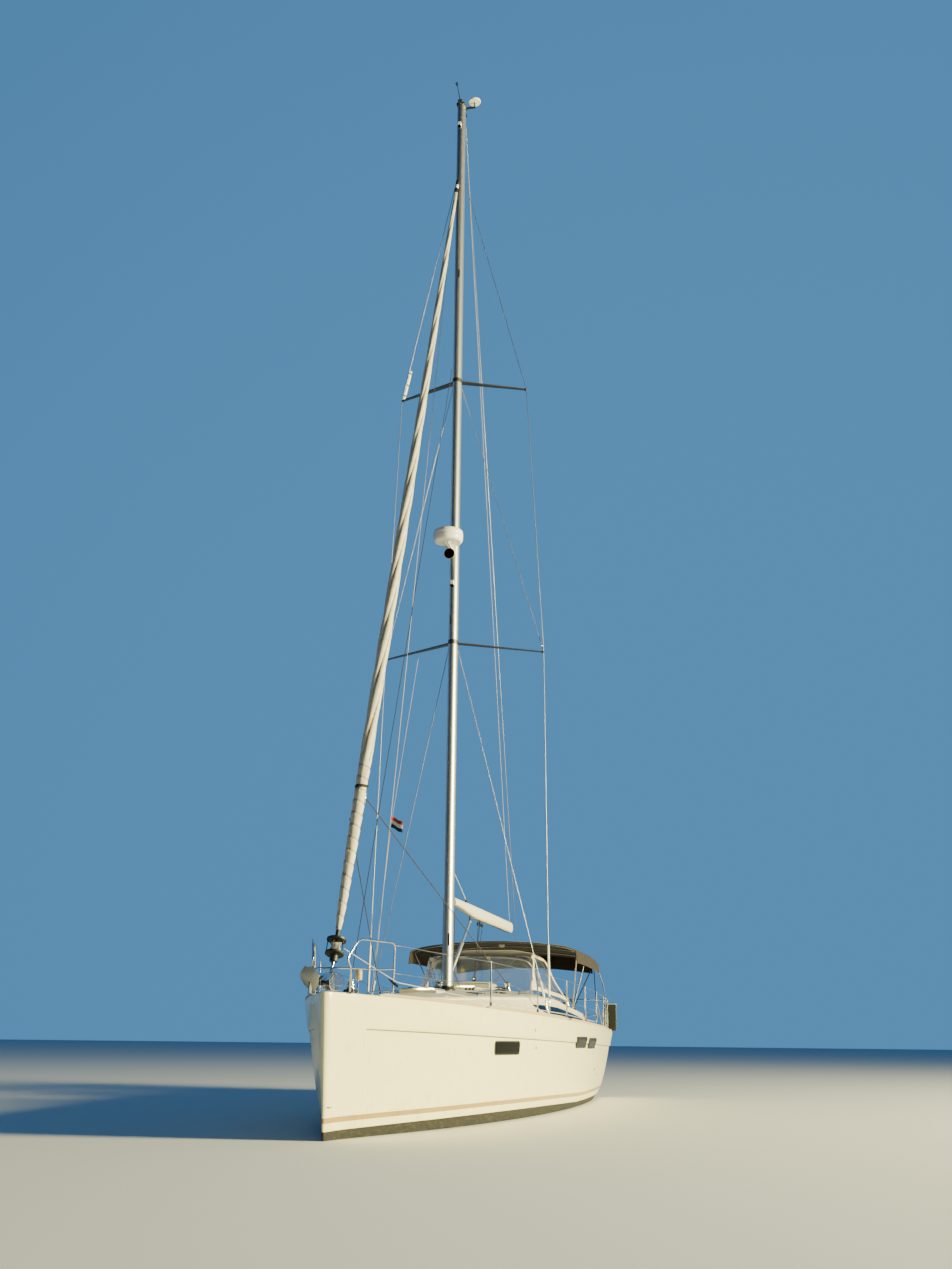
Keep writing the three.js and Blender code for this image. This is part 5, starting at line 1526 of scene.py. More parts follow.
# %% [markdown]
# ## Mast and spreaders
# The mast is one alloy extrusion, 236 by 168 mm, with a groove down its after face where the
# mainsail rolls away inside. Two pairs of swept spreaders push the shrouds out. The tips wear
# small boots so that sails don't chafe.

# %% Mast section, groove and fittings
MAST_LOW, MAST_HEAD = 1.98, 19.38
MAST_LONG, MAST_WIDE = 0.118, 0.084


def mast_aft(z):
    return 6.35 + 0.06 * (z - MAST_LOW) / (MAST_HEAD - MAST_LOW)


def mast_ring(z, grow=0.0, groove=True):
    """An oval section, with the sail groove at its after end."""
    ring = []
    for degrees in np.linspace(8, 352, 31):
        angle = math.radians(degrees)
        along, across = (MAST_LONG + grow) * math.cos(angle), (MAST_WIDE + grow) * math.sin(angle)
        ring.append(at(mast_aft(z) + along, across, z))
    if groove:
        for along, across in ((0.117, -0.007), (0.09, -0.005), (0.09, 0.005), (0.117, 0.007)):
            ring.append(at(mast_aft(z) + along, across, z))
    return ring


mast = Form().skin([mast_ring(z) for z in (1.845, 2.1, 5, 8, 11, 14, 17, MAST_HEAD - 0.002)])
collar = Form()
roof_at_mast = roof_up(6.35, 0)
flare = ((-0.03, 0.045), (0.012, 0.045), (0.03, 0.02), (0.07, 0.012))
collar.skin([mast_ring(roof_at_mast + up, grow, False) for up, grow in flare])

BOOM_UP, VANG_FOOT = 3.35, 2.21
pivot_aft = mast_aft(BOOM_UP) + MAST_LONG + 0.095
face_aft = mast_aft(VANG_FOOT) + MAST_LONG - 0.012
ears = Form()
ears.box(at(pivot_aft - 0.041, -0.029, BOOM_UP - 0.07), at(face_aft, 0.029, BOOM_UP + 0.07))


def pierced_ear(low, high):
    """A plate with a round nose about the pin's hole."""
    rim = [
        (pivot_aft + 0.02 * math.cos(a), 0.024 * math.sin(a))
        for a in np.linspace(-math.pi / 2, math.pi / 2, 13)
    ]
    outline = [(face_aft, -0.024), *rim, (face_aft, 0.024)]
    return [at(aft, y, low) for aft, y in outline], (0, 0, high - low)


for low, high in (
    (BOOM_UP + 0.04, BOOM_UP + 0.06), (BOOM_UP - 0.06, BOOM_UP - 0.04),
    (VANG_FOOT - 0.08, VANG_FOOT - 0.044)
):
    ears.prism(*pierced_ear(low, high))

MAST_FITTINGS = [
    {"z": 2.72, "y": 0.022, "high": 0.19, "wide": 0.03},
    {"z": 8.3, "y": -0.018, "high": 0.16, "wide": 0.028},
    {"z": 15.4, "y": 0.018, "high": 0.16, "wide": 0.028},
]
slots = Form()
for row in MAST_FITTINGS:
    front = mast_aft(row["z"]) - MAST_LONG * math.sqrt(1 - (row["y"] / MAST_WIDE) ** 2)

    def on_front(x, z, lift, row=row, front=front):
        return at(front - lift + 0.35 * abs(x), row["y"] + x, row["z"] + z)

    plate = ((0, -0.01), (0.001, 0.003), (0.01, 0.004))
    mouth = ((0, -0.004), (0.002, 0.0048), (0.008, 0.0046))
    slots.skin(stacked(row["wide"] + 0.02, row["high"] + 0.03, 0.02, plate, on_front), 0)
    slots.skin(stacked(row["wide"], row["high"], 0.014, mouth, on_front), 1)
build("mast_extrusion", mast, anodised, stands_for=["mast"], angle=25)
build("mast_collar", collar, black_cast, angle=50)
build("gooseneck_ears", ears, anodised_dark, bevel=0.003)
build("mast_exit_plates", slots, polished, black_cast, angle=50)
print("mast from", MAST_LOW, "to", MAST_HEAD)

# %% Spreaders
SPREADERS = [
    {"name": "spreaders_lower", "up": 7.9, "half": 1.49, "sweep": 0.83},
    {"name": "spreaders_upper", "up": 13.1, "half": 1.23, "sweep": 0.53},
]
WIRE = 0.006


def spreader_pair(up, half, sweep, **row):
    """Two aerofoil arms on a collar, with boots at the tips."""
    pair = Form()
    root = mast_aft(up)
    rings = []
    for t in np.linspace(0, 1, 12):
        chord, thick = 0.17 - 0.08 * t, 0.034 - 0.014 * t
        y = 0.03 + (half - 0.015 - 0.03) * t
        middle = root + 0.02 + sweep * y / half
        ring = []
        for angle in turns_of(16):
            along = -math.cos(angle) * chord / 2
            fullness = 1 - 0.45 * (along / chord + 0.5)
            ring.append(at(middle + along, y, up + math.sin(angle) * thick / 2 * fullness))
        rings.append(ring)
    arm = Form().skin(rings)
    pair.join(arm).join(arm.mirrored())
    clasp = ((-0.04, 0.001), (-0.036, 0.008), (0.036, 0.008), (0.04, 0.001))
    pair.skin([mast_ring(up + z, grow, False) for z, grow in clasp], 0)
    boots = Form()
    tip = at(root + 0.02 + sweep, half - 0.004, up)
    boots.ball(tip, 0.022, 1, 12)
    boots.box(tip - Vector((0.032, 0.03, 0.013)), tip + Vector((0.032, 0.0, 0.013)), 1)
    pair.join(boots).join(boots.mirrored())
    return pair


for row in SPREADERS:
    build(
        row["name"] + "_pair", spreader_pair(**row), anodised_dark, black_cast,
        stands_for=[row["name"]], angle=50
    )
print("spreaders", len(SPREADERS) * 2)

# %% [markdown]
# The masthead carries sheaves in a cast crown, a wind sensor on a leaning rod, and a disc aerial.
# The radar scanner is a white radome on a bracket ahead of the mast, with a loudhailer under it and
# the steaming light below.

# %% Masthead, radome and lights
def masthead_form():
    """Cast crown with its sheaves, wind sensor, disc aerial on a side arm, and the top light."""
    head, form = mast_aft(MAST_HEAD), Form()
    low = MAST_HEAD
    crown = [
        (-0.19, 0.02), (-0.17, 0.058), (0.2, 0.062), (0.33, 0.04), (0.33, 0.012), (0.2, 0.0005),
        (-0.15, 0.0005)
    ]
    form.prism([at(head + aft, -0.042, low + z) for aft, z in crown], (0, 0.084, 0))
    form.skin(stacked(0.26, 0.184, 0.05, ((0.004, 0.0004), (0, 0.006), (0, 0.036), (0.012, 0.048)),
                      lambda x, y, lift: at(head + 0.01 - x, y, low + lift)))
    for aft in (-0.13, 0.17):
        form.turned(
            [(0.036, -0.014), (0.03, 0), (0.036, 0.014)], at(head + aft, 0, low + 0.036), (0, 1, 0),
            20, 1
        )
    foot, tip = at(head - 0.15, 0, low + 0.05), at(head - 0.203, -0.058, low + 0.435)
    form.tube([foot, tip], (0.009, 0.006), 8)
    form.turned(
        [(0.016, -0.05), (0.02, -0.02), (0.014, 0.02), (0.004, 0.034)], tip - Vector((0, 0, 0.01)),
        sides=14
    )
    for angle in turns_of(3):
        arm = spoke(angle + 0.5)
        form.tube([tip, tip + arm * 0.032], 0.0025, 6)
        form.ball(tip + arm * 0.034, 0.009, 0, 8)
    vane = tip - Vector((0, 0, 0.045))
    form.tube([vane + Vector((0.03, 0, 0)), vane - Vector((0.036, 0, 0))], 0.0028, 6)
    form.box(vane - Vector((0.037, 0.002, 0.016)), vane - Vector((0.012, -0.002, -0.016)))
    disc = at(head + 0.09, 0.25, low)
    square = ((-0.016, 0.012), (0.016, 0.012), (0.016, 0.044), (-0.016, 0.044))
    form.skin([[disc + Vector((x, y, z)) for x, z in square] for y in (-0.21, 0.0, 0.016)])
    form.tube([disc + Vector((0, 0, 0.03)), disc + Vector((0, 0, 0.15))], 0.014, 10)
    form.turned(
        [
            (0.04, 0.14), (0.118, 0.144), (0.125, 0.155), (0.122, 0.178), (0.1, 0.195),
            (0.05, 0.204), (0, 0.205)
        ],
        disc, sides=32, kind=2
    )
    lamp = at(head + 0.02, 0, low + 0.058)
    form.turned(
        [(0.026, 0), (0.026, 0.018), (0.022, 0.022), (0.024, 0.05), (0.02, 0.058), (0, 0.06)], lamp,
        sides=18, kind=2
    )
    return form


build(
    "masthead_fittings", masthead_form(), black_cast, polished, white_enamel,
    stands_for=["masthead_unit"], angle=42
)

RADOME_UP = 9.74
radome_face = mast_aft(RADOME_UP) - MAST_LONG - 0.0013
radome = Form()
dome = [
    (0, -0.12), (0.21, -0.119), (0.228, -0.116), (0.25, -0.098), (0.26, -0.075), (0.264, -0.03),
    (0.2645, -0.008), (0.261, -0.004), (0.2615, 0.004), (0.265, 0.008), (0.264, 0.045),
    (0.258, 0.078), (0.244, 0.1), (0.215, 0.114), (0.15, 0.123), (0.07, 0.127), (0, 0.128)
]
radome.turned(dome, at(radome_face - 0.4, 0, RADOME_UP), sides=56)
bracket = Form()
bracket.box(
    at(radome_face, -0.034, RADOME_UP - 0.19), at(radome_face - 0.02, 0.034, RADOME_UP - 0.11)
)
for y in (-0.03, 0.026):
    outline = [(0, -0.188), (0, -0.138), (-0.52, -0.138), (-0.52, -0.15), (-0.2, -0.162)]
    bracket.prism([at(radome_face + aft, y, RADOME_UP + z) for aft, z in outline], (0, 0.004, 0))
bracket.box(
    at(radome_face - 0.06, -0.06, RADOME_UP - 0.138),
    at(radome_face - 0.52, 0.06, RADOME_UP - 0.124)
)
horn = at(radome_face - 0.19, 0, RADOME_UP - 0.268)
horn_way = Vector((1, 0, -0.136)).normalized()
bracket.turned(
    [
        (0.0, 0.0), (0.03, 0.0), (0.042, 0.012), (0.052, 0.05), (0.075, 0.092), (0.097, 0.106),
        (0.1, 0.112), (0.094, 0.112)
    ],
    horn, horn_way, 30, 2
)
bracket.turned([(0.094, 0.112), (0.07, 0.09), (0.04, 0.05), (0.0, 0.03)], horn, horn_way, 30, 1)
bracket.turned(
    [(0.0, 0.045), (0.02, 0.046), (0.024, 0.06), (0.014, 0.085), (0, 0.09)], horn, horn_way, 16, 2
)
bracket.box(horn + Vector((-0.02, -0.02, -0.01)), horn + Vector((0.02, 0.02, 0.09)), 1)
build("radome_shell", radome, white_enamel, stands_for=["radome"], angle=55)
build("radome_bracket", bracket, white_enamel, black_cast, hailer_tan, bevel=0.002)

lights = Form()
for z, reach in ((9.0, 0.06), (18.85, 0.07)):
    face = mast_aft(z) - MAST_LONG
    lights.box(at(face + 0.02, -0.03, z - 0.05), at(face - reach, 0.03, z + 0.035), 0)
    lights.turned(
        [(0.034, 0), (0.036, 0.02), (0.03, 0.03), (0, 0.034)], at(face - reach * 0.6, 0, z - 0.052),
        (0.25, 0, -1), 18, 1
    )
build("mast_lights", lights, white_enamel, smoked, bevel=0.004)
print("radome at", round(RADOME_UP, 2))

# %% [markdown]
# ## Standing rigging
# The cap shroud runs from the chainplate over both spreader tips to the mast. The lower shroud and
# the diagonal stop below each spreader. Turnbuckles set their tension. The backstay splits just
# under the bimini's cloth into two legs.

# %% Shrouds and backstay
CHAINPLATE = on_deck(7.05, 1.585, 0.006)
HOUNDS, CAP_HEAD = 17.7, 17.55
TANG_SIDE = MAST_WIDE + 0.0083


def spreader_tip(row):
    return at(mast_aft(row["up"]) + 0.02 + row["sweep"], row["half"] + 0.008, row["up"])


def turnbuckle(form, low, high, length, kind=1):
    """Two studs and a barrel along a wire, as one turned part."""
    way = (high - low).normalized()
    shape = [
        (0.004, 0.03), (0.011, 0.034), (0.011, 0.06), (0.0065, 0.066), (0.0065, 0.1),
        (0.0135, 0.105), (0.015, 0.12), (0.015, length - 0.06), (0.0135, length - 0.045),
        (0.0065, length - 0.04), (0.0085, length), (0.0085, length + 0.09), (0.006, length + 0.1)
    ]
    form.turned(shape, low, way, 12, kind)


def shroud_half():
    form = Form()
    low, high = (spreader_tip(row) for row in SPREADERS)
    head = at(mast_aft(CAP_HEAD), TANG_SIDE, CAP_HEAD)
    lower_up, diagonal_up = SPREADERS[0]["up"] - 0.15, SPREADERS[1]["up"] - 0.15
    lower_head = at(mast_aft(lower_up) + 0.02, TANG_SIDE, lower_up)
    diagonal_head = at(mast_aft(diagonal_up) + 0.02, TANG_SIDE, diagonal_up)
    for start, end in ((CHAINPLATE, low), (low, high), (high, head), (CHAINPLATE, lower_head)):
        form.tube([start, end], WIRE, 8)
    form.tube([low, diagonal_head], WIRE * 0.85, 8)
    for target in (low, lower_head):
        turnbuckle(form, CHAINPLATE, target, 0.34)
    turnbuckle(form, low, diagonal_head, 0.2)
    for place in (head, lower_head, diagonal_head):
        form.ball(place - Vector((0, 0.002, 0)), 0.013, 1, 10)
    form.skin(stacked(0.14, 0.044, 0.01, ((0, -0.03), (0, 0.006), (0.004, 0.01)),
                      lambda x, y, lift: CHAINPLATE + Vector((x, y, lift))), 1)
    form.box(CHAINPLATE + Vector((-0.035, -0.004, 0)), CHAINPLATE + Vector((0.035, 0.004, 0.05)), 1)
    return form


both_sides("shroud_set", shroud_half(), wire, polished, stands_for=["shrouds"], angle=50)

SPLIT = at(12.7, 0, 2.8)
QUARTER = at(13.33, 1.6, sheer(13.33) + 0.06)
backstay = Form()
backstay.tube([at(mast_aft(MAST_HEAD) + 0.339, 0, MAST_HEAD + 0.03), SPLIT], WIRE, 8)
plate = [(0.01, 0.006), (0.036, -0.03), (0.02, -0.04)]
plate += [(-y, z) for y, z in plate[::-1]]
backstay.prism([SPLIT + Vector((-0.006, y, z)) for y, z in plate], (0.012, 0, 0), 1)
build("backstay_wire", backstay, wire, polished, stands_for=["backstay_upper"], angle=50)
leg = Form()
leg.tube([SPLIT + Vector((0, 0.024, -0.024)), QUARTER], WIRE * 0.9, 8)
turnbuckle(leg, QUARTER, SPLIT, 0.36)
leg.turned(
    [(0.03, -0.06), (0.03, -0.05), (0.014, -0.044), (0.012, 0.006)], QUARTER, sides=14, kind=1
)
both_sides("backstay_leg_wire", leg, wire, polished, stands_for=["backstay_leg"], angle=50)

cap_head = at(mast_aft(CAP_HEAD), TANG_SIDE, CAP_HEAD)
along = (cap_head - spreader_tip(SPREADERS[1])).normalized()
beside = spreader_tip(SPREADERS[1]) + Vector((-0.058, 0, 0))
reflector = Form()
reflector.turned([(0.022, 0.05), (0.034, 0.056), (0.034, 0.644), (0.022, 0.65)], beside, along, 20)
for up in (0.115, 0.335, 0.575):
    reflector.turned(
        [(0.0338, 0), (0.0355, 0.002), (0.0355, 0.03), (0.0338, 0.032)], beside + along * up, along,
        20, 1
    )
for up in (0.13, 0.59):
    reflector.tube([beside + along * up, beside + along * up + Vector((0.052, 0, 0))], 0.008, 8, 1)
build(
    "reflector_tube", reflector.mirrored(), white_enamel, black_cast,
    stands_for=["radar_reflector"], angle=50
)
print("shrouds, backstay and reflector")

# %% [markdown]
# ## Furled headsail
# The genoa is rolled round its foil, which turns on the forestay. Each turn of cloth lies over the
# last at a slant, so the roll shows long helical folds with the strip of sun cover outside. The grey
# of the sun cover is laid only in the grooves between the folds and along the seam edges, so it is
# partly the strip and partly painted shade in the folds. A line tied round it above the clew keeps
# it shut, and the drum at its foot holds the furling line.

# %% Forestay line and drum
STAY_LOW = at(0.23, 0, 1.9)
STAY_HIGH = at(mast_aft(HOUNDS) - MAST_LONG - 0.0093, 0, HOUNDS)


def stay(z):
    return STAY_LOW.lerp(STAY_HIGH, (z - STAY_LOW.z) / (STAY_HIGH.z - STAY_LOW.z))


stay_way = (STAY_HIGH - STAY_LOW).normalized()


def along_stay(form, rows, kind=0, sides=24):
    """A turned part whose profile is (height over the waterline, radius)."""
    foot = stay(rows[0][0])
    form.turned(
        [(radius, (stay(z) - foot).length) for z, radius in rows], foot, stay_way, sides, kind
    )


drum_form = Form()
along_stay(
    drum_form,
    [
        (2.041, 0.03), (2.041, 0.048), (2.05, 0.05), (2.112, 0.05), (2.121, 0.06), (2.121, 0.114),
        (2.126, 0.119), (2.146, 0.119), (2.152, 0.104), (2.156, 0.05), (2.284, 0.046),
        (2.288, 0.11), (2.293, 0.122), (2.31, 0.124), (2.315, 0.114), (2.322, 0.05), (2.34, 0.028),
        (2.424, 0.026), (2.428, 0.02)
    ]
)
for angle in turns_of(5):
    reach = spoke(angle) * 0.106
    drum_form.tube([stay(2.14) + reach, stay(2.3) + reach], 0.006, 8)
line_turns = Form()
turns = [
    stay(2.17 + 0.105 * t) + spoke(50 * t) * (0.056 + 0.008 * math.sin(9 * t))
    for t in np.linspace(0, 1, 200)
]
line_turns.tube(turns, 0.0055, 6)
build(
    "furler_drum_cage", drum_form, black_cast, body="furler_body", stands_for=["furler_drum"],
    angle=40
)
build("furling_line_turns", line_turns, rope_pale, body="furler_body", angle=60)

toggle = Form()
cheek = ((0.0, 0), (0.054, 0), (0.05, 0.074), (0.012, 0.074))
for y in (-0.0125, 0.0125):
    toggle.prism([at(0.204 + x, y - 0.005, 1.876 + z) for x, z in cheek], (0, 0.01, 0))
toggle.box(at(0.258, -0.018, 1.93), at(0.206, 0.018, 1.95))
toggle.turned(
    [
        (0.017, -0.026), (0.017, -0.019), (0.008, -0.018), (0.008, 0.018), (0.017, 0.019),
        (0.017, 0.026)
    ],
    at(0.231, 0, 1.9), (0, 1, 0), 14
)
along_stay(
    toggle,
    [(1.94, 0.014), (1.99, 0.014), (2.022, 0.022), (2.034, 0.022), (2.036, 0.016), (2.0396, 0.016)],
    0, 16
)
build("stay_toggle", toggle, polished, stands_for=["forestay_toggle"], bevel=0.0015)

swivel = Form()
along_stay(
    swivel, [(17.085, 0.02), (17.085, 0.034), (17.11, 0.036), (17.18, 0.036), (17.19, 0.028)], 0, 20
)
along_stay(swivel, [(17.19, 0.028), (17.2, 0.034), (17.29, 0.034), (17.3, 0.028)], 1, 20)
along_stay(
    swivel,
    [(17.3, 0.028), (17.31, 0.036), (17.43, 0.036), (17.455, 0.03), (17.46, 0.012), (17.7, 0.008)],
    0, 20
)
build("halyard_swivel", swivel, black_cast, white_enamel, stands_for=["forestay_head"], angle=45)
print("furler drum and swivel")

# %% The roll of cloth
ROLL = [
    (2.43, 0.033), (2.56, 0.046), (2.8, 0.056), (3.5, 0.072), (4.3, 0.083), (7.0, 0.082),
    (9.0, 0.078), (11.0, 0.068), (13.0, 0.057), (15.0, 0.049), (16.2, 0.039), (17.08, 0.029)
]
TIE_UP = 4.36
STRANDS, STRAND_RISE, SEAM_RISE = 4, 3.6, 0.17


def roll_form():
    """Four strands laid like a rope above the tie, and close slanting seams below it."""
    form = Form()
    rings, marks, count = [], [], 48
    heights = [*np.arange(2.432, TIE_UP + 0.6, 0.014), *np.arange(TIE_UP + 0.62, 17.08, 0.04)]
    for z in heights:
        radius = float(np.interp(z, *zip(*ROLL)))
        strands = min(1.0, max(0.0, (z - TIE_UP - 0.1) / 0.5))
        rope_turn = 2 * math.pi * (z - 2.43) / STRAND_RISE
        seam_turn = -2 * math.pi * (z - 2.43) / SEAM_RISE
        pinch = 1 - 0.13 * math.exp(-(((z - TIE_UP) / 0.07) ** 2))
        ring, mark = [], []
        for angle in turns_of(count):
            phase = ((angle - rope_turn) * STRANDS / (2 * math.pi)) % 1.0
            swell = 0.26 * (math.sin(math.pi * phase) ** 0.6 - 0.7) * strands
            seam = ((angle - seam_turn) / (2 * math.pi)) % 1.0
            step = (0.15 * seam - 0.075) * (1 - strands)
            ripple = 0.05 * noise.noise(Vector((math.cos(angle) * 2, math.sin(angle) * 2, z * 2.2)))
            reach = radius * pinch * (0.98 + swell + step + ripple)
            ring.append(stay(z) + spoke(angle) * reach)
            # A face in a strand's groove or on a seam edge takes the grey: partly the sun cover,
            # partly painted shade in the fold.
            creased = phase < 0.1 if strands > 0.5 else seam < 0.13
            mark.append(int(creased))
        rings.append(ring)
        marks += mark
    form.skin(rings)
    form.kinds[: len(marks) - count] = marks[: len(marks) - count]
    return form


roll = build(
    "furled_headsail", roll_form(), sail_white, sun_cover_and_fold_shade, body="furler_body",
    stands_for=["headsail_roll"], angle=70
)

tie = Form()
for lift in (-0.014, 0.0, 0.014):
    ring = [
        stay(TIE_UP + lift) + Vector((math.cos(a), math.sin(a), 0.25 * math.sin(a + 1))) * 0.078
        for a in np.linspace(0, 2 * math.pi, 33)[:-1]
    ]
    for p in ring:
        p.z = stay(TIE_UP + lift).z + 0.004 * math.sin(20 * p.x)
    tie.tube(ring, 0.007, 8, 0, loop=True)
knot = stay(TIE_UP) + Vector((-0.02, 0.085, 0))
tie.ball(knot, 0.017, 0, 10)
build("headsail_tie", tie, rope_dark, body="furler_body", angle=60)
print("sail rolled up to", ROLL[-1][0], "m")

# %% [markdown]
# ## Boom, vang and mainsheet
# The mainsail furls inside the mast, so the boom is a bare enamelled extrusion with a white end
# casting. The vang is a sprung strut. The mainsheet joins the boom to a block on the hatch garage.

# %% Boom and vang
BOOM_HIGH, BOOM_WIDE = 0.108, 0.072
boom_first, boom_last = pivot_aft + 0.06, pivot_aft + 5.28
BOOM_DEPTHS = [(boom_first, 0.3), (7.03, 0.34), (8.0, 0.86), (8.35, 1.0)]


def boom_ring(aft, shrink=1.0):
    """A deep oval with flattened sides and a slot on top. Its underside rises to the gooseneck."""
    depth = float(np.interp(aft, *zip(*BOOM_DEPTHS)))
    ring = []
    for degrees in np.linspace(96, 444, 31):
        angle = math.radians(degrees)
        y = math.copysign(abs(math.cos(angle)) ** 0.75, math.cos(angle)) * BOOM_WIDE * shrink
        z = math.copysign(abs(math.sin(angle)) ** 0.75, math.sin(angle)) * BOOM_HIGH * shrink
        z *= depth if z < 0 else 1
        ring.append(at(aft, y, BOOM_UP + z))
    for y, z in ((0.006, 0.105), (0.005, 0.092), (-0.005, 0.092), (-0.006, 0.105)):
        ring.append(at(aft, y * shrink, BOOM_UP + z * shrink))
    return ring


boom = Form()
boom.skin([
    boom_ring(a, 0.9 + 0.1 * min(1, (a - boom_first) / 1.4))
    for a in (boom_first + 0.03, 7.03, 7.4, 7.7, 8.0, 8.35, 10.0, boom_last - 0.06)
])
caps = Form()
after_cap = [(-0.075, 1.0), (-0.06, 1.015), (-0.03, 1.0), (-0.004, 0.9), (0, 0.8)]
fore_cap = [(0, 0.86), (0.012, 0.91), (0.04, 0.91)]
for end, cap in ((boom_last, after_cap), (boom_first, fore_cap)):
    caps.skin([boom_ring(end + shift, shrink) for shift, shrink in cap])
knuckle = Form()
knuckle.box(
    at(boom_first + 0.03, -0.023, BOOM_UP - 0.031), at(pivot_aft - 0.022, 0.023, BOOM_UP + 0.031)
)
knuckle.turned(
    [(0.0125, -0.084), (0.0125, 0.07), (0.02, 0.07), (0.02, 0.082), (0.008, 0.084)],
    at(pivot_aft, 0, BOOM_UP), sides=18
)
SHEET_AFT, VANG_AFT = 8.88, 8.01
for aft, half, width in ((SHEET_AFT, 0.06, 0.014), (VANG_AFT, 0.04, 0.012)):
    low = BOOM_UP - BOOM_HIGH - (0.07 if aft == SHEET_AFT else 0.06)
    nose = [
        (aft + half * math.cos(a), low + 0.02 + 0.02 * math.sin(a))
        for a in np.linspace(math.pi, 2 * math.pi, 9)
    ]
    outline = [(aft - half, BOOM_UP - 0.07), *nose, (aft + half, BOOM_UP - 0.07)]
    knuckle.prism([at(x, -width, z) for x, z in outline], (0, 2 * width, 0))
build("boom_extrusion", boom, boom_enamel, body="boom_set", stands_for=["boom"], angle=30)
build("boom_ends", caps, white_enamel, body="boom_set", angle=40)
build("gooseneck_and_lugs", knuckle, anodised_dark, body="boom_set", bevel=0.003)

vang_low = at(pivot_aft, 0, VANG_FOOT)
vang_high = at(VANG_AFT, 0, BOOM_UP - BOOM_HIGH - 0.088)
vang_way = vang_high - vang_low
vang = Form()
shares = [(0.034, 0.54), (0.036, 0.545), (0.036, 0.56), (0.022, 0.563)]
sleeve = [(radius, vang_way.length * share) for radius, share in shares]
vang.turned([(0.016, 0), (0.034, 0.02), *sleeve], vang_low, vang_way.normalized(), 22)
vang.tube([vang_low.lerp(vang_high, 0.55), vang_high], 0.0215, 18)
vang.turned(
    [(0.0125, -0.09), (0.0125, 0.0), (0.022, 0.0), (0.022, 0.03), (0.01, 0.034)], vang_low, sides=16
)
vang.ball(vang_high, 0.026, 0, 14)
build("vang_strut", vang, anodised, body="boom_set", stands_for=["vang"], angle=45)
print("boom", round(boom_last - boom_first, 2), "m")

# %% [markdown]
# ## Canopies
# The bimini is one brown canvas stretched over three bent hoops. Its sides turn down in a short
# valance, and a band of canvas with two clear windows hangs at the back. Canvas on hoops is drawn
# as a closed skin through arches, and it dips a little between them, as stretched cloth does.

# %% Arches of the bimini
BIMINI_HALF, BIMINI_CROWN, BIMINI_FRONT, BIMINI_BACK = 1.66, 2.985, 10.0, 13.5
HOOPS = [10.3, 11.6, 13.0]
BIMINI_DROPS = [
    (BIMINI_FRONT, 0.026), (10.3, 0.004), (11.0, 0.0), (11.6, 0.002), (12.2, 0.006), (13.0, 0.03),
    (BIMINI_BACK, 0.07)
]
ARCH = [
    (-1, 0.425), (-0.985, 0.22), (-0.97, 0.185), (-0.94, 0.163), (-0.85, 0.113), (-0.72, 0.078),
    (-0.6, 0.054), (-0.45, 0.0304), (-0.3, 0.0135), (-0.15, 0.0034), (0, 0.0)
]


def bimini_arch(aft, inset=0.0):
    """Points from starboard to port, the inset taken towards the inside."""
    drop = float(np.interp(aft, *zip(*BIMINI_DROPS)))
    near = min(abs(aft - hoop) for hoop in HOOPS)
    sag = 0.012 * min(1, near / 0.5)
    points = []
    for share, fall in ARCH + [(-share, fall) for share, fall in ARCH[-2::-1]]:
        loose = sag * (1 - share**2)
        points.append(
            at(aft, share * (BIMINI_HALF - inset), BIMINI_CROWN - fall - drop - inset - loose)
        )
    return points


bimini = Form()
rings = []
for aft in np.linspace(BIMINI_FRONT, BIMINI_BACK, 42):
    outer, inner = bimini_arch(aft), bimini_arch(aft, 0.008)
    rings.append(outer + inner[::-1])
bimini.skin(rings)
around = len(rings[0])
for i in range((len(rings) - 1) * around):
    bimini.kinds[i] = int(i % around >= around // 2)
canopy = build(
    "bimini_canvas", bimini, canvas_brown, canvas_lining, stands_for=["bimini_canopy"], angle=60
)

hoops = Form()
foot_side = 1.35
foot_up = roof_up(11.5, foot_side) + 0.006
for hoop, foot in zip(HOOPS, (11.45, 11.5, 11.55)):
    arch = bimini_arch(hoop, 0.0228)[1:-1]
    hoops.tube(
        bent([at(foot, -foot_side, foot_up), *arch, at(foot, foot_side, foot_up)], 0.1, 4), TUBE, 12
    )
for side in (-1, 1):
    plate = [at(aft, side * foot_side, foot_up - 0.002) for aft in (11.42, 11.58)]
    hoops.tube(plate, 0.015, 12)
    for aft, lean in ((10.9, -0.25), (12.1, 0.3)):
        low = at(11.5 + lean * 0.3, side * (foot_side + 0.04), foot_up + 0.25)
        hoops.tube([low, at(aft, side * 1.49, 2.5)], 0.008, 8)
build("bimini_hoops", hoops, polished, stands_for=["bimini_frame"], angle=55)
print("bimini", round(BIMINI_BACK - BIMINI_FRONT, 2), "m long")

# %% Aft band with its windows
def aft_band(y):
    """Top and bottom of the band that hangs behind the bimini."""
    share = abs(y) / BIMINI_HALF
    top = BIMINI_CROWN - 0.07 - 0.15 * share**2
    return top - 0.004, top - 0.29


band_form, band_panes = Form(), Form()
columns = np.linspace(-1.5, 1.5, 49)
outer, inner = [], []
for y in columns:
    top, low = aft_band(y)
    outer.append([
        at(BIMINI_BACK - 0.006 + 0.05 * t, y, top + (low - top) * t) for t in np.linspace(0, 1, 9)
    ])
    inner.append([p + Vector((0.006, 0, 0)) for p in outer[-1]])
band_form.skin([o + i[::-1] for o, i in zip(outer, inner)])
band = build("bimini_aft_band", band_form, canvas_brown, angle=60)
for first, last in ((-1.23, -0.31), (0.31, 1.12)):
    top, low = aft_band((first + last) / 2)

    def on_band(x, z, lift, middle=(first + last) / 2, up=(top + low) / 2, fall=top - low):
        t = 0.5 - z / fall
        return at(BIMINI_BACK - 0.006 + 0.05 * t + lift, middle + x, up + z)

    band_panes.skin(
        stacked(last - first, 0.2, 0.05, ((0, -0.008), (0.0, 0.0025), (0.012, 0.003)), on_band)
    )
build("bimini_band_windows", band_panes, vinyl, angle=60)
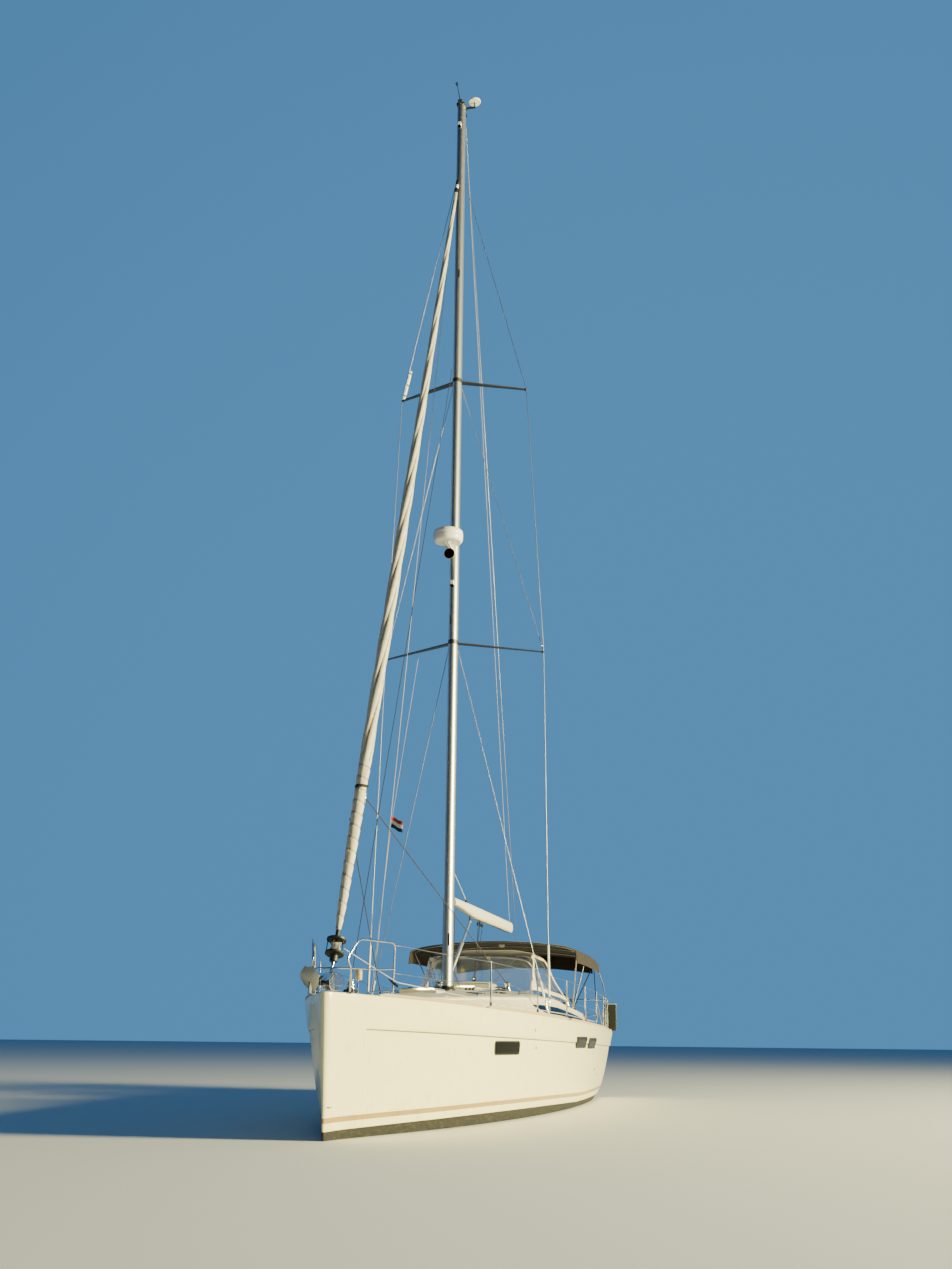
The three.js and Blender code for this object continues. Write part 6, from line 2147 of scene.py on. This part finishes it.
dome_lamp = Form().turned(
    [(0.06, 0.0), (0.06, -0.02), (0.045, -0.045), (0.02, -0.055), (0, -0.056)],
    at(11.0, 0, BIMINI_CROWN - 0.034), sides=24
)
build("dome_lamp", dome_lamp, white_enamel, angle=60)
print("aft band with 2 windows")

# %% [markdown]
# The sprayhood shelters the companionway. Its sides are cream canvas, and its roof is drawn in the
# dark brown canvas as painted shade. Both are stretched over two hoops. Clear panes are sewn into
# its front and its sides.

# %% Arches of the sprayhood
HOOD = [
    {
        "aft": 8.56, "lean": 0.0, "foot": (roof_up(8.56, 1.04) - 0.01, 1.04),
        "shoulder": (roof_up(8.56, 1.0) - 0.004, 1.0), "top": 2.114
    },
    {"aft": 8.93, "lean": 0.03, "foot": (2.01, 1.0), "shoulder": (2.585, 0.955), "top": 2.62},
    {"aft": 9.3, "lean": 0.2, "foot": (1.88, 1.42), "shoulder": (2.61, 1.01), "top": 2.71},
    {"aft": 9.76, "lean": 0.18, "foot": (1.8, 1.5), "shoulder": (2.605, 1.04), "top": 2.76}
]


def smooth(points, steps):
    """A curve through the points, by Catmull and Rom's rule."""
    points = [Vector(p) for p in points]
    ends = [points[0] * 2 - points[1], *points, points[-1] * 2 - points[-2]]
    path = []
    for a, b, c, d in zip(ends, ends[1:], ends[2:], ends[3:]):
        squared, cubed = a * 2 - b * 5 + c * 4 - d, b * 3 - a - c * 3 + d
        for t in (k / steps for k in range(steps)):
            path.append((b * 2 + (c - a) * t + squared * t * t + cubed * t**3) * 0.5)
    return [*path, points[-1]]


def hood_arch(row):
    (foot_z, foot_y), (shoulder_z, shoulder_y) = row["foot"], row["shoulder"]
    aft, half_way = row["aft"], foot_y + (shoulder_y - foot_y) * 0.55
    side = [
        at(aft + row["lean"], foot_y, foot_z),
        at(aft + row["lean"] * 0.5, half_way, (foot_z + shoulder_z) / 2),
        at(aft, shoulder_y, shoulder_z),
        at(aft - 0.04, shoulder_y * 0.55, row["top"] - 0.01),
    ]
    across = [mirror(p) for p in side[::-1]]
    return [*side, at(aft - 0.05, 0, row["top"]), *across]


STEPS = 5
arches = [smooth(hood_arch(row), STEPS) for row in HOOD]
columns = [smooth(column, 6) for column in zip(*arches)]
hood_grid = [list(ring) for ring in zip(*columns)]


def inwards(ring, depth):
    middle = Vector((ring[len(ring) // 2].x, 0, 1.9))
    return [p + (middle - p).normalized() * depth for p in ring]


hood = Form()
rings = [ring + inwards(ring, 0.006)[::-1] for ring in hood_grid]
hood.skin(rings)
width = len(rings[0])
last_column = len(hood_grid[0]) - 1
PANES = [
    {"rings": (0, 6), "columns": (3, 37)},
    {"rings": (7, 16), "columns": (1, 9)},
    {"rings": (7, 16), "columns": (31, 39)},
]


def clear_pane(ring, column):
    return any(
        p["rings"][0] <= ring < p["rings"][1] and p["columns"][0] <= column < p["columns"][1]
        for p in PANES
    )


for number in range(len(hood.faces) - 2):
    ring, column = divmod(number, width)
    if column > last_column:
        column = 2 * last_column - column if column < width - 1 else -1
    # The roof takes the dark brown canvas, a painted shade over it.
    roof = ring >= 6 and 10 <= column < 30 and ring < len(hood_grid) - 2
    hood.kinds[number] = 1 if clear_pane(ring, column) else 2 if roof else 0
hood_piece = build(
    "sprayhood_cloth", hood, canvas_cream, vinyl, canvas_brown, stands_for=["sprayhood_canvas"],
    angle=60
)

bows = Form()
bow_feet = [at(9.6, 1.385, roof_up(9.6, 1.36) + 0.004), on_roof(9.56, 1.25, 0.004)]
for foot, aft, up, half, top in (
    (bow_feet[0], 9.74, 2.6, 1.045, 2.76), (bow_feet[1], 9.01, 2.57, 0.915, 2.63)
):
    path = [foot, at(aft, half - 0.034, up - 0.034), at(aft - 0.04, half * 0.5, top - 0.046)]
    path += [mirror(p) for p in path[::-1]]
    bows.tube(bent(path, 0.14, 5), TUBE, 12)
for side in (-1, 1):
    bows.tube([Vector((p.x, p.y * side, p.z)) for p in bow_feet], 0.015, 12)
build("sprayhood_bows", bows, polished, stands_for=["sprayhood_frame"], angle=55)
print("sprayhood cells", len(hood.faces))

# %% [markdown]
# ## Deck gear
# Two winches stand on the roof and two larger ones on the coamings. Rope clutches sit ahead of the
# roof pair, and grab rails run along the roof.

# %% Winches, clutches and grab rails
def winch(aft, y, radius, height):
    low = roof_up(aft, min(y, roof_top(aft) - 0.03)) - 0.006
    form = Form()
    base = [(1.02, 0), (1.02, 0.06), (1, 0.2), (0.93, 0.23)]
    waist = [(0.72 - 0.04 * math.sin(math.pi * t), 0.3 + 0.46 * t) for t in np.linspace(0, 1, 7)]
    jaws = [(0.86, 0.8), (0.88, 0.83), (0.6, 0.87), (0.88, 0.91), (0.88, 0.95), (0.62, 0.99)]
    socket = [(0.3, 1), (0.16, 1), (0.12, 0.93), (0, 0.93)]
    profile = [(radius * wide, height * up) for wide, up in (*base, *waist, *jaws, *socket)]
    form.turned(profile, at(aft, y, low), sides=40)
    for angle in turns_of(10):
        ridge = spoke(angle) * radius * 0.705
        foot, head = at(aft, y, low + height * 0.3), at(aft, y, low + height * 0.74)
        form.tube([foot + ridge, head + ridge * 0.98], 0.0028, 6)
    form.turned(
        [(radius * 1.2, -0.012), (radius * 1.2, 0.0), (radius * 1.12, 0.004)],
        at(aft, y, low + 0.002), sides=36, kind=1
    )
    return form


both_sides(
    "halyard_winch", winch(8.36, 0.62, 0.07, 0.159), polished, black_cast,
    stands_for=["winch_halyard"], angle=35
)
both_sides(
    "primary_winch", winch(10.5, 1.36, 0.082, 0.179), polished, black_cast,
    stands_for=["winch_primary"], angle=35
)

gear = Form()
for k in range(4):
    y = 0.52 + k * 0.045
    low = roof_up(8.0, y)
    gear.box(at(8.14, y - 0.02, low - 0.01), at(7.86, y + 0.02, low + 0.05), 0)
    gear.box(at(8.0, y - 0.015, low + 0.05), at(7.88, y + 0.015, low + 0.066), 1)
both_sides("rope_clutches", gear, black_cast, polished, bevel=0.005)

grabs = Form()
for first, last, y in ((4.7, 6.3, 0.86), (7.0, 8.3, 1.08)):
    stops = np.linspace(first, last, 4)
    path = [on_roof(a, y, 0.055) for a in np.linspace(first, last, 24)]
    start, end = at(first - 0.05, y, roof_up(first, y)), at(last + 0.05, y, roof_up(last, y))
    grabs.tube(bent([start, *path, end], 0.04, 4), 0.0115, 10)
    for a in stops[1:-1]:
        grabs.tube([on_roof(a, y, -0.005), on_roof(a, y, 0.055)], 0.01, 8)
both_sides("grab_rails", grabs, polished, angle=50)

sheet_block = Form()
bed_top = slide_bed + 0.112
sheet_block.box(at(8.48, -0.04, bed_top - 0.02), at(8.36, 0.04, bed_top + 0.006), 0)
for y in (-0.02, 0.006):
    sheet_block.turned(
        [(0.02, 0), (0.038, 0.003), (0.038, 0.011), (0.02, 0.014)], at(8.42, y, bed_top + 0.062),
        (0, 1, 0), 22, 1
    )
for y in (-0.03, 0.026, -0.002):
    sheet_block.box(at(8.452, y, bed_top), at(8.388, y + 0.004, bed_top + 0.1), 0)
build(
    "mainsheet_block", sheet_block, black_cast, polished, stands_for=["mainsheet_deck_block"],
    bevel=0.003
)
print("winches 4, clutches 8")

# %% [markdown]
# ## Under water
# The fin keel carries a bulb, the spade rudder turns on one stock, and a saildrive leg ends in a
# three-bladed propeller. They aren't seen afloat. They follow common practice for this type.

# %% Keel, rudder, saildrive and propeller
def foil(leading, chord, thick, z, count=14):
    """An aerofoil section with a round nose."""
    ring = []
    for k in range(count + 1):
        t = (1 - math.cos(math.pi * k / count)) / 2
        wide = thick * 2.6 * (
            0.2969 * math.sqrt(t) - 0.126 * t - 0.3516 * t**2 + 0.2843 * t**3 - 0.1015 * t**4
        )
        ring.append((t, max(wide, 0.004)))
    port = [at(leading + chord * t, wide, z) for t, wide in ring]
    starboard = [at(leading + chord * t, -wide, z) for t, wide in ring[-2:0:-1]]
    return port + starboard


def foil_stack(levels, steps=5):
    rings = []
    for (z0, l0, c0, t0), (z1, l1, c1, t1) in zip(levels, levels[1:]):
        for k in range(steps):
            s = k / steps
            rings.append(
                foil(l0 + (l1 - l0) * s, c0 + (c1 - c0) * s, t0 + (t1 - t0) * s, z0 + (z1 - z0) * s)
            )
    z, leading, chord, thick = levels[-1]
    rings.append(foil(leading, chord, thick, z))
    return rings


keel = Form()
keel.skin(
    foil_stack([(-0.5, 5.48, 1.71, 0.187), (-1.3, 5.64, 1.48, 0.17), (-1.9, 5.78, 1.33, 0.16)])
)
bulb = [
    (0, -1.15), (0.06, -1.12), (0.1, -1.05), (0.135, -0.96), (0.163, -0.82), (0.18, -0.65),
    (0.19, -0.3), (0.182, 0), (0.165, 0.2), (0.135, 0.5), (0.1, 0.8), (0.05, 0.99), (0, 1.15)
]
bulb_form = Form().turned([(r, -h) for r, h in bulb[::-1]], at(6.55, 0, 0), (1, 0, 0), 32)
for p in bulb_form.points:
    p.z = p.z * 0.9 - 2.15 + 0.171
keel.join(bulb_form)
build("keel_and_bulb", keel, antifouling, stands_for=["keel"], angle=50)

rudder_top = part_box("rudder")[1].z
rudder = Form()
blade_top = -hull_depth(12.11) - 0.016
rudder.skin(
    foil_stack([
        (blade_top, 12.12, 0.56, 0.095), (-0.9, 12.13, 0.52, 0.085), (-1.46, 12.18, 0.4, 0.06),
        (-1.56, 12.2, 0.34, 0.045)
    ])
)
rudder.tube([at(12.25, 0, -0.8), at(12.25, 0, rudder_top - 0.001)], 0.0335, 20, 1)
build(
    "rudder_blade", rudder, antifouling, polished, body="rudder_body", stands_for=["rudder"],
    angle=50
)

PROP_AFT, PROP_UP = 9.56, -0.7
leg_form = Form()
levels = [
    (-0.44, 9.18, 0.28, 0.085), (-0.62, 9.2, 0.24, 0.08), (-0.7, 9.21, 0.27, 0.075),
    (-0.79, 9.25, 0.19, 0.06)
]
leg_form.skin(foil_stack(levels, 3))
leg_form.turned(
    [(0.0, 0.42), (0.03, 0.4), (0.048, 0.34), (0.054, 0.2), (0.055, 0.08), (0.05, 0.0)],
    at(9.52, 0, PROP_UP), (1, 0, 0), 24
)
build("saildrive_casting", leg_form, zinc, stands_for=["saildrive_leg"], angle=50)

prop = Form()
prop.turned(
    [(0.045, 0.0), (0.046, 0.03), (0.043, 0.08), (0.034, 0.13), (0.022, 0.155), (0.0, 0.159)],
    at(PROP_AFT - 0.0395, 0, PROP_UP), (-1, 0, 0), 24
)
for k in range(3):
    turn = Matrix.Rotation(2 * math.pi * k / 3, 3, "X")
    sections = []
    for s in np.linspace(0, 1, 11):
        reach = 0.035 + 0.186 * s
        chord = 0.064 * math.sqrt(max(0.02, math.sin(math.pi * (0.2 + 0.8 * s))))
        chord *= 1 if s < 0.95 else 0.6
        pitch = math.radians(58 - 30 * s)
        ring = []
        for angle in turns_of(12):
            across, thick = math.cos(angle) * chord, math.sin(angle) * (0.008 - 0.006 * s)
            x = math.sin(pitch) * thick + math.cos(pitch) * across * 0.6
            y = math.cos(pitch) * thick - math.sin(pitch) * across
            ring.append(at(PROP_AFT + 0.02, 0, PROP_UP) + turn @ Vector((x, y, reach)))
        sections.append(ring)
    prop.skin(sections)
build(
    "propeller_three_blades", prop, prop_bronze, body="propeller_body", stands_for=["propeller"],
    angle=45
)
print("under water 4 pieces")

# %% [markdown]
# ## Running rigging and small gear
# Sheets, halyards and lines are drawn as thin tubes. Each stays where it is built and follows
# neither the boom nor the roll. All of them are hauled taut, so none is a free cord.

# %% Lines from the boat to the boom and to the sail
SHEET_WRAP = 0.3
boom_top, boom_low = BOOM_UP + BOOM_HIGH, BOOM_UP - BOOM_HIGH
clew = stay(4.19) + Vector((0, 0.085, 0))
# Name, end on the boat, end on the boom or the sail, radius
BOOM_LINES = [
    ("mainsheet_fall_fore", at(8.41, 0.012, slide_bed + 0.17), at(8.68, 0.012, 3.14), 0.006),
    ("mainsheet_fall_mid", at(8.42, -0.012, slide_bed + 0.17), at(8.9, -0.012, 3.14), 0.006),
    ("mainsheet_fall_aft", at(8.44, 0.0, slide_bed + 0.17), at(9.08, 0.0, 3.12), 0.006),
    ("outhaul_line", at(6.488, 0.0, 3.95), at(7.66, 0.0, boom_top + 0.045), 0.007),
    ("topping_lift", at(6.76, 0.0, MAST_HEAD + 0.012),
     at(boom_last - 0.03, 0.0, boom_top + 0.02), 0.004),
]
SAIL_LINES = [
    ("genoa_sheet_port", on_roof(8.0, 0.75, 0.05), clew, 0.0075),
    ("genoa_sheet_starboard", at(6.9, -1.28, roof_up(6.9, 1.2) - 0.1),
     stay(3.9) + Vector((0, -0.085, 0)), 0.0075),
]


def taut_line(name, fast, far, thick, body, dark, reach=math.inf):
    """A line drawn straight from the boat to its far end, left where it is built. Its body and reach
    are not used.
    """
    path = [fast.lerp(far, 1 - (1 - t) ** 2) for t in np.linspace(0, 1, 40)]
    line = Form().tube(path, thick, 8)
    piece = build(name, line, rope_dark if dark else rope_pale, body=None, angle=60)
    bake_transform(piece)


for row in BOOM_LINES:
    taut_line(*row, "boom_set", row[0].startswith("mainsheet"))
for row in SAIL_LINES:
    taut_line(*row, "furler_body", True, reach=SHEET_WRAP)
print("taut lines", len(BOOM_LINES) + len(SAIL_LINES))


# %% Blocks under the boom and the strap over it
def sheave_block(form, centre, radius=0.034):
    """Two cheeks about a sheave, hung by a strap."""
    for y in (-0.014, 0.008):
        form.turned(
            [(radius * 0.5, 0), (radius, 0.002), (radius, 0.005), (radius * 0.4, 0.007)],
            centre + Vector((0, y, 0)), (0, 1, 0), 20
        )
    form.turned(
        [(radius * 0.8, -0.008), (radius * 0.68, 0.0), (radius * 0.8, 0.008)], centre, (0, 1, 0), 20
    )
    form.box(
        centre + Vector((-0.009, -0.004, radius * 0.5)),
        centre + Vector((0.009, 0.004, radius * 1.6))
    )


boom_blocks = Form()
for aft in (8.68, 8.9, 9.08):
    sheave_block(boom_blocks, at(aft, 0, boom_low - 0.075))
    boom_blocks.tube([at(aft, 0, boom_low - 0.03), at(aft, 0, boom_low + 0.012)], 0.007, 10)
sheave_block(boom_blocks, at(7.66, 0, boom_top + 0.035), 0.028)
boom_blocks.box(at(7.69, -0.02, boom_top - 0.012), at(7.63, 0.02, boom_top + 0.01))
build("boom_blocks", boom_blocks, black_cast, body="boom_set", bevel=0.002)

ring = Form()
ring.turned([(0.016, -0.012), (0.024, -0.006), (0.024, 0.006), (0.016, 0.012)], clew, (0, 1, 0), 18)
ring.tube([clew, clew + Vector((0.01, 0.012, -0.08))], 0.011, 8)
build("clew_ring", ring, polished, body="furler_body", angle=50)

beside_rail = [
    at(aft, deck_half(aft) - inset, sheer(aft) + 0.1)
    for aft, inset in ((3.6, 0.12), (7.3, 0.12), (10.6, 0.14))
]
# Dark or not, radius, path
FIXED_LINES = [
    (True, 0.006, [at(6.24, -0.07, 13.3), on_deck(1.99, -0.33, 0.03)]),
    (False, 0.005, [at(6.29, -0.086, 17.3), on_deck(7.0, -1.5, 0.05)]),
    (False, 0.003, [at(7.2, -0.86, 7.885), at(6.9, -1.2, 4.8), on_deck(6.95, -1.52, 0.06)]),
    (True, 0.006, [at(6.36, 0.094, 3.2), at(6.36, 0.1, 2.2), on_roof(6.42, 0.2, 0.03)]),
    (False, 0.006, [at(6.36, -0.094, 3.4), at(6.36, -0.1, 2.25), on_roof(6.42, -0.24, 0.03)]),
    (False, 0.005, [at(0.42, 0.09, 2.2), at(1.2, 0.56, 1.83), *beside_rail]),
]
for name, colour, dark in (("dark", rope_dark, True), ("pale", rope_pale, False)):
    lines = Form()
    for row_dark, thick, path in FIXED_LINES:
        if row_dark == dark:
            lines.tube(bent(path, 0.05, 3), thick, 8)
    build("fixed_lines_" + name, lines, colour, angle=60)

organiser = Form()
for side in (-1, 1):
    for k in range(3):
        spot = at(6.85, side * (0.2 + 0.06 * k), roof_up(6.85, 0.26) + 0.014)
        drum = [(0.024, -0.02), (0.026, 0), (0.018, 0.006), (0.026, 0.012), (0.02, 0.018)]
        organiser.turned([*drum, (0, 0.02)], spot, sides=16)
        organiser.tube(
            [spot, at(7.86, side * (0.52 + 0.045 * k), roof_up(7.9, 0.55) + 0.03)], 0.005, 6, 1
        )
build("deck_organisers_and_tails", organiser, black_cast, rope_pale, angle=50)
print("fixed lines", len(FIXED_LINES))

# %% [markdown]
# A small courtesy flag flies from its halyard under the starboard spreader. It is a plain cloth of
# three bands, 25 by 20 cm, with a slack wave along it.

# %% The small flag
FLAG_LONG, FLAG_HIGH = 0.25, 0.2
flag = Form()
columns = []
for x in np.linspace(0, FLAG_LONG, 25):
    top = at(
        6.9 + 0.02 * math.sin(22 * x) - 0.1 * x, -1.205 + x * 0.9,
        4.91 - 0.45 * x + 0.008 * math.sin(30 * x)
    )
    columns.append([top - Vector((0, 0, FLAG_HIGH * t)) for t in np.linspace(0, 1, 13)])
rows_down = len(columns[0])
flag.skin([column + [p + Vector((0.0016, 0, 0)) for p in column[::-1]] for column in columns])
for i in range((len(columns) - 1) * 2 * rows_down):
    down = i % (2 * rows_down)
    down = down if down < rows_down else 2 * rows_down - 2 - down
    flag.kinds[i] = min(2, max(0, down) // 4)
flag_piece = build("courtesy_flag", flag, flag_red, flag_white, flag_blue, angle=60)

# %% Shroud covers, pulpit lamp and quarter struts
covers = Form()
low_tip, roots = spreader_tip(SPREADERS[0]), at(mast_aft(7.75) + 0.02, TANG_SIDE, 7.75)
for target, top in ((low_tip, 1.2), (roots, 0.62)):
    way = (target - CHAINPLATE).normalized()
    covers.turned(
        [(0.012, 0.36), (0.019, 0.365), (0.019, top - 0.01), (0.012, top)], CHAINPLATE, way, 14
    )
both_sides("shroud_covers", covers, white_enamel, angle=50)

lamp = Form()
lamp.turned(
    [(0.03, -0.075), (0.04, -0.07), (0.042, 0.03), (0.035, 0.045), (0.02, 0.05), (0.0, 0.05)],
    at(0.43, 0.287, 1.9), sides=24
)
lamp.tube([at(0.43, 0.287, 1.945), at(0.43, 0.3, 1.958)], 0.012, 8)
build("pulpit_lamp", lamp, hailer_tan, angle=50)
cross = Form()
bow_bar = [at(a, y, 1.956) for a, y in ((0.23, 0.25), (0.12, 0.12), (0.12, -0.12), (0.23, -0.25))]
cross.tube(bent(bow_bar, 0.06, 5), 0.011, 12)
build("pulpit_cross_tube", cross, polished, angle=50)
clamp = Form()
clamp.tube([at(1.14, 0.59, 1.775), at(1.13, 0.5, 1.845)], 0.017, 8)
clamp.tube([at(1.13, 0.505, 1.84), at(1.12, 0.47, 1.868)], 0.009, 8)
build("pulpit_line_clamp", clamp, black_cast, bevel=0.004)

struts = Form()
struts.tube(
    bent([at(13.3, 1.56, 2.56), at(12.72, 1.66, 2.0), at(12.68, 1.78, sheer(12.7) + 0.1)], 0.1),
    0.0095, 10
)
struts.tube(
    bent([at(13.46, 1.6, 2.68), at(13.5, 1.72, 2.3), at(13.42, 1.8, sheer(13.4) + 0.6)], 0.2, 6),
    0.0095, 10
)
both_sides("bimini_quarter_struts", struts, anodised_dark, angle=50)
print("flag, covers and struts")

# %% [markdown]
# ## Finish
# The floor lies at the waterline, so it cuts the hull where the boat floats.

# %% Floor and overall size
FLOOR_REACH = 200
corners = [(x * FLOOR_REACH, y * FLOOR_REACH, 0) for x, y in ((-1, -1), (1, -1), (1, 1), (-1, 1))]
floor_mesh = bpy.data.meshes.new("floor")
floor_mesh.from_pydata(corners, [], [(0, 1, 2, 3)])
floor_mesh.materials.append(new_finish("floor_matt", None, "#D9DBDD", 0.9)[0])
floor = bpy.data.objects.new("floor", floor_mesh)
bpy.context.scene.collection.objects.link(floor)
floor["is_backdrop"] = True

low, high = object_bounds()
print("size", [round(v, 3) for v in high - low])
